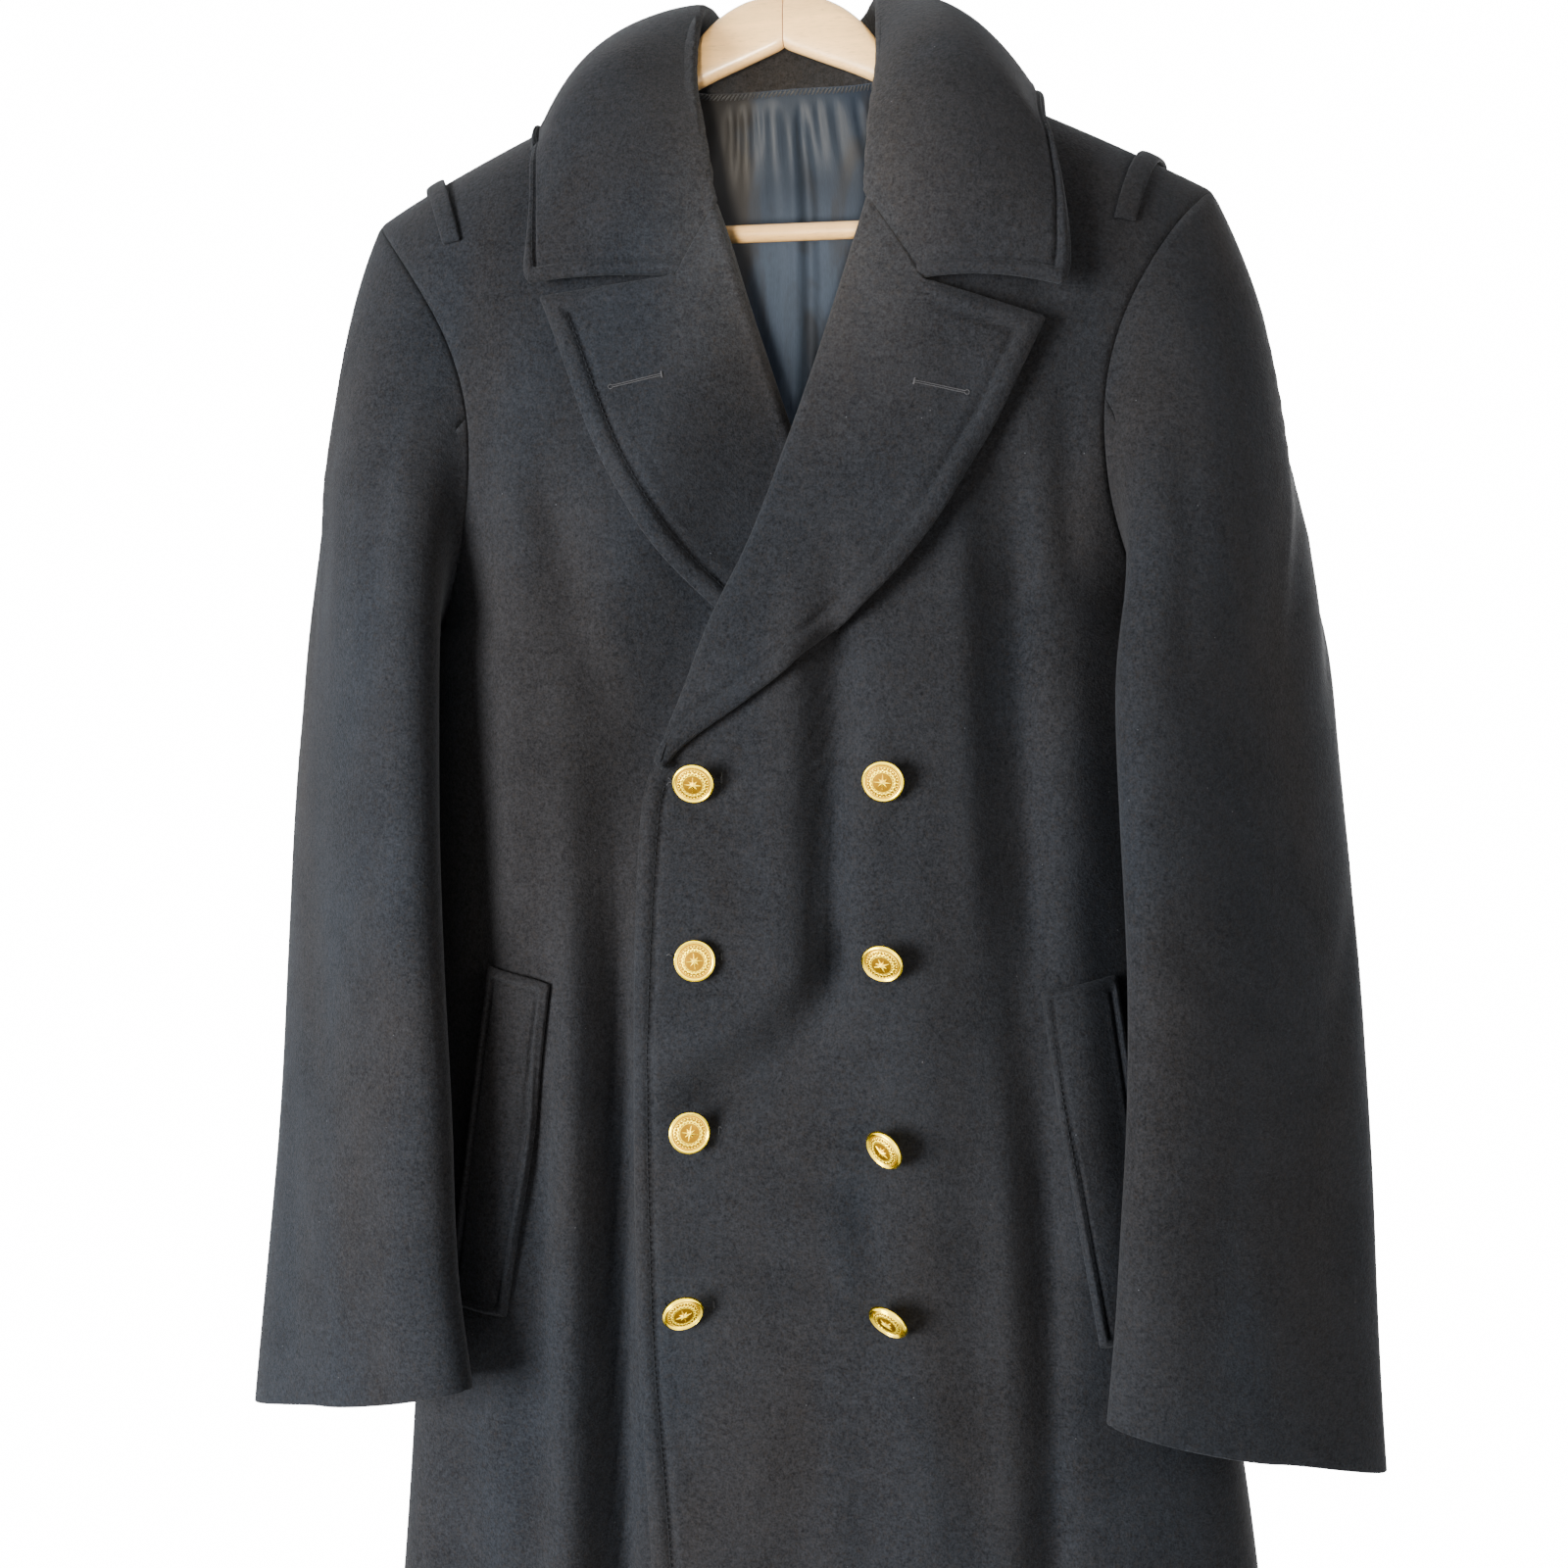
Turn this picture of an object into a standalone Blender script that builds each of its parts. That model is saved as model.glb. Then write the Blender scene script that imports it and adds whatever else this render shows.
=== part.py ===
"""Double-breasted bridge coat hanging on a wooden coat hanger.

Every cloth piece is a thin wall lofted over one shared form of the hanging coat.
The tables and functions below are in centimetres, in the coat's own layout: x to the
wearer's left, y to the back, z up, with z = 0 at the top row of buttons.  place()
turns them into metres, with the origin where the hook rests on its rail.
"""

import math

import bmesh
import bpy
import numpy as np
from mathutils import Matrix, Vector

# ---------------------------------------------------------------- driving sizes (cm)
CM = 0.01
RAIL_Z = 51.5             # underside of the hook's top, above the top row of buttons
HEM_Z = -73.0             # hem
ARMPIT_Z = 8.8
BREAK_Z = 0.6             # where the lapel's roll meets the front edge
GORGE_Z = 31.0            # where the roll line crosses the collar seam
NECK_X, NECK_Z = 7.5, 41.0
SHOULDER_X, SHOULDER_Z = 24.0, 32.8
RING_POWER = 2.5          # squareness of the body's rings
TILT = 0.012              # the hanger hangs a little lower on the wearer's left

CLOTH = 0.25              # one layer of melton
DOUBLE = 0.40             # collar and lapel: cloth, canvas and cloth
LINING = 0.10
SEAM_GAP = 0.03
LINING_IN = CLOTH + 0.58  # outside of the lining below the outside of the coat
LINING_TOP_IN = 0.25      # how much further in it lies round the neck
LOOP_CLOTH = 0.20         # shoulder loop, pressed flat
WELT_UNDER, WELT_OVER = 0.12, 0.42      # underside and outside of a welt above the front
FALL_CLEAR = DOUBLE + 0.22              # outside of the collar's fall above the coat
LOOP_OUT = {1: (19.0, 20.9, 19.3), -1: (17.6, 20.8, 20.2)}     # distances out: front end, top, back end
LOOP_TURN = 71.0, 48.0     # how far the loop reaches round the shoulder, front and back (degrees)
LOOP_HALF_WIDTH = 0.45
LOOP_LIFT = 0.08          # how far the loop stands off the shoulder's top
UNDER_FLAT = 0.85         # the under sleeve is flatter than the upper
STEP = 0.4                # distance used to find which way the cloth faces
FOLD_R = 0.72             # outer radius of the lapel's roll
BUTTON_R = 1.11           # 35-line button
BUTTON_STAND = 0.28       # height of a flat-lying button's back above the cloth

# ---------------------------------------------------------------- tables (cm, degrees)
# height, half width, front depth, back depth, sideways shift of the ring
BODY = (
    (-73.0, 26.8, 10.0, 7.6, 1.90),
    (-40.0, 24.0, 8.9, 6.6, 2.05),
    (-30.0, 23.0, 8.8, 6.4, 1.60),
    (-20.0, 22.1, 8.7, 6.2, 1.10),
    (-10.0, 21.3, 8.7, 6.1, 0.60),
    (0.0, 20.85, 8.7, 6.1, 0.40),
    (8.8, 20.6, 8.6, 6.1, 0.60),
    (15.0, 22.4, 8.6, 6.2, 0.70),
    (21.0, 24.0, 8.5, 6.3, 0.70),
    (27.0, 25.5, 8.3, 6.5, 0.70),
    (33.0, 27.0, 8.0, 6.8, 0.50),
    (44.0, 27.0, 8.0, 7.2, 0.30),
)
# distance from the centre, height of the shoulder's ridge
RIDGE = ((0.0, 44.4), (3.0, 43.8), (5.5, 42.5), (7.5, 41.0), (10.0, 39.6), (14.8, 37.4),
         (19.5, 35.1), (24.0, 32.8), (30.0, 29.6))
# distance from the centre, height of the back neck seam
BACK_NECK = ((0.0, 41.8), (3.0, 41.65), (5.5, 41.35), (NECK_X, NECK_Z))
# height, x of the line midway between the two columns of buttons
CENTRE = ((-73.0, 1.9), (-41.0, 1.85), (-20.0, 1.7), (0.0, 1.7), (18.0, 1.68), (24.0, 1.75),
          (31.2, 1.65), (36.0, 1.0), (39.5, 0.3), (41.0, 0.1), (47.0, 0.1))
# height, x of the middle between the collar's two outer edges
COLLAR_MIDDLE = ((24.0, 1.6), (27.0, 1.75), (32.0, 1.45), (37.0, 0.5), (44.0, -0.1))
# height, reach from the centre line: front edge, roll line and neck seam (own side positive)
EDGE = ((-73.0, -6.5), (-41.0, -7.05), (-30.0, -7.4), (-16.0, -8.05), (-8.0, -7.95), (BREAK_Z, -7.5))
ROLL = ((BREAK_Z, -7.5), (5.0, -5.75), (9.0, -4.15), (12.4, -2.4), (18.5, 0.0), (24.2, 1.9),
        (GORGE_Z, 3.95))
NECK = ((GORGE_Z, 3.95), (34.0, 4.7), (37.0, 5.6), (39.5, 6.6), (NECK_Z, NECK_X - 0.1))
# share of the way up from the armpit, distance out, height, for the front and the back armhole
ARMHOLE_FRONT = ((0.0, 20.6, ARMPIT_Z), (0.1, 19.4, 10.2), (0.25, 17.9, 13.8), (0.4, 17.3, 17.6),
                 (0.55, 17.5, 21.3), (0.7, 18.7, 25.0), (0.85, 21.0, 28.9),
                 (1.0, SHOULDER_X, SHOULDER_Z))
ARMHOLE_BACK = ((0.0, 20.6, ARMPIT_Z), (0.1, 20.1, 10.3), (0.25, 19.4, 14.0), (0.4, 18.9, 18.0),
                (0.55, 19.1, 22.0), (0.7, 19.9, 25.6), (0.85, 21.7, 29.2),
                (1.0, SHOULDER_X, SHOULDER_Z))
# height, sideways shift of the armholes
ARMHOLE_SHIFT = ((ARMPIT_Z, 0.6), (14.0, 0.7), (20.0, 0.65), (27.0, 0.35), (SHOULDER_Z, 0.0))
# height, section centre out and back, half length, half thickness, twist, sideways shift, slant
SLEEVE = (
    (-34.1, 24.2, -6.3, 8.60, 2.60, 60.5, 1.15, 2.1),
    (-26.0, 24.4, -5.7, 8.35, 2.65, 54.5, 1.05, 1.0),
    (-18.0, 24.6, -4.8, 8.45, 2.75, 48.5, 0.97, 0.3),
    (-10.0, 24.7, -4.0, 8.60, 2.80, 44.3, 0.75, 0.0),
    (-2.0, 24.6, -3.2, 8.75, 2.90, 41.0, 0.45, 0.0),
    (5.5, 24.4, -2.3, 8.90, 3.00, 38.2, 0.20, 0.0),
)
# per side, how the sleeve's crown swells: out, less at the tip, inward on arrival, pull at both ends
SLEEVE_CROWN = {1: (0.50, 0.02, 0.40, 1.10, 0.71), -1: (1.0, 0.57, 0.195, 0.53, 1.05)}
# height, how far the front inner edge of the sleeve reaches on, for each side
SLEEVE_REACH = {1: ((-34.1, 0.0), (-12.0, 0.0), (4.0, 0.4), (5.5, 0.4)),
                -1: ((-34.1, 0.0), (-30.0, 0.0), (-18.0, 1.0), (5.5, 1.0))}
# large folds: start x z, middle x z, end x z, depth into the coat, half width
FRONT_FOLDS = (
    ("dip_beside_edge", -7.9, 7.0, -8.0, -30.0, -7.2, -80.0, 0.55, 1.1),
    ("right_pleat_ridge", -10.6, 12.0, -10.4, -20.0, -11.0, -80.0, -0.40, 1.3),
    ("right_chest_ridge", -13.4, 28.0, -14.2, 4.0, -13.6, -12.0, -0.50, 2.0),
    ("right_hem_flute", -16.6, -24.0, -17.0, -50.0, -18.5, -80.0, 0.70, 2.0),
    ("breast_trough", 4.2, 10.0, 4.3, 0.0, 3.4, -9.0, 0.45, 1.3),
    ("breast_trough_sweep", 3.9, -6.0, 2.8, -14.5, -5.0, -16.4, 0.40, 1.3),
    ("left_skirt_trough", 1.2, -34.0, 0.6, -55.0, -0.5, -80.0, 0.60, 2.2),
    ("left_pleat_ridge", 8.8, 18.0, 8.7, -12.0, 9.4, -80.0, -0.45, 2.0),
    ("left_chest_trough", 11.9, 18.0, 12.9, 2.0, 15.2, -34.0, 0.75, 1.4),
    ("left_hem_flute", 15.2, -32.0, 15.5, -55.0, 17.0, -80.0, 0.70, 2.0),
    ("left_side_ridge", 16.3, 14.0, 16.6, -5.0, 18.6, -34.0, -0.40, 1.5),
)
BACK_FOLDS = (
    ("blade_right", -11.5, 26.0, -12.5, 0.0, -10.0, -40.0, 0.70, 2.0),
    ("blade_left", 13.5, 27.0, 14.5, 4.0, 12.5, -34.0, 0.60, 2.0),
    ("centre_swell", -3.5, 10.0, -4.6, -25.0, -5.5, -80.0, -0.50, 2.2),
    ("skirt_left", 6.0, -18.0, 7.5, -45.0, 8.6, -80.0, 0.85, 2.2),
    ("skirt_right", -13.5, -30.0, -14.5, -50.0, -16.0, -80.0, 0.75, 2.0),
    ("skirt_far_left", 16.5, -34.0, 17.5, -55.0, 19.0, -80.0, 0.80, 2.0),
)
# lapel outer edge: share of the way from tip to break, reach, height
LAPEL_EDGE = ((0.0, 13.1, 23.9), (0.22, 10.0, 17.5), (0.42, 6.5, 12.1), (0.60, 2.4, 8.1),
              (0.78, -2.3, 4.5), (0.92, -5.9, 2.0), (1.0, -7.3, 0.6))
# per side: notch reach and height, tip reach and height
LAPEL_TOP = {1: (6.95, 26.3, 13.1, 23.9), -1: (6.1, 27.0, 13.45, 26.0)}
# collar sections, from the centre back (0) over the neck point (2) and the gorge (5) to the notch (7):
# key, roll out/back/up, crown out/back/up (pulls the fall round), edge out/back/up
COLLAR = (
    (0.0, 0.0, 6.1, 45.6, 0.0, 9.6, 46.4, 0.0, 8.1, 35.8),
    (1.0, 3.2, 4.5, 45.7, 5.0, 8.4, 46.0, 8.6, 7.0, 35.9),
    (2.0, 4.8, 0.2, 45.3, 10.4, 0.8, 45.4, 13.9, 0.3, 38.4),
    (3.0, 5.2, -4.0, 39.8, 10.4, -6.0, 42.4, 14.1, -6.0, 34.5),
    (4.0, 4.4, -7.2, 35.1, 10.0, -9.0, 36.8, 14.3, -7.9, 30.6),
    (5.0, 3.95, -8.6, 31.0, 9.0, -10.0, 32.4, 14.4, -8.7, 28.6),
    (6.0, 5.2, -8.8, 28.9, 9.6, -9.8, 29.2, 14.4, -8.9, 27.5),
    (7.0, 6.5, -9.0, 26.9, 10.4, -9.6, 27.2, 14.1, -9.1, 27.0),
)
CORNER_DROP = {1: 1.35, -1: -0.05}     # the wearer's left collar point hangs lower
# collar key, how much farther in the roll stands on the wearer's right
ROLL_IN = ((0.0, 0.0), (1.0, 0.0), (2.0, 0.7), (2.5, 1.15), (3.0, 1.2), (3.5, 0.8), (4.2, 0.3), (5.0, 0.0),
           (7.0, 0.0))
# height, half width of the lining
LINING_HALF = ((-71.0, 22.5), (-40.0, 20.5), (-10.0, 18.2), (8.8, 17.6), (20.0, 15.6), (30.0, 14.4),
               (42.0, 13.6))
# welt corners: reach and height, inner top, outer top, inner bottom, outer bottom
WELT = ((13.2, -10.9), (16.7, -10.1), (16.0, -29.0), (19.5, -28.9))
# button: x, height, the way it faces (x, y, z)
BUTTONS = (
    ("left_1", -3.25, 0.05, 0.07, -0.90, -0.43), ("left_2", -3.25, -9.30, 0.12, -0.99, -0.05),
    ("left_3", -3.50, -18.45, 0.36, -0.93, 0.0), ("left_4", -3.75, -27.65, 0.41, -0.77, -0.48),
    ("right_1", 6.75, 0.15, -0.04, -0.94, -0.32), ("right_2", 6.75, -9.15, -0.15, -0.86, -0.50),
    ("right_3", 6.95, -18.75, -0.53, -0.74, -0.42), ("right_4", 7.30, -27.50, -0.40, -0.69, -0.60),
)
# turned profiles: radius, height above the back
BUTTON_PROFILE = ((0.0, 0.40), (0.62, 0.35), (0.98, 0.19), (BUTTON_R, 0.07), (1.04, -0.02), (0.30, -0.05),
                  (0.30, -0.14), (0.0, -0.14))
FERRULE = ((0.0, 0.75), (0.30, 0.75), (0.42, 0.60), (0.45, 0.06), (0.62, 0.0), (0.0, 0.0))
# hanger arm: distance out, underside, top, half thickness
HANGER_ARM = (
    (0.015, 42.3, 45.2, 0.60), (2.2, 41.4, 45.0, 0.62), (4.6, 40.4, 43.4, 0.64), (6.0, 39.7, 41.6, 0.64),
    (7.4, 38.9, 40.1, 0.66), (11.0, 36.7, 38.2, 0.70), (15.0, 34.0, 36.2, 0.75), (18.5, 31.6, 34.5, 0.80),
    (20.6, 30.9, 33.5, 0.80), (21.5, 31.6, 32.9, 0.62),
)
BAR_Z, BAR_R, BAR_HALF = 31.7, 0.50, 19.8
SOCKET_IN = 10.0                        # the bar's sockets are bored from here outwards
HOOK_WIRE_R = 0.17
HOOK_INNER_R = 2.0
HOOK_BEND_R = HOOK_INNER_R + HOOK_WIRE_R
HOOK_JOINT, HOOK_END = -48.0, 205.0     # angles where the bend starts and ends
HOOK_FOOT_Z, FERRULE_Z = 46.0, 45.23
HOOK_SWING = 2.2                        # pull of the stem's curve at both ends

# ---------------------------------------------------------------- grids
SHOULDER_POINTS = 12      # along the shoulder seam
NECK_POINTS = 3           # along half of the back neck
ARMHOLE_POINTS = 10       # from the armpit to the shoulder tip
UNDER_BACK, UNDER_FRONT = 5, 4          # armhole points that the under sleeve takes at the back and front
BUTTON_STEPS, FERRULE_STEPS = 16, 20
LOWER_ROWS = (HEM_Z, -64.0, -54.0, -44.0, -34.0, -26.0, -18.0, -11.0, -5.0, BREAK_Z, 1.7, 4.8, ARMPIT_Z)
SLEEVE_CAP_ROWS = (0.0, 0.10, 0.24, 0.42, 0.62, 0.82, 1.0)
SLEEVE_ROWS = (-1.5, -9.0, -16.5, -24.0, -30.0, -34.1)
COLLAR_KEYS = (0.0, 0.5, 1.0, 1.5, 1.9, 2.3, 2.7, 3.1, 3.5, 3.9, 4.3, 4.65, 5.0, 5.4, 5.9, 6.4, 7.0)

# ---------------------------------------------------------------- colours
NAVY = (0.010, 0.013, 0.019)
SATIN_BLUE = (0.055, 0.075, 0.100)
GILT = (0.86, 0.56, 0.17)
PALE_WOOD = (0.75, 0.52, 0.30)
STEEL = (0.55, 0.55, 0.56)


# ---------------------------------------------------------------- reading the tables
def smooth(rows, at):
    """Read a table between its rows along a smooth curve; the first column is the key."""
    table = np.asarray(rows, float)
    keys, values = table[:, 0], table[:, 1:]
    at = np.clip(np.asarray(at, float), keys[0], keys[-1])
    slopes = np.gradient(values, keys, axis=0)
    i = np.clip(np.searchsorted(keys, at, side="right") - 1, 0, len(keys) - 2)
    step = (keys[i + 1] - keys[i])[..., None]
    t = (at - keys[i])[..., None] / step
    result = hermite(t, values[i], values[i + 1], step * slopes[i], step * slopes[i + 1])
    return result[..., 0] if values.shape[1] == 1 else result


def ramp(value, low, high):
    """Smooth step from 0 at low to 1 at high."""
    t = np.clip((value - low) / (high - low), 0.0, 1.0)
    return t * t * (3 - 2 * t)


def hermite(t, start, end, leave, arrive):
    """Point of a curve with set places and directions at its two ends."""
    return ((2 * t**3 - 3 * t**2 + 1) * start + (t**3 - 2 * t**2 + t) * leave
            + (3 * t**2 - 2 * t**3) * end + (t**3 - t**2) * arrive)


def unit(vectors):
    return vectors / np.maximum(np.linalg.norm(vectors, axis=-1, keepdims=True), 1e-9)


# ---------------------------------------------------------------- the coat's form
def ridge(x):
    """Height of the shoulder's ridge."""
    return smooth(RIDGE, np.abs(x)) - TILT * x


def round_radius(x, face):
    """How far below the ridge the shoulder takes to reach full depth."""
    if face > 0:
        return 8.0 - 1.0 * ramp(np.abs(x), 10.0, SHOULDER_X)
    return 16.0 - 9.0 * ramp(np.abs(x), 4.0, SHOULDER_X)


def fold_depth(x, z, folds):
    """Sum of the folds' depths at a place on the coat."""
    total = np.zeros(np.broadcast(x, z).shape)
    steps = np.linspace(0.0, 1.0, 25)
    for _, x0, z0, x1, z1, x2, z2, depth, width in folds:
        path_x = (1 - steps) ** 2 * x0 + 2 * steps * (1 - steps) * x1 + steps**2 * x2
        path_z = (1 - steps) ** 2 * z0 + 2 * steps * (1 - steps) * z1 + steps**2 * z2
        gap = np.hypot(x[..., None] - path_x, z[..., None] - path_z)
        near = gap.argmin(-1)
        fade = ramp(steps[near], 0.0, 0.3) * ramp(1 - steps[near], 0.0, 0.2)
        total += depth * fade * np.exp(-(gap.min(-1) / width) ** 2)
    return total


def form(a, z):
    """Point on the coat's outside. a is 0 at the front, 1 at the side seams, 2 at the back."""
    a, z = np.broadcast_arrays(np.asarray(a, float), np.asarray(z, float))
    half, front, back, shift = np.moveaxis(smooth(BODY, z), -1, 0)
    turn = np.abs(a) * math.pi / 2
    x = shift + np.sign(a) * half * np.abs(np.sin(turn)) ** (2 / RING_POWER)
    behind = np.abs(a) > 1
    face = np.where(behind, 1.0, -1.0)
    drop = np.maximum(ridge(x) - z, 0.0)
    radius = np.where(behind, round_radius(x, 1), round_radius(x, -1))
    share = np.clip(drop / radius, 0.0, 1.0)
    rounding = np.sqrt(1 - (1 - share) ** 2)
    y = face * np.where(behind, back, front) * np.abs(np.cos(turn)) ** (2 / RING_POWER) * rounding
    calm = ramp(np.abs(np.cos(turn)), 0.05, 0.35) * ramp(drop, 0.5, 8.0)
    folds = np.where(behind, fold_depth(x, z, BACK_FOLDS), fold_depth(x, z, FRONT_FOLDS))
    return np.stack([x, y - face * folds * calm, z], -1)


def form_at(x, z, face=-1):
    """Point on the front (face -1) or back (face 1) of the form, straight from x and z."""
    x, z = np.broadcast_arrays(np.asarray(x, float), np.asarray(z, float))
    half, _, _, shift = np.moveaxis(smooth(BODY, z), -1, 0)
    across = np.clip(np.abs(x - shift) / half, 0.0, 1.0) ** (RING_POWER / 2)
    a = np.arcsin(across) * 2 / math.pi
    a = np.maximum(a, 1e-6)
    return form(np.sign(x - shift + 1e-9) * (a if face < 0 else 2 - a), z)


def to_form(x, z, face=-1):
    """The (a, z) pair of a place given by x and z."""
    half, _, _, shift = np.moveaxis(smooth(BODY, z), -1, 0)
    a = np.arcsin(np.clip(np.abs(x - shift) / half, 0.0, 1.0) ** (RING_POWER / 2)) * 2 / math.pi
    return np.sign(x - shift) * (a if face < 0 else 2 - a)


def centre(z):
    return smooth(CENTRE, z)


def under_front(x, z):
    """How much deeper the right front lies where the left front covers it."""
    edge = np.where(z < BREAK_Z, centre(z) + smooth(EDGE, np.minimum(z, BREAK_Z)),
                    centre(z) + smooth(ROLL, np.clip(z, BREAK_Z, GORGE_Z)))
    depth = 0.95 + 1.05 * ramp(z, -5.0, 1.5)
    return depth * ramp(x, edge - 7.0, edge - 0.2)


def front_surface(side, x, z):
    """Outside of the left (1) or right (-1) front at x and z."""
    points = form_at(x, z)
    if side < 0:
        points[..., 1] += under_front(x, z)
    return points


# ---------------------------------------------------------------- patches
def coons(left, right, bottom, top):
    """Blend four edge curves into a grid: left and right run up, bottom and top run across."""
    u = np.linspace(0, 1, len(bottom))[:, None, None]
    v = np.linspace(0, 1, len(left))[None, :, None]
    ruled = (1 - u) * left[None] + u * right[None] + (1 - v) * bottom[:, None] + v * top[:, None]
    corners = ((1 - u) * (1 - v) * left[0] + u * (1 - v) * right[0]
               + (1 - u) * v * left[-1] + u * v * right[-1])
    return ruled - corners


def resample(points, count, power=1.0):
    """Points spread along a polyline; power above 1 crowds them at its end."""
    lengths = np.concatenate([[0.0], np.cumsum(np.linalg.norm(np.diff(points, axis=0), axis=1))])
    share = 1 - (1 - np.linspace(0, 1, count)) ** power
    at = share * lengths[-1]
    return np.stack([np.interp(at, lengths, points[:, k]) for k in range(points.shape[1])], 1)


def armhole(side, share, face):
    """Point of an armhole in x and z; share runs from the armpit to the shoulder tip."""
    out, z = np.moveaxis(smooth(ARMHOLE_BACK if face > 0 else ARMHOLE_FRONT, share), -1, 0)
    return smooth(ARMHOLE_SHIFT, z) + side * out, z - TILT * side * SHOULDER_X * np.asarray(share) ** 2


def armhole_shares(count):
    """Shares of the armhole's points, closer together at the shoulder."""
    return 1 - (1 - np.linspace(0, 1, count)) ** 1.25


def reach_x(side, reach, z):
    return centre(z) + side * reach


def side_rows(side, face, shares):
    """The side seam and armhole of a panel as (a, z) points, one for each row."""
    lower = np.array([[side * 1.0, z] for z in LOWER_ROWS])
    x, z = armhole(side, shares[1:], face)
    upper = np.stack([to_form(x, z, face), z], 1)
    return np.concatenate([lower, upper])


def front_panel(side):
    """Grid of a front: across from the front edge to the side seam, up from hem to shoulder."""
    shares = armhole_shares(ARMHOLE_POINTS)
    right = side_rows(side, -1, shares)
    upper_z = ARMPIT_Z + (NECK_Z - ARMPIT_Z) * shares[1:]
    z = np.concatenate([LOWER_ROWS, upper_z])
    reach = np.where(z <= BREAK_Z, smooth(EDGE, np.minimum(z, BREAK_Z)),
                     np.where(z <= GORGE_Z, smooth(ROLL, np.clip(z, BREAK_Z, GORGE_Z)),
                              smooth(NECK, np.maximum(z, GORGE_Z))))
    inset = (FOLD_R + 0.10) * ramp(z, BREAK_Z, BREAK_Z + 1.0) * (1 - ramp(z, GORGE_Z, GORGE_Z + 3.0))
    reach = reach + inset + 0.36 * ramp(z, GORGE_Z - 1.0, GORGE_Z + 1.0)
    x = reach_x(side, reach, z)
    left = np.stack([to_form(x, z), z], 1)
    columns = SHOULDER_POINTS
    top_x = side * np.linspace(NECK_X, SHOULDER_X, columns)
    top_z = ridge(top_x)
    left[-1] = to_form(top_x[:1], top_z[:1])[0], top_z[0]
    top = np.stack([to_form(top_x, top_z), top_z], 1)
    top[0], top[-1] = left[-1], right[-1]
    bottom = np.stack([np.linspace(left[0, 0], right[0, 0], columns), np.full(columns, HEM_Z)], 1)
    grid = coons(left, right, bottom, top)
    points = form(grid[..., 0], grid[..., 1])
    if side < 0:
        points[..., 1] += under_front(points[..., 0], points[..., 2])
    points[:, -1, 1] = 0.0
    return points


def back_panel(side):
    """Grid of a back half: across from the centre seam to the side seam."""
    shares = armhole_shares(ARMHOLE_POINTS)
    outer = side_rows(side, 1, shares)
    z = np.concatenate([LOWER_ROWS, ARMPIT_Z + (41.8 - ARMPIT_Z) * shares[1:]])
    middle = np.stack([np.full(len(z), side * 2.0), z], 1)
    columns = SHOULDER_POINTS + NECK_POINTS
    neck_x = side * np.linspace(0.0, NECK_X, NECK_POINTS + 1)[:-1]
    neck_z = neck_height(neck_x) - 0.12
    ridge_x = side * np.linspace(NECK_X, SHOULDER_X, SHOULDER_POINTS)
    top_x = np.concatenate([neck_x, ridge_x])
    top_z = np.concatenate([neck_z, ridge(ridge_x)])
    top = np.stack([to_form(top_x, top_z, 1), top_z], 1)
    top[0] = middle[-1] = side * 2.0, neck_z[0]
    top[-1] = outer[-1]
    bottom = np.stack([np.linspace(side * 2.0, side * 1.0, columns), np.full(columns, HEM_Z)], 1)
    grid = coons(middle, outer, bottom, top)
    points = form(grid[..., 0], grid[..., 1])
    points[NECK_POINTS:, -1, 1] = 0.0
    return points


def neck_height(x):
    """Height of the back neck seam."""
    return smooth(BACK_NECK, np.abs(x)) - TILT * x


# ---------------------------------------------------------------- sleeves
def sleeve_ring(side, angle, z):
    """Point of a sleeve below the armpit; angle 0 is the front inner end of its section."""
    out, back, half_long, half_short, twist, shift, slant = np.moveaxis(smooth(SLEEVE, z), -1, 0)
    twist = np.radians(twist)
    half_long = half_long - side * 0.35 * (1 - ramp(z, -34.0, -20.0))
    half_long = half_long + np.where(np.cos(angle) > 0, smooth(SLEEVE_REACH[side], z), 0.0)
    along = half_long * np.sign(np.cos(angle)) * np.abs(np.cos(angle)) ** 0.87
    across = half_short * np.sign(np.sin(angle)) * np.abs(np.sin(angle)) ** 0.87
    across = np.where(across < 0, UNDER_FLAT * across, across)
    x = out - along * np.sin(twist) + across * np.cos(twist)
    y = back - along * np.cos(twist) - across * np.sin(twist)
    return np.stack([shift + side * x, y, z + slant * np.cos(angle)], -1)


def armhole_loop(side):
    """Armhole points with their ring angles: back armpit to tip to front armpit."""
    shares = armhole_shares(ARMHOLE_POINTS)
    loop = []
    for face, order in ((1, range(ARMHOLE_POINTS - 1)), (-1, range(ARMHOLE_POINTS - 1, -1, -1))):
        for k in order:
            x, z = armhole(side, shares[k], face)
            point = form_at(x, z, face)
            if k == ARMHOLE_POINTS - 1:
                point = np.array([side * SHOULDER_X, 0.0, float(ridge(side * SHOULDER_X))])
            angle = -math.pi / 2 - face * math.pi * shares[k]
            loop.append((point, angle, face, shares[k]))
    return loop


def sleeve_column(side, point, angle, face, share):
    """One line of points down the sleeve, from the armhole to the cuff."""
    top_ring_z = SLEEVE[-1][0]
    target = sleeve_ring(side, np.array(angle), np.array(top_ring_z))
    length = np.linalg.norm(target - point)
    swell = math.sin(math.pi * share)
    crown_out, tip_less, inward, pull_off, pull_on = SLEEVE_CROWN[side]
    out = crown_out - tip_less * share**4 + (0.55 * swell if face > 0 else 0.0)
    leave = pull_off * length * unit(np.array([side * out, face * 0.40 * swell, -0.95]))
    arrive = pull_on * length * unit(np.array([-side * inward * share, -0.10, -1.0]))
    column = [hermite(t, point, target, leave, arrive) for t in SLEEVE_CAP_ROWS]
    for z in SLEEVE_ROWS:
        column.append(sleeve_ring(side, np.array(angle), np.array(z)))
    return column


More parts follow.
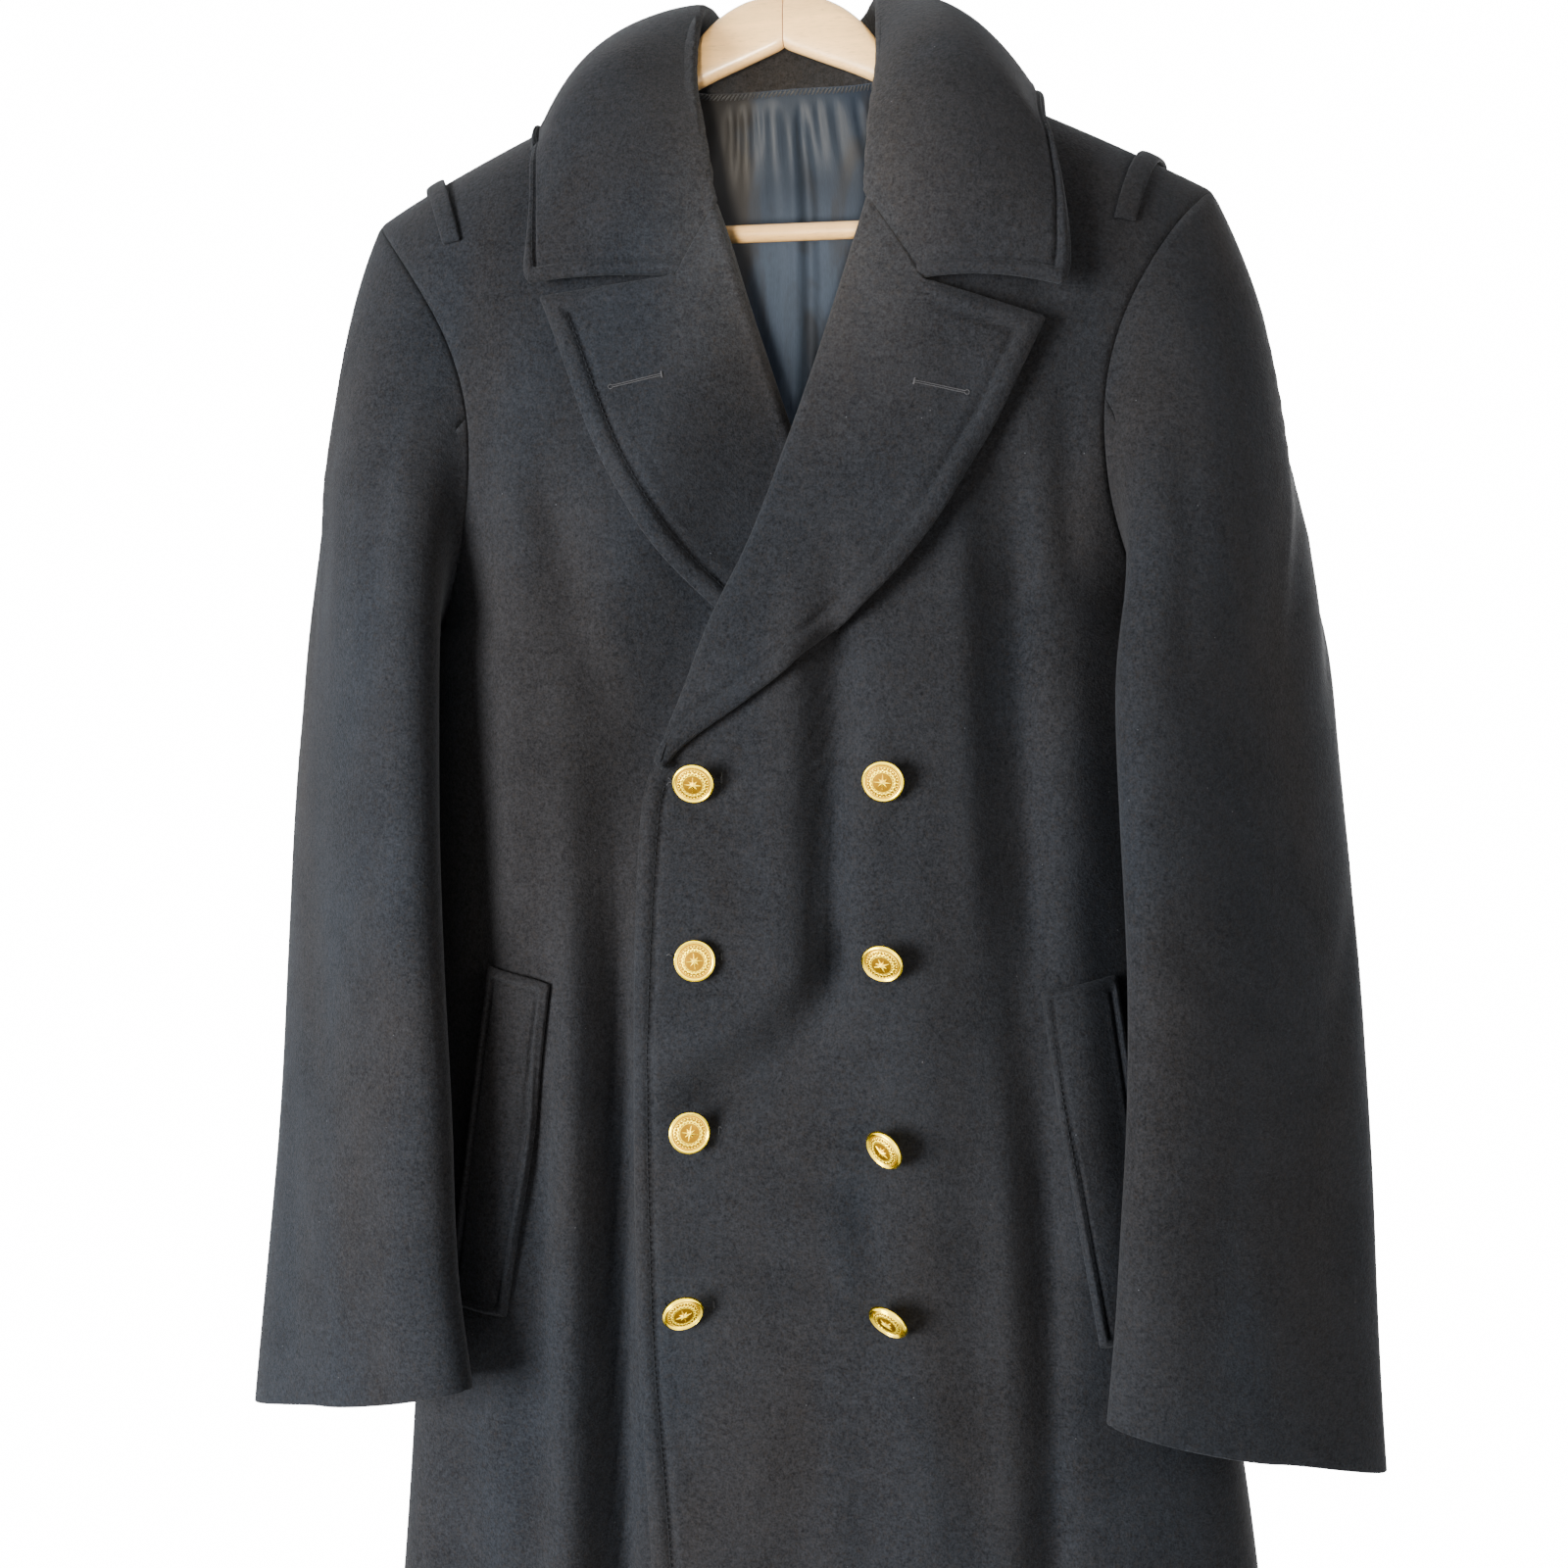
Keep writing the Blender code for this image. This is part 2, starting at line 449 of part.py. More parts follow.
def sleeve_panels(side):
    """Grids of the upper and the under sleeve."""
    loop = armhole_loop(side)
    columns = np.array([sleeve_column(side, *item) for item in loop])
    last = len(columns) - 1
    upper = columns[UNDER_BACK:last - UNDER_FRONT + 1]
    under = np.concatenate([columns[last - UNDER_FRONT:], columns[:UNDER_BACK + 1]])
    return upper, np.delete(under, UNDER_FRONT, axis=0)


# ---------------------------------------------------------------- lapels and collar
def lapel_edge(side, w):
    """Reach and height of the lapel's outer edge, from the tip (0) to the break (1)."""
    reach, z = np.moveaxis(smooth(LAPEL_EDGE, w), -1, 0)
    _, _, tip_reach, tip_z = LAPEL_TOP[side]
    share = 1 - ramp(w, 0.0, 0.25)
    return reach + share * (tip_reach - LAPEL_EDGE[0][1]), z + share * (tip_z - LAPEL_EDGE[0][2])


def lapel_panel(side, rows=13, columns=7):
    """Grid of a lapel: round its roll from the inside, then out to its edge."""
    w = np.linspace(0, 0.95, rows)
    roll_z = GORGE_Z + (BREAK_Z - GORGE_Z) * w
    roll = np.stack([smooth(ROLL, roll_z), roll_z], 1)
    edge = np.stack(lapel_edge(side, w), 1)
    notch_reach, notch_z, tip_reach, tip_z = LAPEL_TOP[side]
    corner = np.array([[roll[0, 0], roll[0, 1]], [notch_reach, notch_z], [tip_reach, tip_z]])
    roll = roll + np.array([0.0, -0.26]) * (1 - ramp(w, 0.0, 0.1))[:, None]
    corner[0] = roll[0]
    corner[1] += (-0.05, -0.30)
    outward = unit(edge - roll)
    outward[0] = unit(corner[1] - corner[0])
    outward[1] = unit(outward[0] + outward[1])
    start = roll + outward * FOLD_R
    width = np.linalg.norm(edge - start, axis=1)
    corner[0] = start[0]
    top = resample(corner, columns)
    bottom = np.linspace(start[-1], edge[-1], columns)
    flat = coons(start[::-1], edge[::-1], bottom, top)[:, ::-1]
    share = np.linspace(0, 1, columns)[:, None]
    covered = 0.12 * ramp(share, 0.0, 0.3) * (side < 0)
    spring = 0.08 + 0.45 * (1 - w)[None] ** 0.7 * np.clip(width / 9.0, 0, 1)
    lift = FOLD_R - CLOTH / 2 + covered + share * spring
    x = reach_x(side, flat[..., 0], flat[..., 1])
    outer = front_surface(side, x, flat[..., 1])
    outer[..., 1] -= lift
    folded = []
    for turn in (math.pi, 0.75 * math.pi, 0.5 * math.pi, 0.25 * math.pi):
        place_2d = roll + outward * FOLD_R * (1 - math.sin(turn))
        folded.append(fold_row(side, place_2d, start, -FOLD_R * math.cos(turn)))
    return np.concatenate([folded, outer])


def fold_row(side, flat, base, depth):
    """Row of the roll: flat places, at a depth behind the middle of the layers."""
    x = reach_x(side, flat[:, 0], flat[:, 1])
    level = front_surface(side, reach_x(side, base[:, 0], base[:, 1]), base[:, 1])[:, 1]
    return np.stack([x, level + CLOTH / 2 + depth, flat[:, 1]], 1)


def neck_seam(side, key):
    """Where the collar starts: back neck, front neck, then the gorge seam over the lapel."""
    if key <= 2.0:
        x = side * NECK_X * key / 2.0
        point = form_at(np.array(x), neck_height(x), 1)
        if key == 2.0:
            point[1] = 0.0
        return point
    if key <= 5.0:
        z = NECK_Z - (NECK_Z - GORGE_Z) * (key - 2.0) / 3.0 - TILT * side * NECK_X * (5.0 - key) / 3.0
        point = form_at(reach_x(side, smooth(NECK, z), z), z)
        point[1] -= (FOLD_R - CLOTH / 2) * float(ramp(key, 4.0, 5.0))
        return point
    share = (key - 5.0) / 2.0
    notch_reach, notch_z, _, _ = LAPEL_TOP[side]
    reach = NECK[0][1] + (notch_reach - NECK[0][1]) * share
    z = GORGE_Z + (notch_z - GORGE_Z) * share
    point = form_at(reach_x(side, reach, z), z)
    point[1] -= FOLD_R - CLOTH / 2 + 0.08 * share
    return point


def collar_point(side, out, back, z):
    share = min(out / 14.5, 1.0)
    middle = (1 - share) * centre(z) + share * smooth(COLLAR_MIDDLE, z)
    return np.array([float(middle) + side * out, back, z])


def clear_of_form(points):
    """Move points of the fall out, or up near the ridge, until its underside clears the coat."""
    for point in points:
        x, face = point[0], 1 if point[1] > 0 else -1
        top, radius = float(ridge(x)), float(round_radius(x, face))
        depth = abs(form_at(x, top - radius, face)[1])
        level = top - radius * (1 - math.sqrt(1 - min(abs(point[1]) / depth, 1.0) ** 2))
        clear = FALL_CLEAR + (0.5 if face > 0 else 0.0)
        out = abs(form_at(x, point[2], face)[1]) + clear - abs(point[1])
        up = level + clear - point[2]
        if point[2] < top and 0 < out <= up:
            point[1] += face * out
        elif 0 < up < out or (up > 0 and point[2] >= top):
            point[2] += up
    return points


def bezier(start, pull, end, count):
    t = np.linspace(0, 1, count)[:, None]
    return (1 - t) ** 2 * start + 2 * t * (1 - t) * pull + t**2 * end


def collar_section(side, key, rows):
    """Section of the collar from its seam up the stand, over the roll and down to its edge."""
    values = [float(v) for v in smooth(COLLAR, key)]
    drop = CORNER_DROP[side] * float(ramp(key, 4.0, 7.0))
    seam = neck_seam(side, key)
    roll_in = float(smooth(ROLL_IN, key)) if side < 0 else 0.0
    roll = collar_point(side, values[0] - roll_in, values[1], values[2])
    crown = collar_point(side, values[3], values[4], values[5] - 0.5 * drop)
    edge = collar_point(side, values[6], values[7], values[8] - drop)
    if key >= 5.0:
        start = seam + 0.06 * unit(roll - collar_point(side, 6.0, -8.0, 24.0))
        return resample(clear_of_form(bezier(start, crown, edge, 30)), rows)
    start = seam + (0.08 + 0.15 * math.exp(-(key - 2.0) ** 2 / 0.4)) * unit(roll - seam)
    stand = np.linalg.norm(roll - start)
    turn = min(1.3, 0.42 * stand)
    below = roll + turn * unit(start - roll)
    beyond = roll + turn * unit(crown - roll)
    fall = clear_of_form(bezier(beyond, crown, edge, 30)[1:])
    path = np.concatenate([np.linspace(start, below, 8), bezier(below, roll, beyond, 10)[1:], fall])
    return resample(path, rows)


def collar_panel(rows=10):
    """Grid of the whole collar, from the right front round the neck to the left front."""
    right = [collar_section(-1, key, rows) for key in COLLAR_KEYS[:0:-1]]
    left = [collar_section(1, key, rows) for key in COLLAR_KEYS]
    return np.array(right + left)


# ---------------------------------------------------------------- small cloth pieces
def welt_panel(side):
    """Grid of a pocket welt, worked out on the front and moved out from it."""
    inner_top, outer_top, inner_low, outer_low = (np.array(p) for p in WELT)
    u = np.linspace(0, 1, 4)[:, None, None]
    v = np.linspace(0, 1, 8)[None, :, None]
    flat = ((1 - u) * (1 - v) * inner_low + u * (1 - v) * outer_low
            + (1 - u) * v * inner_top + u * v * outer_top)
    return front_surface(side, reach_x(side, flat[..., 0], flat[..., 1]), flat[..., 1])


def over_shoulder(out, turn, side):
    """Point over the shoulder's rounding: turn 0 on the ridge, negative to the front (degrees)."""
    face = 1 if turn > 0 else -1
    radius = float(round_radius(out, face))
    z = float(ridge(side * out)) - radius * (1 - math.cos(math.radians(turn)))
    return form_at(np.array(side * out), np.array(z), face)


def loop_panel(side):
    """Grid of a shoulder loop: a narrow strip over the shoulder seam."""
    rows = []
    for share in np.linspace(-1, 1, 15):
        front, top, back = LOOP_OUT[side]
        end = front if share < 0 else back
        middle = top + (end - top) * abs(share) ** 1.2
        turn = share * LOOP_TURN[0 if share < 0 else 1]
        if abs(turn) < 1.0:
            turn = -1.0
        lift = 0.06 + LOOP_LIFT * (1 - abs(share) ** 3)
        row = []
        for offset in (-LOOP_HALF_WIDTH, LOOP_HALF_WIDTH):
            point = over_shoulder(middle + offset, turn, side)
            away = unit(np.array([side * 0.35, math.sin(math.radians(turn)), math.cos(math.radians(turn))]))
            row.append(point + away * lift)
        rows.append(row)
    return np.moveaxis(np.array(rows), 0, 1)


def lining_top(out):
    """Height of the lining's upper edge: along the neck seam, then under the shoulder."""
    under_neck = neck_height(np.minimum(out, NECK_X)) - 0.7
    under_shoulder = smooth(RIDGE, out) - 3.0
    share = ramp(out, NECK_X - 1.0, NECK_X + 1.5)
    return (1 - share) * under_neck + share * under_shoulder


def lining_panel(columns=13, rows=13):
    """Grid of the back lining, inside the two back panels."""
    u = np.linspace(-1, 1, columns)[:, None]
    v = (1 - (1 - np.linspace(0, 1, rows)) ** 1.35)[None, :]
    level = -71.0 + 113.0 * v
    x = u * smooth(LINING_HALF, np.broadcast_to(level, (columns, rows)))
    z = -71.0 + v * (lining_top(np.abs(x)) + 71.0)
    points = form_at(x + 0.3 * smooth(CENTRE, z), z, 1)
    return points


# ---------------------------------------------------------------- walls
def grid_normals(points, hint):
    """Unit normals of a grid, turned to agree with the hint at its middle."""
    normals = unit(np.cross(np.gradient(points, axis=0), np.gradient(points, axis=1)))
    middle = normals[points.shape[0] // 2, points.shape[1] // 2]
    return normals if np.dot(middle, hint) > 0 else -normals


def rim(columns, rows):
    """Index pairs round the edge of a grid, once round."""
    walk = [(i, 0) for i in range(columns)]
    walk += [(columns - 1, j) for j in range(1, rows)]
    walk += [(i, rows - 1) for i in range(columns - 2, -1, -1)]
    walk += [(0, j) for j in range(rows - 2, 0, -1)]
    return walk


def key_of(point):
    return tuple(int(round(value * 200)) for value in point)


class Wall:
    """A cloth piece: a grid of its outside, which way is out, and its thickness."""

    def __init__(self, name, points, hint, thickness, material):
        self.name, self.points, self.thickness, self.material = name, points, thickness, material
        self.normals = grid_normals(points, np.array(hint, float))
        self.walk = rim(*points.shape[:2])
        self.inner = points - self.normals * thickness

    def edges(self):
        return zip(self.walk, self.walk[1:] + self.walk[:1])


def sew(walls):
    """Give walls that share a seam one mitred edge, with the seam gap between them."""
    shared, uses = {}, {}
    for wall in walls:
        for at in wall.walk:
            shared.setdefault(key_of(wall.points[at]), []).append(wall.normals[at])
        for a, b in wall.edges():
            pair = frozenset((key_of(wall.points[a]), key_of(wall.points[b])))
            uses[pair] = uses.get(pair, 0) + 1
    for wall in walls:
        common = {}
        for at in wall.walk:
            normals = shared[key_of(wall.points[at])]
            mean = unit(np.sum(normals, axis=0))
            grow = 1.0 / max(0.55, float(np.mean([np.dot(mean, n) for n in normals])))
            common[at] = mean
            wall.inner[at] = wall.points[at] - mean * wall.thickness * grow
        pulls = {at: [] for at in wall.walk}
        for a, b in wall.edges():
            pair = frozenset((key_of(wall.points[a]), key_of(wall.points[b])))
            if uses[pair] < 2:
                continue
            along = unit(wall.points[b] - wall.points[a])
            pull = unit(np.cross(unit(common[a] + common[b]), along))
            middle = wall.points[1:-1, 1:-1].reshape(-1, 3)
            near = middle[np.linalg.norm(middle - wall.points[a], axis=1).argmin()]
            if np.dot(pull, near - wall.points[a]) < 0:
                pull = -pull
            pulls[a].append(pull)
            pulls[b].append(pull)
        for at, found in pulls.items():
            if not found:
                continue
            shift = found[0] * SEAM_GAP / 2
            if len(found) == 2:
                total = found[0] + found[1]
                shift = total * SEAM_GAP / 2 / max(0.3, 1 + float(np.dot(found[0], found[1])))
            wall.points[at] = wall.points[at] + shift
            wall.inner[at] = wall.inner[at] + shift


def place(point):
    """From the coat's layout in centimetres to the part's frame in metres."""
    return Vector((point[0] * CM, point[1] * CM, (point[2] - RAIL_Z) * CM))


def build_wall(wall, collection):
    """Make the closed mesh of a wall: outside, inside and the rim between them."""
    columns, rows = wall.points.shape[:2]
    mesh = bmesh.new()
    outer = [[mesh.verts.new(place(p)) for p in line] for line in wall.points]
    inner = [[mesh.verts.new(place(p)) for p in line] for line in wall.inner]
    for i in range(columns - 1):
        for j in range(rows - 1):
            low, across, far, up = (i, j), (i + 1, j), (i + 1, j + 1), (i, j + 1)
            for trio in ((low, across, far), (low, far, up)):
                mesh.faces.new([outer[m][n] for m, n in trio])
                mesh.faces.new([inner[m][n] for m, n in reversed(trio)])
    for a, b in wall.edges():
        (i, j), (k, m) = sorted((a, b), key=lambda at: tuple(wall.points[at][::-1]))
        mesh.faces.new((outer[i][j], inner[i][j], inner[k][m]))
        mesh.faces.new((outer[i][j], inner[k][m], outer[k][m]))
    bmesh.ops.recalc_face_normals(mesh, faces=mesh.faces)
    return finish_mesh(wall.name, mesh, wall.material, collection)


def finish_mesh(name, mesh, material, collection):
    data = bpy.data.meshes.new(name)
    mesh.to_mesh(data)
    mesh.free()
    data.materials.append(material)
    data.shade_smooth()
    data.set_sharp_from_angle(angle=math.radians(40))
    thing = bpy.data.objects.new(name, data)
    collection.objects.link(thing)
    return thing


# ---------------------------------------------------------------- hard pieces
def turned(name, profile, material, collection, steps):
    """A turned piece: a profile in radius and height, spun about its own z axis."""
    data = bpy.data.meshes.new(name)
    points = [(r * CM, 0.0, h * CM) for r, h in profile]
    data.from_pydata(points, [(i, i + 1) for i in range(len(points) - 1)], [])
    data.materials.append(material)
    thing = bpy.data.objects.new(name, data)
    collection.objects.link(thing)
    screw = thing.modifiers.new("spin", "SCREW")
    screw.steps = screw.render_steps = steps
    screw.use_merge_vertices = True
    screw.merge_threshold = 0.0001
    screw.use_smooth_shade = True
    return thing


def make_buttons(material, collection):
    """Eight buttons, four in each column, as they hang from their threads."""
    for name, x, z, *facing in BUTTONS:
        spot, aside, above = form_at(np.array([x, x + STEP, x]), np.array([z, z, z + STEP]))
        out = unit(np.cross(aside - spot, above - spot))
        aim = unit(np.array(facing))
        lean = math.sqrt(max(0.0, 1 - float(np.dot(out, aim)) ** 2))
        button = turned(f"button_{name}", BUTTON_PROFILE, material, collection, BUTTON_STEPS)
        button.rotation_euler = Vector(aim).to_track_quat("Z", "Y").to_euler()
        button.location = place(spot + out * (BUTTON_STAND + BUTTON_R * lean))


def make_hanger_arm(side, material, collection):
    """A hanger arm, lofted through the sections of its table."""
    mesh = bmesh.new()
    rings = []
    for out, low, high, half in HANGER_ARM:
        round_z = 0.32 * (high - low)
        round_y = 0.55 * half
        corners = ((-half, low + round_z), (-half, high - round_z), (-round_y, high), (round_y, high),
                   (half, high - round_z), (half, low + round_z), (round_y, low), (-round_y, low))
        sag = TILT * side * out
        rings.append([mesh.verts.new(place((side * out, y, z - sag))) for y, z in corners])
    for first, second in zip(rings, rings[1:]):
        for k in range(8):
            mesh.faces.new((first[k], first[(k + 1) % 8], second[(k + 1) % 8], second[k]))
    mesh.faces.new(rings[0])
    mesh.faces.new(rings[-1])
    bmesh.ops.recalc_face_normals(mesh, faces=mesh.faces)
    name = "hanger_arm_left" if side > 0 else "hanger_arm_right"
    return finish_mesh(name, mesh, material, collection)


def cylinder(name, radius, start, end, collection, material=None, sides=20):
    """A round bar between two places, in centimetres."""
    a, b = place(start), place(end)
    mesh = bmesh.new()
    bmesh.ops.create_cone(mesh, cap_ends=True, segments=sides, radius1=radius * CM, radius2=radius * CM,
                          depth=(b - a).length)
    turn = (b - a).to_track_quat("Z", "Y").to_matrix().to_4x4()
    bmesh.ops.transform(mesh, matrix=Matrix.Translation((a + b) / 2) @ turn, verts=mesh.verts)
    data = bpy.data.meshes.new(name)
    mesh.to_mesh(data)
    mesh.free()
    if material:
        data.materials.append(material)
    data.shade_smooth()
    data.set_sharp_from_angle(angle=math.radians(40))
    thing = bpy.data.objects.new(name, data)
    collection.objects.link(thing)
    return thing


def hook_path():
    """Middle of the hook's wire: a stem that swings out and round over the rail."""
    centre_z = RAIL_Z - HOOK_INNER_R
    start = np.array([0.0, 0.0, HOOK_FOOT_Z])
    first = math.radians(HOOK_JOINT)
    joint = np.array([HOOK_BEND_R * math.cos(first), 0.0, centre_z + HOOK_BEND_R * math.sin(first)])
    heading = np.array([-math.sin(first), 0.0, math.cos(first)])
    points = []
    for t in np.linspace(0, 1, 9)[:-1]:
        points.append(hermite(t, start, joint, np.array([0, 0, HOOK_SWING]), heading * HOOK_SWING))
    for turn in np.radians(np.linspace(HOOK_JOINT, HOOK_END, 19)):
        points.append(np.array([HOOK_BEND_R * math.cos(turn), 0.0, centre_z + HOOK_BEND_R * math.sin(turn)]))
    return points


def make_hook(material, collection):
    """The steel hook, a round wire."""
    curve = bpy.data.curves.new("hanger_hook", "CURVE")
    curve.dimensions = "3D"
    curve.bevel_depth = HOOK_WIRE_R * CM
    curve.bevel_resolution = 2
    curve.use_fill_caps = True
    spline = curve.splines.new("POLY")
    points = hook_path()
    spline.points.add(len(points) - 1)
    for spot, point in zip(spline.points, points):
        spot.co = (*place(point), 1.0)
    curve.materials.append(material)
    thing = bpy.data.objects.new("hanger_hook", curve)
    collection.objects.link(thing)


# ---------------------------------------------------------------- the whole coat
def new_material(name, colour, roughness, metallic=0.0):
    material = bpy.data.materials.new(name)
    material.use_nodes = True
    shader = material.node_tree.nodes["Principled BSDF"]
    shader.inputs["Base Color"].default_value = (*colour, 1.0)
    shader.inputs["Roughness"].default_value = roughness
    shader.inputs["Metallic"].default_value = metallic
    return material


def clear_scene():
    for thing in list(bpy.data.objects):
        bpy.data.objects.remove(thing, do_unlink=True)


def make_cloth(collection):
    """All cloth pieces: the shell is sewn as one, the rest lie on it."""
    melton = new_material("melton", NAVY, 0.95)
    satin = new_material("lining", SATIN_BLUE, 0.4)
    shell, laid = [], []
    for side, name in ((1, "left"), (-1, "right")):
        upper, under = sleeve_panels(side)
        shell.append(Wall(f"front_{name}", front_panel(side), (0, -1, 0), CLOTH, melton))
        shell.append(Wall(f"back_{name}", back_panel(side), (0, 1, 0), CLOTH, melton))
        shell.append(Wall(f"sleeve_{name}_upper", upper, (side, 0, 0), CLOTH, melton))
        shell.append(Wall(f"sleeve_{name}_under", under, (-side, 0.2, 0), CLOTH, melton))
        laid.append(Wall(f"lapel_{name}", lapel_panel(side), (0, -1, 0), DOUBLE, melton))
        welt = Wall(f"welt_{name}", welt_panel(side), (0, -1, 0), WELT_OVER - WELT_UNDER, melton)
        welt.inner = welt.points + welt.normals * WELT_UNDER
        welt.points = welt.points + welt.normals * WELT_OVER
        laid.append(welt)
        loop = Wall(f"shoulder_loop_{name}", loop_panel(side), (0, 0, 1), LOOP_CLOTH, melton)
        loop.inner, loop.points = loop.points, loop.points + loop.normals * LOOP_CLOTH
        laid.append(loop)
    laid.append(Wall("collar", collar_panel(), (0, 1, 0.4), DOUBLE, melton))
    lining = Wall("lining_back", lining_panel(), (0, 1, 0), LINING, satin)
    inset = LINING_IN + LINING_TOP_IN * ramp(lining.points[..., 2:], 34.0, 39.0)
    lining.points = lining.points - lining.normals * inset
    lining.inner = lining.points - lining.normals * LINING
    laid.append(lining)
    sew(shell)
    for wall in shell + laid:
        build_wall(wall, collection)


def bar_place(x):
    return x, 0.0, BAR_Z - TILT * x


def make_hanger(collection, cutters):
    """Two wooden arms, the trouser bar in its sockets, the ferrule and the hook."""
    wood = new_material("wood", PALE_WOOD, 0.45)
    steel = new_material("steel", STEEL, 0.3, 1.0)
    for side in (1, -1):
        arm = make_hanger_arm(side, wood, collection)
        start, end = bar_place(side * SOCKET_IN), bar_place(side * (BAR_HALF + SEAM_GAP))
        socket = cylinder(f"socket_{arm.name}", BAR_R + SEAM_GAP, start, end, cutters)
        socket.hide_render = True
        socket.display_type = "WIRE"
        cut = arm.modifiers.new("socket", "BOOLEAN")
        cut.operation = "DIFFERENCE"
        cut.object = socket
    cylinder("hanger_bar", BAR_R, bar_place(-BAR_HALF), bar_place(BAR_HALF), collection, wood)
    ferrule = turned("hanger_ferrule", FERRULE, steel, collection, FERRULE_STEPS)
    ferrule.location = place((0.0, 0.0, FERRULE_Z))
    make_hook(steel, collection)


def main():
    clear_scene()
    coat = bpy.data.collections.new("bridge_coat")
    cutters = bpy.data.collections.new("cutters")
    for collection in (coat, cutters):
        bpy.context.scene.collection.children.link(collection)
    make_cloth(coat)
    make_buttons(new_material("gilt", GILT, 0.3, 1.0), coat)
    make_hanger(coat, cutters)


main()
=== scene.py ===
"""Bridge coat on its hanger: finished cloth, buttons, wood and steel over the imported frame.

Tables and cloth functions are in centimetres, in the coat's own layout: x to the wearer's
left, y to the back, z up, with z = 0 at the top row of buttons.  place() turns them into
metres, in the frame's own axes.
"""

import math

import bmesh
import bpy
import numpy as np
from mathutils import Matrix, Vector
from mathutils.bvhtree import BVHTree
from mathutils.kdtree import KDTree


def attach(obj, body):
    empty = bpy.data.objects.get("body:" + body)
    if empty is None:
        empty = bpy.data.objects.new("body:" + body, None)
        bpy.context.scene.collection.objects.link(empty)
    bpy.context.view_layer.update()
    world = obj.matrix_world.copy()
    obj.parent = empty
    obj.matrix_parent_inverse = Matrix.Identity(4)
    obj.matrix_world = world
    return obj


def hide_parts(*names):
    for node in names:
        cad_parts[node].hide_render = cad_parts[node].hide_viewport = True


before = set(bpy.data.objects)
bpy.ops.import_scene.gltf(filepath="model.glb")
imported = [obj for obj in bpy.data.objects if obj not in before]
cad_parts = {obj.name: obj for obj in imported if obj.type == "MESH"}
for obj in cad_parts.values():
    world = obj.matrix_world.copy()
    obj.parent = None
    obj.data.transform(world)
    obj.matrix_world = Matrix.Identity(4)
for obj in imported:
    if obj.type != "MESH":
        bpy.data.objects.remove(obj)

bl_info = {
    "name": "Bridge coat",
    "version": (1, 0, 0),
    "blender": (4, 5, 0),
    "location": "View3D > Sidebar > Coat",
    "description": "Builds the finished bridge coat over its packed frame",
    "category": "Object",
}

# ---------------------------------------------------------------- driving sizes (cm)
CM = 0.01
RAIL_Z = 51.5             # underside of the hook's top, above the top row of buttons
HEM_Z = -73.0
ARMPIT_Z = 8.8
BREAK_Z = 0.6             # where the lapel's roll meets the front edge
GORGE_Z = 31.0            # where the roll line crosses the collar seam
NECK_X, NECK_Z = 7.5, 41.0
SHOULDER_X, SHOULDER_Z = 24.0, 32.8
RING_POWER = 2.5          # squareness of the body's rings
TILT = 0.012              # the hanger hangs a little lower on the wearer's left

CLOTH = 0.25              # one layer of melton
DOUBLE = 0.40             # collar and lapel: cloth, canvas and cloth
LINING = 0.10
SEAM_GAP = 0.03
PRESSED_GAP = 0.004       # between cloth pressed flat along a seam
FOLD_R, FOLD_R_BREAK = 0.72, 0.58       # outer radius of the lapel's roll, and at the break
BUTTON_R = 1.11           # 35-line button
BUTTON_STAND = 0.28       # height of a flat-lying button's back above the cloth
LOOP_CLOTH = 0.20         # shoulder loop, pressed flat
WELT_UNDER, WELT_OVER = 0.12, 0.42      # underside and outside of a welt above the front
FALL_CLEAR = DOUBLE + 0.22              # outside of the collar's fall above the coat
LOOP_OUT = {1: (19.0, 20.9, 19.3), -1: (17.6, 20.8, 20.2)}     # distances out: front end, top, back end
LOOP_TURN = 71.0, 48.0     # how far the loop reaches round the shoulder, front and back (degrees)
LOOP_HALF_WIDTH = 0.45
LOOP_LIFT = 0.08          # how far the loop stands off the shoulder's top
UNDER_FLAT = 0.85         # the under sleeve is flatter than the upper
BAND = 1.05               # topstitching in from lapel and front edges
COLLAR_BAND = 0.68
WELT_BAND = 0.45
SEAM_ROUND = 0.06         # how far a sewn edge is drawn in
SAME_PLACE = 0.01         # rim points nearer than this are one
CAMERA_TURN, CAMERA_AWAY = 9.3, 1.0     # degrees and metres

# ---------------------------------------------------------------- tables (cm, degrees)
# height, half width, front depth, back depth, sideways shift of the ring
BODY = (
    (-73.0, 26.8, 10.0, 7.6, 1.90),
    (-40.0, 24.0, 8.9, 6.6, 2.05),
    (-30.0, 23.0, 8.8, 6.4, 1.60),
    (-20.0, 22.1, 8.7, 6.2, 1.10),
    (-10.0, 21.3, 8.7, 6.1, 0.60),
    (0.0, 21.15, 8.7, 6.1, 0.40),
    (5.0, 21.35, 8.65, 6.1, 0.50),
    (7.4, 21.30, 8.62, 6.1, 0.56),
    (8.8, 20.6, 8.6, 6.1, 0.60),
    (15.0, 22.4, 8.6, 6.2, 0.70),
    (21.0, 24.0, 8.5, 6.3, 0.70),
    (27.0, 25.5, 8.3, 6.5, 0.70),
    (33.0, 27.0, 8.0, 6.8, 0.50),
    (44.0, 27.0, 8.0, 7.2, 0.30),
)
# distance from the centre, height of the shoulder's ridge
RIDGE = ((0.0, 44.4), (3.0, 43.8), (5.5, 42.5), (7.5, 41.0), (10.0, 39.6), (14.8, 37.4),
         (19.5, 35.1), (24.0, 32.8), (30.0, 29.6))
# distance from the centre, height of the back neck seam
BACK_NECK = ((0.0, 41.8), (3.0, 41.65), (5.5, 41.35), (NECK_X, NECK_Z))
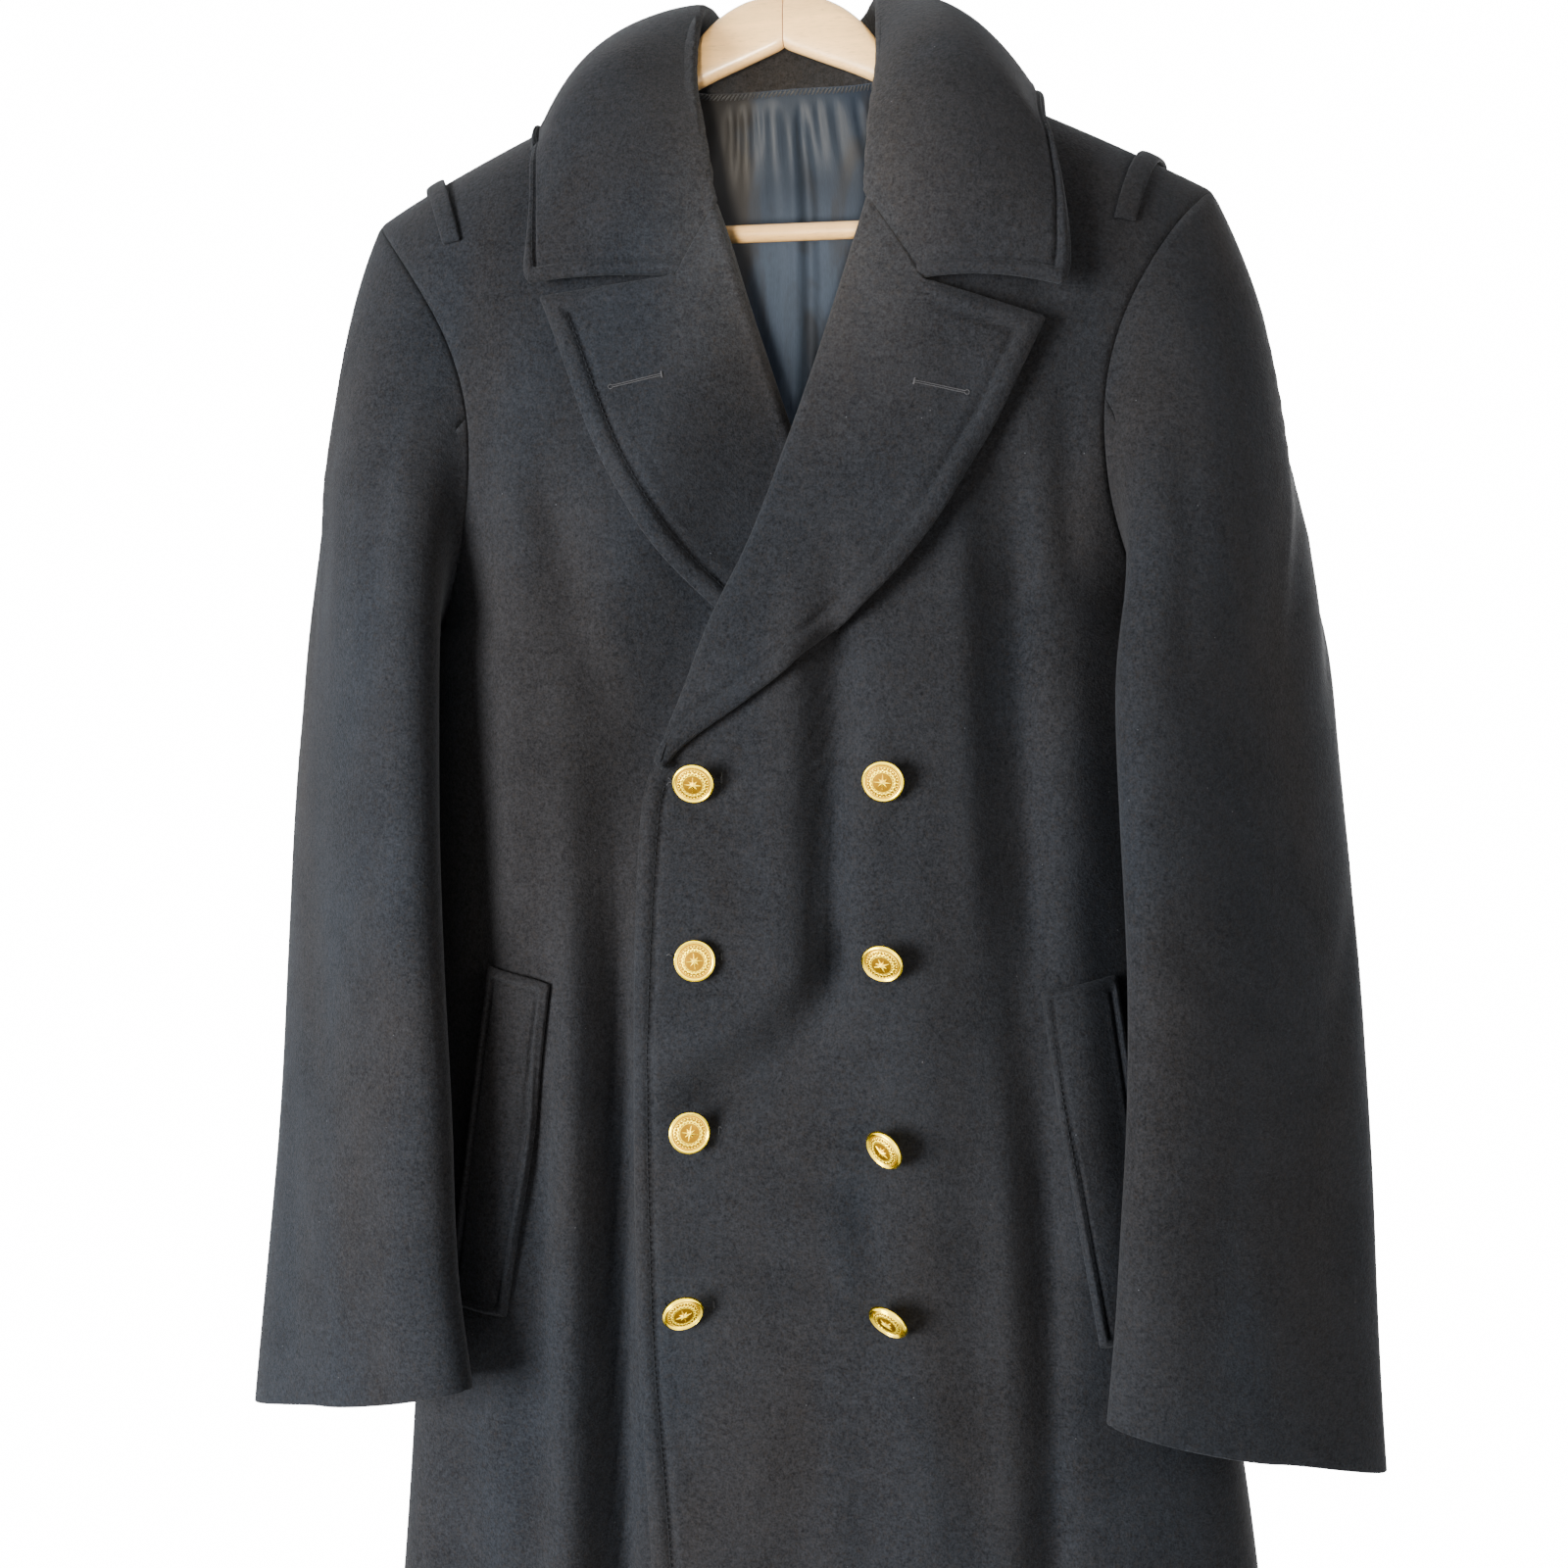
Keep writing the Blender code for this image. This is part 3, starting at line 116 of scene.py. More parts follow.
# height, x of the line midway between the two columns of buttons
CENTRE = ((-73.0, 1.9), (-41.0, 1.85), (-20.0, 1.7), (0.0, 1.7), (18.0, 1.68), (24.0, 1.75),
          (31.2, 1.65), (36.0, 1.0), (39.5, 0.3), (41.0, 0.1), (47.0, 0.1))
# height, x of the middle between the collar's two outer edges
COLLAR_MIDDLE = ((24.0, 1.6), (27.0, 1.75), (32.0, 1.45), (37.0, 0.5), (44.0, -0.1))
# height, reach from the centre line: front edge, roll line and neck seam (own side positive)
EDGE = ((-73.0, -6.9), (-41.8, -7.46), (-36.6, -7.8), (-31.3, -8.2), (-23.5, -8.43), (-16.0, -8.5),
        (-8.0, -8.37), (-3.0, -8.10), (-0.9, -7.88), (BREAK_Z, -7.5))
ROLL = ((BREAK_Z, -7.5), (5.0, -5.75), (9.0, -4.15), (12.4, -2.4), (18.5, 0.0), (24.2, 1.9),
        (GORGE_Z, 3.95))
NECK = ((GORGE_Z, 3.95), (34.0, 4.7), (37.0, 5.6), (39.5, 6.6), (NECK_Z, NECK_X - 0.1))
# share of the way up from the armpit, distance out, height, for the front and the back armhole
ARMHOLE_FRONT = ((0.0, 20.6, ARMPIT_Z), (0.1, 19.4, 10.2), (0.25, 17.9, 13.8), (0.4, 17.3, 17.6),
                 (0.55, 17.5, 21.3), (0.7, 18.7, 25.0), (0.85, 21.0, 28.9),
                 (1.0, SHOULDER_X, SHOULDER_Z))
ARMHOLE_BACK = ((0.0, 20.6, ARMPIT_Z), (0.1, 20.1, 10.3), (0.25, 19.4, 14.0), (0.4, 18.9, 18.0),
                (0.55, 19.1, 22.0), (0.7, 19.9, 25.6), (0.85, 21.7, 29.2),
                (1.0, SHOULDER_X, SHOULDER_Z))
# height, sideways shift of the armholes
ARMHOLE_SHIFT = ((ARMPIT_Z, 0.6), (14.0, 0.7), (20.0, 0.65), (27.0, 0.35), (SHOULDER_Z, 0.0))
# height, section centre out and back, half length, half thickness, twist, sideways shift, slant
SLEEVE = (
    (-34.1, 24.2, -6.3, 8.60, 2.60, 60.5, 1.15, 2.1),
    (-26.0, 24.4, -5.7, 8.35, 2.65, 54.5, 1.05, 1.0),
    (-18.0, 24.6, -4.8, 8.45, 2.75, 48.5, 0.97, 0.3),
    (-10.0, 24.7, -4.0, 8.60, 2.80, 44.3, 0.75, 0.0),
    (-2.0, 24.6, -3.2, 8.75, 2.90, 41.0, 0.45, 0.0),
    (5.5, 24.4, -2.3, 8.90, 3.00, 38.2, 0.20, 0.0),
)
# per side, how the sleeve's crown swells: out, less at the tip, inward on arrival, pull at both ends
SLEEVE_CROWN = {1: (0.50, 0.02, 0.40, 1.10, 0.71), -1: (1.0, 0.57, 0.195, 0.53, 1.05)}
# height, how far the front inner edge of the sleeve reaches on, for each side
SLEEVE_REACH = {1: ((-34.1, 0.0), (-12.0, 0.0), (4.0, 0.4), (5.5, 0.4)),
                -1: ((-34.1, 0.0), (-30.0, 0.0), (-18.0, 1.0), (5.5, 1.0))}
# large folds: start x z, middle x z, end x z, depth into the coat, half width
FRONT_FOLDS = (
    ("dip_beside_edge", -7.9, 7.0, -8.0, -30.0, -7.2, -80.0, 0.55, 1.1),
    ("right_pleat_ridge", -10.6, 12.0, -10.4, -20.0, -11.0, -80.0, -0.40, 1.3),
    ("right_chest_ridge", -13.4, 28.0, -14.2, 4.0, -13.6, -12.0, -0.50, 2.0),
    ("right_hem_flute", -16.6, -24.0, -17.0, -50.0, -18.5, -80.0, 0.70, 2.0),
    ("breast_trough", 4.2, 10.0, 4.3, 0.0, 3.4, -9.0, 0.45, 1.3),
    ("breast_trough_sweep", 3.9, -6.0, 2.8, -14.5, -5.0, -16.4, 0.40, 1.3),
    ("left_skirt_trough", 1.2, -34.0, 0.6, -55.0, -0.5, -80.0, 0.60, 2.2),
    ("left_pleat_ridge", 8.8, 18.0, 8.7, -12.0, 9.4, -80.0, -0.45, 2.0),
    ("left_chest_trough", 11.9, 18.0, 12.9, 2.0, 15.2, -34.0, 0.75, 1.4),
    ("left_hem_flute", 15.2, -32.0, 15.5, -55.0, 17.0, -80.0, 0.70, 2.0),
    ("left_side_ridge", 16.3, 14.0, 16.6, -5.0, 18.6, -34.0, -0.40, 1.5),
)
BACK_FOLDS = (
    ("blade_right", -11.5, 26.0, -12.5, 0.0, -10.0, -40.0, 0.70, 2.0),
    ("blade_left", 13.5, 27.0, 14.5, 4.0, 12.5, -34.0, 0.60, 2.0),
    ("centre_swell", -3.5, 10.0, -4.6, -25.0, -5.5, -80.0, -0.50, 2.2),
    ("skirt_left", 6.0, -18.0, 7.5, -45.0, 8.6, -80.0, 0.85, 2.2),
    ("skirt_right", -13.5, -30.0, -14.5, -50.0, -16.0, -80.0, 0.75, 2.0),
    ("skirt_far_left", 16.5, -34.0, 17.5, -55.0, 19.0, -80.0, 0.80, 2.0),
)
# lapel outer edge: share of the way from tip to break, reach, height
LAPEL_EDGE = ((0.0, 13.1, 23.9), (0.22, 10.0, 17.5), (0.42, 6.5, 12.1), (0.60, 2.4, 8.1),
              (0.78, -2.3, 4.5), (0.92, -5.9, 2.0), (1.0, -7.3, 0.6))
# per side: notch reach and height, tip reach and height
LAPEL_TOP = {1: (6.95, 26.3, 13.1, 23.9), -1: (6.1, 27.0, 13.45, 26.0)}
# collar sections, from the centre back (0) over the neck point (2) and the gorge (5) to the notch (7):
# key, roll out/back/up, crown out/back/up (pulls the fall round), edge out/back/up
COLLAR = (
    (0.0, 0.0, 6.1, 45.6, 0.0, 9.6, 46.4, 0.0, 8.1, 35.8),
    (1.0, 3.2, 4.5, 45.7, 5.0, 8.4, 46.0, 8.6, 7.0, 35.9),
    (2.0, 4.8, 0.2, 45.3, 10.4, 0.8, 45.4, 13.9, 0.3, 38.4),
    (3.0, 5.2, -4.0, 39.8, 10.4, -6.0, 42.4, 14.1, -6.0, 34.5),
    (4.0, 4.4, -7.2, 35.1, 10.0, -9.0, 36.8, 14.3, -7.9, 30.6),
    (5.0, 3.95, -8.6, 31.0, 9.0, -10.0, 32.4, 14.4, -8.7, 28.6),
    (6.0, 5.2, -8.8, 28.9, 9.6, -9.8, 29.2, 14.4, -8.9, 27.5),
    (7.0, 6.5, -9.0, 26.9, 10.4, -9.6, 27.2, 14.1, -9.1, 27.0),
)
CORNER_DROP = {1: 1.35, -1: -0.05}     # the wearer's left collar point hangs lower
# collar key, how much farther in the roll stands on the wearer's right
ROLL_IN = ((0.0, 0.0), (1.0, 0.0), (2.0, 0.7), (2.5, 1.15), (3.0, 1.2), (3.5, 0.8), (4.2, 0.3), (5.0, 0.0),
           (7.0, 0.0))
# height, half width of the lining
LINING_HALF = ((-71.0, 22.5), (-40.0, 20.5), (-10.0, 18.2), (8.8, 17.6), (20.0, 15.6), (30.0, 14.4),
               (42.0, 13.6))
# welt corners: reach and height, inner top, outer top, inner bottom, outer bottom
WELT = ((13.2, -10.9), (16.7, -10.1), (16.0, -29.0), (19.5, -28.9))
# button: x, height, the way it faces (x, y, z)
BUTTONS = (
    ("left_1", -3.25, 0.05, 0.07, -0.90, -0.43), ("left_2", -3.25, -9.30, 0.12, -0.99, -0.05),
    ("left_3", -3.50, -18.45, 0.36, -0.93, 0.0), ("left_4", -3.75, -27.65, 0.41, -0.77, -0.48),
    ("right_1", 6.75, 0.15, -0.04, -0.94, -0.32), ("right_2", 6.75, -9.15, -0.15, -0.86, -0.50),
    ("right_3", 6.95, -18.75, -0.53, -0.74, -0.42), ("right_4", 7.30, -27.50, -0.40, -0.69, -0.60),
)
BUTTON_ROLL = {"left_1": 4.0, "left_2": -6.0, "left_3": 10.0, "left_4": -22.0,
               "right_1": 5.0, "right_2": -15.0, "right_3": -40.0, "right_4": -30.0}
COLLAR_KEYS = np.linspace(0.0, 7.0, 36)
# hanger arm: distance out, underside, top, half thickness
HANGER_ARM = (
    (0.015, 42.3, 45.2, 0.60), (2.2, 41.4, 45.0, 0.62), (4.6, 40.4, 43.4, 0.64), (6.0, 39.7, 41.6, 0.64),
    (7.4, 38.9, 40.1, 0.66), (11.0, 36.7, 38.2, 0.70), (15.0, 34.0, 36.2, 0.75), (18.5, 31.6, 34.5, 0.80),
    (20.6, 30.9, 33.5, 0.80), (21.5, 31.6, 32.9, 0.62),
)
BAR_Z, BAR_R, BAR_HALF = 31.7, 0.50, 19.8
HOOK_WIRE_R = 0.17
HOOK_INNER_R = 2.0
HOOK_BEND_R = HOOK_INNER_R + HOOK_WIRE_R
HOOK_JOINT, HOOK_END = -48.0, 205.0     # angles where the bend starts and ends
HOOK_FOOT_Z, FERRULE_Z = 46.0, 45.23
HOOK_SWING = 2.2                        # pull of the stem's curve at both ends
# small creases on the fronts and backs, as the folds above
FRONT_CREASES = (
    ("edge_gutter", -7.45, 4.0, -7.6, -26.0, -6.6, -90.0, 0.20, 0.45),
    ("right_pleat_crest", -10.3, 6.0, -10.4, -26.0, -9.8, -90.0, -0.55, 0.85),
    ("right_pleat_hollow", -8.1, 2.0, -8.3, -30.0, -7.6, -90.0, 1.00, 0.75),
    ("right_side_hollow", -12.2, -6.0, -12.4, -26.0, -12.6, -90.0, 0.34, 0.80),
    ("right_waist_crest", -13.6, 8.0, -14.6, -10.0, -15.6, -34.0, -0.22, 0.9),
    ("lapel_shade_right", -12.6, 18.0, -10.6, 12.0, -8.6, 3.0, 0.50, 1.2),
    ("waist_dent_right", -16.0, 2.0, -14.8, -6.0, -15.6, -15.0, 0.18, 1.1),
    ("beside_welt_right", -12.4, -12.0, -12.8, -24.0, -13.9, -40.0, 0.30, 1.0),
    ("breast_crest", 2.5, 13.5, 1.1, -0.5, 2.0, -13.0, -0.50, 1.05),
    ("breast_hollow", 4.5, 13.5, 3.0, -0.5, 4.2, -13.0, 0.86, 0.90),
    ("breast_far_crest", 6.7, 11.0, 5.8, -1.0, 6.2, -13.0, -0.26, 1.0),
    ("belly_crest", 2.3, -5.5, 2.8, -13.6, -7.0, -14.6, -0.64, 1.10),
    ("belly_hollow", 4.2, -5.5, 4.7, -16.4, -5.6, -17.0, 1.02, 1.00),
    ("below_break", -5.6, -1.5, -3.0, -4.5, 1.0, -5.2, 0.12, 0.9),
    ("button_pull_one", -2.0, -0.8, 1.5, -2.2, 5.6, -0.6, 0.10, 0.7),
    ("button_pull_two", -2.2, -10.2, 1.2, -11.8, 5.4, -10.4, 0.10, 0.8),
    ("over_four_crest", -5.8, -21.6, 0.4, -22.2, 6.0, -23.0, -0.24, 1.2),
    ("over_four_hollow", -5.6, -24.0, 0.4, -24.8, 5.6, -26.4, 0.46, 1.1),
    ("short_crease_right_column", 5.2, -21.0, 6.0, -24.6, 6.7, -29.5, 0.34, 0.5),
    ("chest_hollow_left", 9.8, 25.0, 12.4, 17.0, 13.4, 8.0, 0.26, 1.6),
    ("chest_crest_left", 10.6, 19.0, 11.0, 4.0, 11.4, -10.0, -0.42, 1.0),
    ("chest_groove_left", 13.4, 19.0, 13.8, 2.0, 14.6, -12.0, 0.62, 0.85),
    ("skirt_crest_left", 12.9, -7.0, 13.2, -30.0, 14.0, -90.0, -0.42, 0.9),
    ("skirt_groove_left", 14.9, -9.0, 15.3, -34.0, 16.3, -90.0, 0.70, 0.8),
    ("armhole_drag_left", 16.4, 22.0, 15.8, 17.0, 16.6, 9.0, 0.32, 0.9),
    ("armhole_drag_right", -15.4, 24.0, -14.6, 18.0, -15.6, 12.0, 0.20, 0.9),
    ("below_collar_left", 13.0, 31.0, 14.4, 28.0, 15.2, 24.0, 0.14, 0.9),
    ("flank_left", 17.2, -2.0, 17.8, -12.0, 19.0, -22.0, 0.20, 1.1),
    ("skirt_small_left", 5.4, -30.0, 5.8, -44.0, 6.8, -60.0, 0.20, 1.2),
    ("skirt_mid", 2.6, -26.0, 2.2, -44.0, 1.4, -90.0, 0.36, 1.0),
    ("skirt_mid_crest", 0.6, -27.0, 0.2, -44.0, -0.8, -90.0, -0.22, 1.0),
    ("skirt_small_right", -5.0, -36.0, -4.6, -52.0, -5.2, -76.0, 0.16, 1.2),
    ("edge_wave", -6.2, -30.0, -5.9, -50.0, -5.8, -78.0, -0.12, 0.7),
    ("hem_wave_left", 9.2, -46.0, 9.4, -60.0, 9.9, -90.0, 0.24, 1.2),
    ("hem_wave_right", -15.2, -40.0, -15.4, -56.0, -16.2, -90.0, 0.26, 1.1),
)
BACK_CREASES = (
    ("neck_drag_left", 5.5, 34.0, 6.4, 29.0, 8.6, 22.0, 0.14, 0.9),
    ("neck_drag_right", -4.8, 34.5, -6.2, 28.0, -7.6, 21.0, 0.16, 0.9),
    ("blade_small_left", 10.0, 20.0, 10.6, 10.0, 9.6, -4.0, 0.18, 1.1),
    ("blade_small_right", -16.2, 18.0, -16.4, 8.0, -15.4, -6.0, 0.20, 1.1),
    ("armhole_drag_left", 16.6, 24.0, 15.6, 18.0, 16.2, 10.0, 0.16, 0.9),
    ("armhole_drag_right", -16.4, 26.0, -15.6, 20.0, -15.8, 13.0, 0.14, 0.8),
    ("waist_left", 3.0, 2.0, 3.8, -8.0, 2.6, -22.0, 0.18, 1.3),
    ("waist_right", -8.4, -4.0, -8.8, -16.0, -7.6, -30.0, 0.18, 1.2),
    ("skirt_small", 1.8, -38.0, 2.2, -54.0, 3.0, -78.0, 0.20, 1.3),
    ("skirt_small_right", -10.4, -44.0, -10.8, -58.0, -11.6, -78.0, 0.18, 1.2),
    ("skirt_small_left", 12.6, -26.0, 13.2, -42.0, 13.0, -60.0, 0.18, 1.2),
)
# sleeve creases on each side: start angle and height, middle, end, depth, half width; angle 0 is the
# front inner fold, 90 the outer side, 180 the back fold, -90 the side next to the body
SLEEVE_CREASES = {
    1: (
        (96, 27.0, 88, 16.0, 84, 2.0, 0.26, 1.3), (132, 24.0, 140, 12.0, 128, 2.0, 0.20, 1.2),
        (40, 22.0, 36, 12.0, 44, 2.0, 0.18, 1.0), (62, 1.0, 78, -6.0, 120, -9.0, 0.16, 1.0),
        (20, -6.0, 48, -10.0, 84, -11.0, 0.20, 1.1), (150, -4.0, 120, -10.0, 96, -18.0, 0.18, 1.3),
        (64, -14.0, 70, -24.0, 62, -33.0, 0.16, 1.4), (116, -20.0, 110, -27.0, 118, -36.0, 0.14, 1.2),
        (-60, 4.0, -76, -2.0, -110, -6.0, 0.20, 1.0), (-84, -8.0, -90, -18.0, -80, -30.0, 0.22, 1.4),
    ),
    -1: (
        (74, 29.0, 82, 18.0, 92, 4.0, 0.24, 1.2), (44, 25.0, 34, 14.0, 38, 4.0, 0.20, 1.0),
        (128, 24.0, 122, 12.0, 134, 0.0, 0.20, 1.3), (24, -2.0, 52, -7.0, 92, -8.0, 0.16, 1.0),
        (96, -2.0, 88, -12.0, 74, -20.0, 0.16, 1.4), (16, -12.0, 40, -15.0, 70, -15.0, 0.14, 0.9),
        (60, -18.0, 66, -26.0, 60, -35.0, 0.18, 1.4), (112, -16.0, 104, -26.0, 110, -36.0, 0.14, 1.3),
        (-64, 3.0, -84, -3.0, -112, -5.0, 0.20, 1.0), (-80, -10.0, -92, -20.0, -84, -30.0, 0.20, 1.4),
    ),
}
# lining tucks under the neck: x at the top, how far down, depth, half width
LINING_TUCKS = ((-5.9, 9.0, 0.18, 0.45), (-4.2, 5.5, 0.24, 0.22), (-3.3, 8.0, 0.26, 0.30),
                (-2.5, 4.0, 0.18, 0.18), (-1.6, 11.0, 0.22, 0.40), (1.3, 5.0, 0.16, 0.22),
                (2.4, 9.0, 0.20, 0.40), (3.9, 5.0, 0.20, 0.25), (5.2, 8.0, 0.18, 0.45),
                (7.6, 14.0, 0.22, 0.70), (-8.4, 15.0, 0.22, 0.70))

# ---------------------------------------------------------------- fine grids
LOWER_COUNT = 190         # rows from the hem to the armpit
ARMHOLE_POINTS = 64       # from the armpit to the shoulder tip
UNDER_BACK, UNDER_FRONT = 34, 27        # armhole points that the under sleeve takes at the back and front
CAP_ROWS, SLEEVE_ROWS = 46, 84          # sleeve rows above and below the top ring
NECK_SHARES = 16          # back neck, centre to neck point
EDGE_FINE = np.array([0.0, 0.07, 0.16, 0.27, 0.40, 0.54, 0.68, 0.80, 0.90, 0.98, 1.06, 1.15, 1.26, 1.42,
                      1.65])        # distances in from a finished edge


# ---------------------------------------------------------------- reading the tables
def smooth(rows, at):
    """Read a table between its rows along a smooth curve; the first column is the key."""
    table = np.asarray(rows, float)
    keys, values = table[:, 0], table[:, 1:]
    at = np.clip(np.asarray(at, float), keys[0], keys[-1])
    slopes = np.gradient(values, keys, axis=0)
    i = np.clip(np.searchsorted(keys, at, side="right") - 1, 0, len(keys) - 2)
    step = (keys[i + 1] - keys[i])[..., None]
    t = (at - keys[i])[..., None] / step
    result = hermite(t, values[i], values[i + 1], step * slopes[i], step * slopes[i + 1])
    return result[..., 0] if values.shape[1] == 1 else result


def ramp(value, low, high):
    """Smooth step from 0 at low to 1 at high."""
    t = np.clip((value - low) / (high - low), 0.0, 1.0)
    return t * t * (3 - 2 * t)


def hermite(t, start, end, leave, arrive):
    """Point of a curve with set places and directions at its two ends."""
    return ((2 * t**3 - 3 * t**2 + 1) * start + (t**3 - 2 * t**2 + t) * leave
            + (3 * t**2 - 2 * t**3) * end + (t**3 - t**2) * arrive)


def unit(vectors):
    return vectors / np.maximum(np.linalg.norm(vectors, axis=-1, keepdims=True), 1e-9)


def path_gap(u, v, start, pull, end, segments=18):
    """Distance from a bent path, and the share of the way along it that is nearest."""
    t = np.linspace(0, 1, segments + 1)[:, None]
    path = (1 - t) ** 2 * np.array(start) + 2 * t * (1 - t) * np.array(pull) + t**2 * np.array(end)
    gap, share = np.full(np.shape(u), np.inf), np.zeros(np.shape(u))
    for k in range(segments):
        step = path[k + 1] - path[k]
        s = np.clip(((u - path[k, 0]) * step[0] + (v - path[k, 1]) * step[1]) / (step @ step), 0, 1)
        apart = np.hypot(u - path[k, 0] - s * step[0], v - path[k, 1] - s * step[1])
        share = np.where(apart < gap, (k + s) / segments, share)
        gap = np.minimum(apart, gap)
    return gap, share


# ---------------------------------------------------------------- the coat's form
def ridge(x):
    """Height of the shoulder's ridge."""
    return smooth(RIDGE, np.abs(x)) - TILT * x


def round_radius(x, face):
    """How far below the ridge the shoulder takes to reach full depth."""
    if face > 0:
        return 8.0 - 1.0 * ramp(np.abs(x), 10.0, SHOULDER_X)
    return 16.0 - 9.0 * ramp(np.abs(x), 4.0, SHOULDER_X)


def fold_depth(x, z, folds):
    """Sum of the folds' depths at a place on the coat."""
    total = np.zeros(np.broadcast(x, z).shape)
    for _, x0, z0, x1, z1, x2, z2, depth, width in folds:
        gap, share = path_gap(x, z, (x0, z0), (x1, z1), (x2, z2))
        fade = ramp(share, 0.0, 0.3) * ramp(1 - share, 0.0, 0.2)
        total += depth * fade * np.exp(-(gap / width) ** 2)
    return total


def form(a, z):
    """Point on the coat's outside. a is 0 at the front, 1 at the side seams, 2 at the back."""
    a, z = np.broadcast_arrays(np.asarray(a, float), np.asarray(z, float))
    half, front, back, shift = np.moveaxis(smooth(BODY, z), -1, 0)
    turn = np.abs(a) * math.pi / 2
    x = shift + np.sign(a) * half * np.abs(np.sin(turn)) ** (2 / RING_POWER)
    behind = np.abs(a) > 1
    face = np.where(behind, 1.0, -1.0)
    drop = np.maximum(ridge(x) - z, 0.0)
    radius = np.where(behind, round_radius(x, 1), round_radius(x, -1))
    share = np.clip(drop / radius, 0.0, 1.0)
    rounding = np.sqrt(1 - (1 - share) ** 2)
    y = face * np.where(behind, back, front) * np.abs(np.cos(turn)) ** (2 / RING_POWER) * rounding
    calm = ramp(np.abs(np.cos(turn)), 0.05, 0.35) * ramp(drop, 0.5, 8.0)
    folds = np.zeros(x.shape)
    for which, table in ((behind, BACK_FOLDS + BACK_CREASES), (~behind, FRONT_FOLDS + FRONT_CREASES)):
        if which.any():
            folds[which] = fold_depth(x[which], z[which], table)
    return np.stack([x, y - face * folds * calm, z], -1)


def form_at(x, z, face=-1):
    """Point on the front (face -1) or back (face 1) of the form, straight from x and z."""
    x, z = np.broadcast_arrays(np.asarray(x, float), np.asarray(z, float))
    half, _, _, shift = np.moveaxis(smooth(BODY, z), -1, 0)
    across = np.clip(np.abs(x - shift) / half, 0.0, 1.0) ** (RING_POWER / 2)
    a = np.arcsin(across) * 2 / math.pi
    a = np.maximum(a, 1e-6)
    return form(np.sign(x - shift + 1e-9) * (a if face < 0 else 2 - a), z)


def to_form(x, z, face=-1):
    """The (a, z) pair of a place given by x and z."""
    half, _, _, shift = np.moveaxis(smooth(BODY, z), -1, 0)
    a = np.arcsin(np.clip(np.abs(x - shift) / half, 0.0, 1.0) ** (RING_POWER / 2)) * 2 / math.pi
    return np.sign(x - shift) * (a if face < 0 else 2 - a)


def centre(z):
    return smooth(CENTRE, z)


def under_front(x, z):
    """How much deeper the right front lies where the left front covers it."""
    edge = np.where(z < BREAK_Z, centre(z) + smooth(EDGE, np.minimum(z, BREAK_Z)),
                    centre(z) + smooth(ROLL, np.clip(z, BREAK_Z, GORGE_Z)))
    depth = 0.95 + 1.05 * ramp(z, -5.0, 1.5)
    return depth * ramp(x, edge - 7.0, edge - 0.2)


def front_surface(side, x, z):
    """Outside of the left (1) or right (-1) front at x and z."""
    points = form_at(x, z)
    if side < 0:
        points[..., 1] += under_front(x, z)
    return points


# ---------------------------------------------------------------- patches and paths
def coons(left, right, bottom, top, u=None):
    """Blend four edge curves into a grid: left and right run up, bottom and top run across."""
    u = np.linspace(0, 1, len(bottom)) if u is None else u
    u, v = u[:, None, None], np.linspace(0, 1, len(left))[None, :, None]
    ruled = (1 - u) * left[None] + u * right[None] + (1 - v) * bottom[:, None] + v * top[:, None]
    corners = ((1 - u) * (1 - v) * left[0] + u * (1 - v) * right[0]
               + (1 - u) * v * left[-1] + u * v * right[-1])
    return ruled - corners


def run_lengths(points):
    """Distance along a polyline at each of its points."""
    return np.concatenate([[0.0], np.cumsum(np.linalg.norm(np.diff(points, axis=0), axis=1))])


def at_shares(points, shares):
    """Points at given shares of a polyline's length."""
    lengths = run_lengths(points)
    return np.stack([np.interp(np.asarray(shares) * lengths[-1], lengths, points[:, k])
                     for k in range(points.shape[1])], 1)


def bezier(start, pull, end, count):
    t = np.linspace(0, 1, count)[:, None]
    return (1 - t) ** 2 * start + 2 * t * (1 - t) * pull + t**2 * end


def refine(grid, shares):
    """Resample a grid along its first axis, along smooth curves."""
    keys = np.arange(len(grid), dtype=float)
    table = np.concatenate([keys[:, None], grid.reshape(len(grid), -1)], 1)
    return smooth(table, np.asarray(shares) * keys[-1]).reshape(len(shares), *grid.shape[1:])


def edge_shares(length, coarse):
    """Shares across a panel that crowd in at its finished edge (share 0)."""
    fine = EDGE_FINE / length
    return np.concatenate([fine, np.linspace(fine[-1], 1.0, coarse)[1:]])


def armhole(side, share, face):
    """Point of an armhole in x and z; share runs from the armpit to the shoulder tip."""
    out, z = np.moveaxis(smooth(ARMHOLE_BACK if face > 0 else ARMHOLE_FRONT, share), -1, 0)
    return smooth(ARMHOLE_SHIFT, z) + side * out, z - TILT * side * SHOULDER_X * np.asarray(share) ** 2


def armhole_shares():
    """Shares of the armhole's points, closer together at the shoulder."""
    return 1 - (1 - np.linspace(0, 1, ARMHOLE_POINTS)) ** 1.25


def reach_x(side, reach, z):
    return centre(z) + side * reach


def neck_height(x):
    """Height of the back neck seam."""
    return smooth(BACK_NECK, np.abs(x)) - TILT * x


def roll_radius(z):
    """Outer radius of the lapel's roll, softer above the break."""
    return FOLD_R_BREAK + (FOLD_R - FOLD_R_BREAK) * ramp(z, BREAK_Z, BREAK_Z + 8.0)


SHOULDER_U = edge_shares(27.0, 60)
LOWER_ROWS = np.linspace(HEM_Z, ARMPIT_Z, LOWER_COUNT)


# ---------------------------------------------------------------- coat body
def side_rows(side, face, shares):
    """The side seam and armhole of a panel as (a, z) points, one for each row."""
    lower = np.stack([np.full(LOWER_COUNT, side * 1.0), LOWER_ROWS], 1)
    x, z = armhole(side, shares[1:], face)
    return np.concatenate([lower, np.stack([to_form(x, z, face), z], 1)])


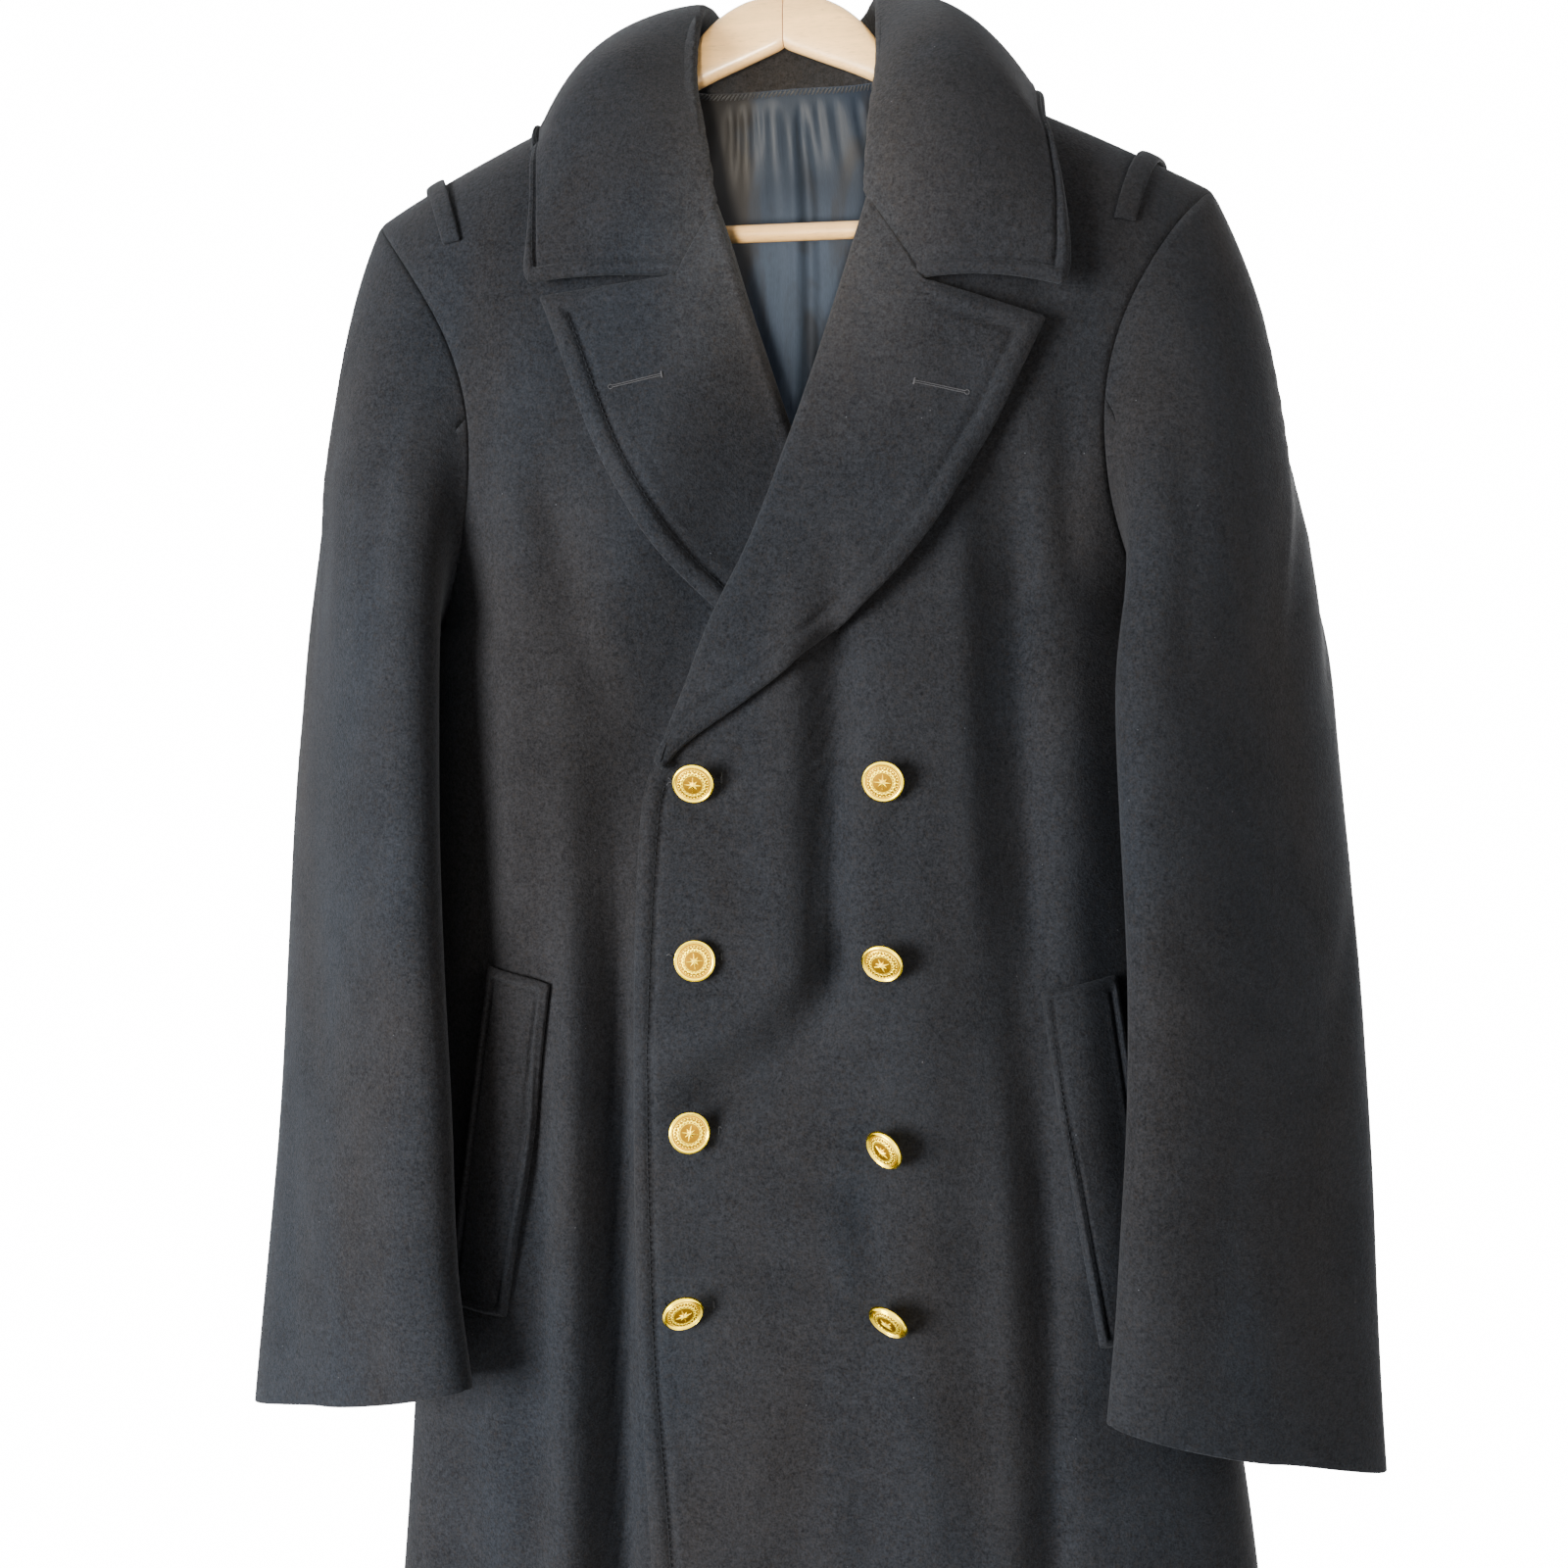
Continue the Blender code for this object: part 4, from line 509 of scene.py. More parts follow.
def front_panel(side):
    """Grid of a front: across from the front edge to the side seam, up from hem to shoulder."""
    shares = armhole_shares()
    right = side_rows(side, -1, shares)
    z = np.concatenate([LOWER_ROWS, ARMPIT_Z + (NECK_Z - ARMPIT_Z) * shares[1:]])
    reach = np.where(z <= BREAK_Z, smooth(EDGE, np.minimum(z, BREAK_Z)),
                     np.where(z <= GORGE_Z, smooth(ROLL, np.clip(z, BREAK_Z, GORGE_Z)),
                              smooth(NECK, np.maximum(z, GORGE_Z))))
    inset = (roll_radius(z) + 0.06) * ramp(z, BREAK_Z, BREAK_Z + 1.0) * (1 - ramp(z, GORGE_Z, GORGE_Z + 3.0))
    x = reach_x(side, reach + inset + 0.30 * ramp(z, GORGE_Z - 1.0, GORGE_Z + 1.0), z)
    left = np.stack([to_form(x, z), z], 1)
    top_x = side * (NECK_X + (SHOULDER_X - NECK_X) * SHOULDER_U)
    top = np.stack([to_form(top_x, ridge(top_x)), ridge(top_x)], 1)
    left[-1], top[-1] = top[0], right[-1]
    across = left[0, 0] + (right[0, 0] - left[0, 0]) * SHOULDER_U
    bottom = np.stack([across, np.full(len(across), HEM_Z)], 1)
    grid = coons(left, right, bottom, top, SHOULDER_U)
    points = form(grid[..., 0], grid[..., 1])
    if side < 0:
        points[..., 1] += under_front(points[..., 0], points[..., 2])
    points[:, -1, 1] = 0.0
    return points


def back_panel(side):
    """Grid of a back half: across from the centre seam to the side seam."""
    shares = armhole_shares()
    outer = side_rows(side, 1, shares)
    z = np.concatenate([LOWER_ROWS, ARMPIT_Z + (41.8 - ARMPIT_Z) * shares[1:]])
    middle = np.stack([np.full(len(z), side * 2.0), z], 1)
    neck_x = side * np.linspace(0.0, NECK_X, NECK_SHARES + 1)[:-1]
    ridge_x = side * (NECK_X + (SHOULDER_X - NECK_X) * SHOULDER_U)
    top_x = np.concatenate([neck_x, ridge_x])
    top_z = np.concatenate([neck_height(neck_x) - 0.12, ridge(ridge_x)])
    top = np.stack([to_form(top_x, top_z, 1), top_z], 1)
    top[0] = middle[-1] = side * 2.0, top_z[0]
    top[-1] = outer[-1]
    u = run_lengths(np.stack([top_x, top_z], 1))
    u = u / u[-1]
    bottom = np.stack([side * (2.0 - u), np.full(len(u), HEM_Z)], 1)
    grid = coons(middle, outer, bottom, top, u)
    points = form(grid[..., 0], grid[..., 1])
    points[NECK_SHARES:, -1, 1] = 0.0
    return points


# ---------------------------------------------------------------- sleeves
def sleeve_ring(side, angle, z):
    """Points of a sleeve below the armpit; angle 0 is the front inner end of its section."""
    out, back, half_long, half_short, twist, shift, slant = np.moveaxis(smooth(SLEEVE, z), -1, 0)
    twist = np.radians(twist)
    half_long = half_long - side * 0.35 * (1 - ramp(z, -34.0, -20.0))
    half_long = half_long + np.where(np.cos(angle) > 0, smooth(SLEEVE_REACH[side], z), 0.0)
    along = half_long * np.sign(np.cos(angle)) * np.abs(np.cos(angle)) ** 0.87
    across = half_short * np.sign(np.sin(angle)) * np.abs(np.sin(angle)) ** 0.87
    across = np.where(across < 0, UNDER_FLAT * across, across)
    x = out - along * np.sin(twist) + across * np.cos(twist)
    y = back - along * np.cos(twist) - across * np.sin(twist)
    return np.stack([shift + side * x, y, z + slant * np.cos(angle)], -1)


def sleeve_columns(side):
    """All lines of points down a sleeve, from the armhole to the cuff, and their ring angles."""
    shares = armhole_shares()
    tip = np.array([side * SHOULDER_X, 0.0, float(ridge(side * SHOULDER_X))])
    starts, angles, faces, all_shares = [], [], [], []
    for face, order in ((1, np.arange(ARMHOLE_POINTS - 1)), (-1, np.arange(ARMHOLE_POINTS - 1, -1, -1))):
        x, z = armhole(side, shares[order], face)
        starts.append(form_at(x, z, face))
        angles.append(-math.pi / 2 - face * math.pi * shares[order])
        faces.append(np.full(len(order), face))
        all_shares.append(shares[order])
    starts, angles = np.concatenate(starts), np.concatenate(angles)
    faces, all_shares = np.concatenate(faces), np.concatenate(all_shares)
    starts[ARMHOLE_POINTS - 1] = tip
    target = sleeve_ring(side, angles, np.full(len(angles), SLEEVE[-1][0]))
    length = np.linalg.norm(target - starts, axis=1, keepdims=True)
    swell = np.sin(math.pi * all_shares)
    crown_out, tip_less, inward, pull_off, pull_on = SLEEVE_CROWN[side]
    out = crown_out - tip_less * all_shares**4 + np.where(faces > 0, 0.55 * swell, 0.0)
    down = np.ones(len(out))
    leave = pull_off * length * unit(np.stack([side * out, faces * 0.40 * swell, -0.95 * down], 1))
    arrive = pull_on * length * unit(np.stack([-side * inward * all_shares, -0.10 * down, -down], 1))
    rows = [hermite(t, starts, target, leave, arrive) for t in np.linspace(0, 1, CAP_ROWS)]
    for z in np.linspace(SLEEVE[-1][0], SLEEVE[0][0], SLEEVE_ROWS + 1)[1:]:
        rows.append(sleeve_ring(side, angles, np.full(len(angles), z)))
    columns = np.stack(rows, 1)
    near = slice(CAP_ROWS - 18, CAP_ROWS + 16)
    for _ in range(90):                     # ease the crown into the rings
        eased = columns[:, near].copy()
        eased[:, 1:-1] = 0.5 * eased[:, 1:-1] + 0.25 * (eased[:, 2:] + eased[:, :-2])
        columns[:, near] = eased
    return crease_sleeve(side, columns, np.degrees(angles))


def crease_sleeve(side, columns, angles):
    """Press the sleeve's creases into its columns, fading out at the armhole seam."""
    angles = np.where(angles < -180, angles + 360, angles)
    depth = np.zeros(columns.shape[:2])
    steps = np.linspace(0.0, 1.0, 21)
    for a0, z0, a1, z1, a2, z2, deep, width in SLEEVE_CREASES[side]:
        path_a = (1 - steps) ** 2 * a0 + 2 * steps * (1 - steps) * a1 + steps**2 * a2
        path_z = (1 - steps) ** 2 * z0 + 2 * steps * (1 - steps) * z1 + steps**2 * z2
        apart = (angles[:, None, None] - path_a + 180) % 360 - 180
        gap = np.hypot(apart * 0.105, columns[..., 2][..., None] - path_z)
        near = gap.argmin(-1)
        fade = ramp(steps[near], 0.0, 0.35) * ramp(1 - steps[near], 0.0, 0.3)
        depth += deep * fade * np.exp(-(gap.min(-1) / width) ** 2)
    normals = unit(np.cross(np.gradient(columns, axis=0), np.gradient(columns, axis=1)))
    middle = columns.mean(axis=0, keepdims=True)
    normals *= np.sign((normals * (columns - middle)).sum(-1, keepdims=True))
    calm = ramp(run_lengths(columns[ARMHOLE_POINTS - 1]), 0.6, 4.0)
    return columns - normals * (depth * calm[None])[..., None]


def sleeve_panels(side):
    """Grids of the upper and the under sleeve."""
    columns = sleeve_columns(side)
    last = len(columns) - 1
    upper = columns[UNDER_BACK:last - UNDER_FRONT + 1]
    under = np.concatenate([columns[last - UNDER_FRONT:], columns[:UNDER_BACK + 1]])
    return upper, np.delete(under, UNDER_FRONT, axis=0)


# ---------------------------------------------------------------- topstitched bands
def band_relief(distance, inset):
    """Height of a topstitched edge: puffed outside the stitches, drawn in along them."""
    d = distance / inset
    return (0.19 * np.sin(math.pi * np.clip(d, 0, 1)) ** 0.8
            - 0.13 * np.exp(-((d - 1.04) / 0.20) ** 2) + 0.035 * np.exp(-((d - 1.55) / 0.30) ** 2))


ALL_SIDES = "first_column", "last_column", "first_row", "last_row"


def edge_distance(points, sides):
    """Distance of each grid point from the nearest of the named sides of its grid."""
    found = []
    for name in sides:
        axis = 0 if name in ("first_column", "last_column") else 1
        lengths = np.linalg.norm(np.diff(points, axis=axis), axis=-1)
        if name in ("last_column", "last_row"):
            lengths = np.flip(lengths, axis)
        zero = np.zeros_like(np.take(lengths, [0], axis))
        lengths = np.concatenate([zero, np.cumsum(lengths, axis)], axis)
        if name in ("last_column", "last_row"):
            lengths = np.flip(lengths, axis)
        found.append(lengths)
    return np.min(found, axis=0)


def inset_paths(wall, inset, sides, shortest=1.5, clear=0.97):
    """Lines on a wall's outside at a distance in from the named sides, with their outward normals."""
    paths = []
    for name in sides:
        across = name in ("first_column", "last_column")
        grid, normals = (part if across else part.swapaxes(0, 1) for part in (wall.points, wall.normals))
        others = None
        if len(sides) > 1:
            others = edge_distance(wall.points, [other for other in sides if other != name])
            others = others if across else others.T
        if name in ("last_column", "last_row"):
            grid, normals = grid[::-1], normals[::-1]
            others = None if others is None else others[::-1]
        line = []
        for k in range(grid.shape[1]):
            lengths = run_lengths(grid[:, k])
            if lengths[-1] < inset * shortest:
                continue
            if others is not None and np.interp(inset, lengths, others[:, k]) < inset * clear:
                continue
            line.append([np.interp(inset, lengths, part[:, k, m])
                         for part in (grid, normals) for m in range(3)])
        if len(line) > 2:
            paths.append(np.array(line))
    return paths


def lapel_paths(wall):
    """Lines of a lapel's topstitching: down its outer edge, and along its top from the notch."""
    outer, top = inset_paths(wall, wall.inset, ("last_column", "first_row"), shortest=1.4, clear=0.98)
    side = 1 if wall.name.endswith("left") else -1
    reach = side * (top[:, 0] - centre(top[:, 2]))
    return [outer[outer[:, 2] > BREAK_Z + 1.2], top[reach > LAPEL_TOP[side][0] - 0.1]]


# ---------------------------------------------------------------- lapels
def lapel_edge(side, w):
    """Reach and height of the lapel's outer edge, from the tip (0) to the break (1)."""
    reach, z = np.moveaxis(smooth(LAPEL_EDGE, w), -1, 0)
    _, _, tip_reach, tip_z = LAPEL_TOP[side]
    share = 1 - ramp(w, 0.0, 0.25)
    return reach + share * (tip_reach - LAPEL_EDGE[0][1]), z + share * (tip_z - LAPEL_EDGE[0][2])


def lapel_rows():
    """Shares down the lapel, crowded in at its top edge."""
    fine = EDGE_FINE / 36.0
    return np.concatenate([fine, np.linspace(fine[-1], 0.975, 96)[1:]])


def lapel_panel(side):
    """Grid of a lapel: round its roll from the inside, then out to its edge."""
    w = lapel_rows()
    roll_z = GORGE_Z + (BREAK_Z - GORGE_Z) * w
    roll = np.stack([smooth(ROLL, roll_z), roll_z], 1)
    edge = np.stack(lapel_edge(side, w), 1)
    notch_reach, notch_z, tip_reach, tip_z = LAPEL_TOP[side]
    roll = roll + np.array([0.0, -0.16]) * (1 - ramp(w, 0.0, 0.1))[:, None]
    corner = np.array([roll[0], [notch_reach - 0.05, notch_z - 0.26], [tip_reach, tip_z]])
    outward = unit(edge - roll)
    blend = ramp(w, 0.0, 0.12)[:, None]
    outward = unit((1 - blend) * unit(corner[1] - corner[0]) + blend * outward)
    radius = roll_radius(roll_z)[:, None]
    start = roll + outward * radius
    corner[0] = start[0]
    shares = 1 - edge_shares(13.0, 34)[::-1]
    top = at_shares(corner, shares)
    bottom = start[-1] + (edge[-1] - start[-1]) * shares[:, None]
    flat = coons(start[::-1], edge[::-1], bottom, top, shares)[:, ::-1]
    width = np.linalg.norm(edge - start, axis=1)
    share = shares[:, None]
    covered = 0.12 * ramp(share, 0.0, 0.3) * (side < 0)
    lift = radius[:, 0] - CLOTH / 2 + covered + share * (
        0.08 + 0.45 * (1 - w)[None] ** 0.7 * np.clip(width / 9.0, 0, 1))
    lift = lift + 0.50 * share**2 * np.exp(-((w - 0.48) / 0.22) ** 2)[None]
    outer = front_surface(side, reach_x(side, flat[..., 0], flat[..., 1]), flat[..., 1])
    outer[..., 1] -= lift
    folded = []
    level = front_surface(side, reach_x(side, start[:, 0], start[:, 1]), start[:, 1])[:, 1]
    for turn in np.radians(np.arange(180.0, 5.0, -12.0)):
        flat_2d = roll + outward * radius * (1 - math.sin(turn))
        x = reach_x(side, flat_2d[:, 0], flat_2d[:, 1])
        folded.append(np.stack([x, level + CLOTH / 2 - radius[:, 0] * math.cos(turn), flat_2d[:, 1]], 1))
    return np.concatenate([folded, outer])


# ---------------------------------------------------------------- collar
def neck_seam(side, key):
    """Where the collar starts: back neck, front neck, then the gorge seam over the lapel."""
    if key <= 2.0:
        x = side * NECK_X * key / 2.0
        point = form_at(np.array(x), neck_height(x), 1)
        if key == 2.0:
            point[1] = 0.0
        return point
    if key <= 5.0:
        z = NECK_Z - (NECK_Z - GORGE_Z) * (key - 2.0) / 3.0 - TILT * side * NECK_X * (5.0 - key) / 3.0
        point = form_at(reach_x(side, smooth(NECK, z), z), z)
        point[1] -= (FOLD_R - CLOTH / 2) * float(ramp(key, 4.0, 5.0))
        return point
    share = (key - 5.0) / 2.0
    notch_reach, notch_z, _, _ = LAPEL_TOP[side]
    reach = NECK[0][1] + (notch_reach - NECK[0][1]) * share
    z = GORGE_Z + (notch_z - GORGE_Z) * share
    point = form_at(reach_x(side, reach, z), z)
    point[1] -= FOLD_R - CLOTH / 2 + 0.08 * share
    return point


def collar_point(side, out, back, z):
    share = min(out / 14.5, 1.0)
    middle = (1 - share) * centre(z) + share * smooth(COLLAR_MIDDLE, z)
    return np.array([float(middle) + side * out, back, z])


def clear_of_form(points):
    """Move points out, or up near the ridge, until the collar's underside clears the coat."""
    x, y, z = np.moveaxis(points, -1, 0)
    for face in (-1, 1):
        here = (y > 0) == (face > 0)
        top, radius = ridge(x), round_radius(x, face)
        depth = np.abs(form_at(x, top - radius, face)[..., 1])
        level = top - radius * (1 - np.sqrt(1 - np.minimum(np.abs(y) / depth, 1.0) ** 2))
        clear = FALL_CLEAR + (0.45 if face > 0 else 0.0)
        out = np.abs(form_at(x, np.minimum(z, top), face)[..., 1]) + clear - np.abs(y)
        up = level + clear - z
        push_out = here & (z < top) & (out > 0) & (out <= up)
        push_up = here & (up > 0) & ~push_out & ((up < out) | (z >= top))
        points[..., 1] += np.where(push_out, face * out, 0.0)
        points[..., 2] += np.where(push_up, up, 0.0)
    return points


def collar_section(side, key):
    """Section of the collar from its seam up the stand, over the roll and down to its edge."""
    values = [float(v) for v in smooth(COLLAR, key)]
    drop = CORNER_DROP[side] * float(ramp(key, 4.0, 7.0))
    seam = neck_seam(side, key)
    roll_in = float(smooth(ROLL_IN, key)) if side < 0 else 0.0
    roll = collar_point(side, values[0] - roll_in, values[1], values[2])
    crown = collar_point(side, values[3], values[4], values[5] - 0.5 * drop)
    edge = collar_point(side, values[6], values[7], values[8] - drop)
    if key >= 5.0:
        start = seam + 0.06 * unit(roll - collar_point(side, 6.0, -8.0, 24.0))
        path = bezier(start, crown, edge, 60)
    else:
        start = seam + (0.08 + 0.15 * math.exp(-(key - 2.0) ** 2 / 0.4)) * unit(roll - seam)
        turn = min(1.3, 0.42 * np.linalg.norm(roll - start))
        below = roll + turn * unit(start - roll)
        beyond = roll + turn * unit(crown - roll)
        path = np.concatenate([np.linspace(start, below, 10), bezier(below, roll, beyond, 16)[1:],
                               bezier(beyond, crown, edge, 50)[1:]])
    return at_shares(path, 1 - edge_shares(15.0, 42)[::-1])


def collar_panel():
    """Grid of the whole collar, from the right front round the neck to the left front."""
    right = [collar_section(-1, key) for key in COLLAR_KEYS[:0:-1]]
    left = [collar_section(1, key) for key in COLLAR_KEYS]
    coarse = np.array(right + left)
    even = np.linspace(0, 1, 700)
    dense = refine(coarse, even)
    lengths = run_lengths(dense[:, int(0.6 * dense.shape[1])])
    at = np.concatenate([EDGE_FINE, np.linspace(EDGE_FINE[-1], lengths[-1] - EDGE_FINE[-1], 150)[1:-1],
                         lengths[-1] - EDGE_FINE[::-1]])
    grid = refine(coarse, np.interp(at, lengths, even))
    fall = grid.shape[1] // 3
    grid[:, fall:] = clear_of_form(grid[:, fall:])
    return grid


# ---------------------------------------------------------------- small cloth pieces
def welt_panel(side):
    """Grid of a pocket welt, worked out on the front and moved out from it."""
    inner_top, outer_top, inner_low, outer_low = (np.array(p) for p in WELT)
    across = np.concatenate([EDGE_FINE[:9] / 3.6, [0.28, 0.36, 0.44, 0.5]])
    across = np.concatenate([across, 1 - across[-2::-1]])
    up = np.concatenate([EDGE_FINE[:9] / 18.5, np.linspace(0.06, 0.94, 46), 1 - EDGE_FINE[8::-1] / 18.5])
    u, v = across[:, None, None], up[None, :, None]
    flat = ((1 - u) * (1 - v) * inner_low + u * (1 - v) * outer_low
            + (1 - u) * v * inner_top + u * v * outer_top)
    return front_surface(side, reach_x(side, flat[..., 0], flat[..., 1]), flat[..., 1])


def over_shoulder(out, turn, side):
    """Point over the shoulder's rounding: turn 0 on the ridge, negative to the front (degrees)."""
    face = 1 if turn > 0 else -1
    radius = float(round_radius(out, face))
    z = float(ridge(side * out)) - radius * (1 - math.cos(math.radians(turn)))
    return form_at(np.array(side * out), np.array(z), face)


def loop_panel(side):
    """Grid of a shoulder loop: a narrow strip over the shoulder seam."""
    rows = []
    for share in np.linspace(-1, 1, 61):
        front, top, back = LOOP_OUT[side]
        end = front if share < 0 else back
        middle = top + (end - top) * abs(share) ** 1.2
        turn = share * LOOP_TURN[0 if share < 0 else 1]
        if abs(turn) < 0.3:
            turn = -0.3
        lift = 0.06 + LOOP_LIFT * (1 - abs(share) ** 3)
        row = []
        for offset in np.linspace(-1, 1, 13):
            point = over_shoulder(middle + offset * LOOP_HALF_WIDTH, turn, side)
            away = unit(np.array([side * 0.35, math.sin(math.radians(turn)), math.cos(math.radians(turn))]))
            round_over = 0.05 * (1 - offset**4)
            row.append(point + away * (lift + round_over))
        rows.append(row)
    return np.moveaxis(np.array(rows), 0, 1)


def lining_top(out):
    """Height of the lining's upper edge: along the neck seam, then under the shoulder."""
    under_neck = neck_height(np.minimum(out, NECK_X)) + 0.35
    under_shoulder = smooth(RIDGE, out) - 2.6
    share = ramp(out, NECK_X - 1.0, NECK_X + 1.5)
    return (1 - share) * under_neck + share * under_shoulder


def lining_panel(columns=150, rows=190):
    """Grid of the back lining, inside the two back panels, with its pleat and tucks."""
    u = np.linspace(-1, 1, columns)[:, None]
    v = (1 - (1 - np.linspace(0, 1, rows)) ** 1.9)[None, :]
    level = -71.0 + 113.0 * v
    x = u * smooth(LINING_HALF, np.broadcast_to(level, (columns, rows)))
    z = -71.0 + v * (lining_top(np.abs(x)) + 71.0)
    points = form_at(x + 0.3 * smooth(CENTRE, z), z, 1)
    normals = grid_normals(points, (0, 1, 0))
    below = lining_top(np.abs(x)) - z
    pleat = 0.45 * ramp(below, 0.0, 3.0) * np.exp(-((x - 0.2) / 0.35) ** 2)
    pleat -= 0.30 * ramp(below, 0.0, 3.0) * np.exp(-((x + 0.7) / 0.55) ** 2)
    for at, length, deep, wide in LINING_TUCKS:
        fade = ramp(below, 0.2, 1.4) * (1 - ramp(below, 1.4, length))
        pleat += deep * fade * np.exp(-((x - at * (1 + 0.02 * below)) / (wide * (1 + 0.05 * below))) ** 2)
    wave = 0.10 * np.sin(x * 1.1 + 0.04 * z) + 0.07 * np.sin(x * 0.57 - 0.06 * z + 1.3)
    inset = CLOTH + 0.37 + 0.18 * ramp(below, 0.0, 3.0) + pleat + wave * ramp(below, 1.0, 8.0)
    return points - normals * inset[..., None]


# ---------------------------------------------------------------- walls
def grid_normals(points, hint):
    """Unit normals of a grid, turned to agree with the hint at its middle."""
    normals = unit(np.cross(np.gradient(points, axis=0), np.gradient(points, axis=1)))
    middle = normals[points.shape[0] // 2, points.shape[1] // 2]
    return normals if np.dot(middle, hint) > 0 else -normals


def rim(columns, rows):
    """Index pairs round the edge of a grid, once round."""
    walk = [(i, 0) for i in range(columns)]
    walk += [(columns - 1, j) for j in range(1, rows)]
    walk += [(i, rows - 1) for i in range(columns - 2, -1, -1)]
    walk += [(0, j) for j in range(rows - 2, 0, -1)]
    return walk


class Wall:
    """A cloth piece: a grid of its outside, which way is out, and its thickness."""

    def __init__(self, name, points, hint, thickness=CLOTH, slot="melton"):
        self.name, self.points, self.thickness, self.slot = name, points, thickness, slot
        self.normals = grid_normals(points, np.array(hint, float))
        self.walk = rim(*points.shape[:2])
        self.inner = points - self.normals * thickness
        self.sewn, self.plain = set(), set()    # rim points in a seam, and in a seam pressed flat

    def press(self, depth):
        """Move the outside along its normals; the inside stays."""
        self.points = self.points + self.normals * depth[..., None]

    def edges(self):
        return list(zip(self.walk, self.walk[1:] + self.walk[:1]))

    def shares(self):
        """Run of the cloth along both ways of the grid, in metres, for the weave."""
        middle = self.points.shape[1] // 2
        across = run_lengths(self.points[:, middle])
        up = run_lengths(self.points[self.points.shape[0] // 2])
        return np.stack(np.meshgrid(across, up, indexing="ij"), -1) * CM


def name_rim_points(walls):
    """Give rim points that meet, on any of the walls, one shared number."""
    places = [(wall, at) for wall in walls for at in wall.walk]
    near = KDTree(len(places))
    for k, (wall, at) in enumerate(places):
        near.insert(wall.points[at], k)
    near.balance()
    for wall in walls:
        wall.keys = {}
    for wall, at in places:
        wall.keys[at] = min(found for _, found, _ in near.find_range(wall.points[at], SAME_PLACE))


def sew(walls):
    """Give walls that share a seam one mitred edge, with the seam gap between them."""
    shared, uses = {}, {}
    name_rim_points(walls)
    for wall in walls:
        for at in wall.walk:
            shared.setdefault(wall.keys[at], []).append(wall.normals[at])
        for a, b in wall.edges():
            pair = frozenset((wall.keys[a], wall.keys[b]))
            uses[pair] = uses.get(pair, 0) + 1
    for wall in walls:
        columns, rows = wall.points.shape[:2]
        common = {}
        for at in wall.walk:
            normals = shared[wall.keys[at]]
            mean = unit(np.sum(normals, axis=0))
            grow = 1.0 / max(0.55, float(np.mean([np.dot(mean, n) for n in normals])))
            common[at] = mean
            wall.inner[at] = wall.points[at] - mean * wall.thickness * grow
        pulls = {at: [] for at in wall.walk}
        for a, b in wall.edges():
            if uses[frozenset((wall.keys[a], wall.keys[b]))] < 2:
                continue
            along = unit(wall.points[b] - wall.points[a])
            pull = unit(np.cross(unit(common[a] + common[b]), along))
            inside = (min(max(a[0], 1), columns - 2), min(max(a[1], 1), rows - 2))
            if np.dot(pull, wall.points[inside] - wall.points[a]) < 0:
                pull = -pull
            pulls[a].append(pull)
            pulls[b].append(pull)
            wall.sewn.update((a, b))
        shifts = {}
        for at, found in pulls.items():
            if not found:
                continue
            half = (PRESSED_GAP if at in wall.plain else SEAM_GAP) / 2
            shifts[at] = found[0] * half
            if len(found) == 2:
                total = found[0] + found[1]
                shifts[at] = total * half / max(0.3, 1 + float(np.dot(found[0], found[1])))
        for at, shift in shifts.items():
            round_over = 0.0 if at in wall.plain else SEAM_ROUND
            wall.points[at] = wall.points[at] + shift - common[at] * round_over
            wall.inner[at] = wall.inner[at] + shift


def place(points):
    """From the coat's layout in centimetres to the frame's axes in metres."""
    return (np.asarray(points, float) - (0.0, 0.0, RAIL_Z)) * CM


def edge_rings(wall):
    """Rings of points that round the rim over from the outside to the inside."""
    outer = np.array([wall.points[at] for at in wall.walk])
    inner = np.array([wall.inner[at] for at in wall.walk])
    nearer = []
    columns, rows = wall.points.shape[:2]
    for i, j in wall.walk:
        nearer.append(wall.points[min(max(i, 1), columns - 2), min(max(j, 1), rows - 2)])
    through = inner - outer
    thick = np.linalg.norm(through, axis=1, keepdims=True)
    along = unit(np.roll(outer, -1, axis=0) - np.roll(outer, 1, axis=0))
    away = unit(np.cross(along, through))
    away *= np.sign(((outer - np.array(nearer)) * away).sum(1, keepdims=True) + 1e-12)
    sewn = np.array([at in wall.sewn for at in wall.walk])[:, None]
    bulge = np.where(sewn, 0.0, 0.36 * thick)
    rings = []
    for share in (0.10, 0.30, 0.5, 0.70, 0.90):
        swell = math.sqrt(1 - (2 * share - 1) ** 2)
        rings.append(outer + through * share + away * bulge * swell)
    return rings


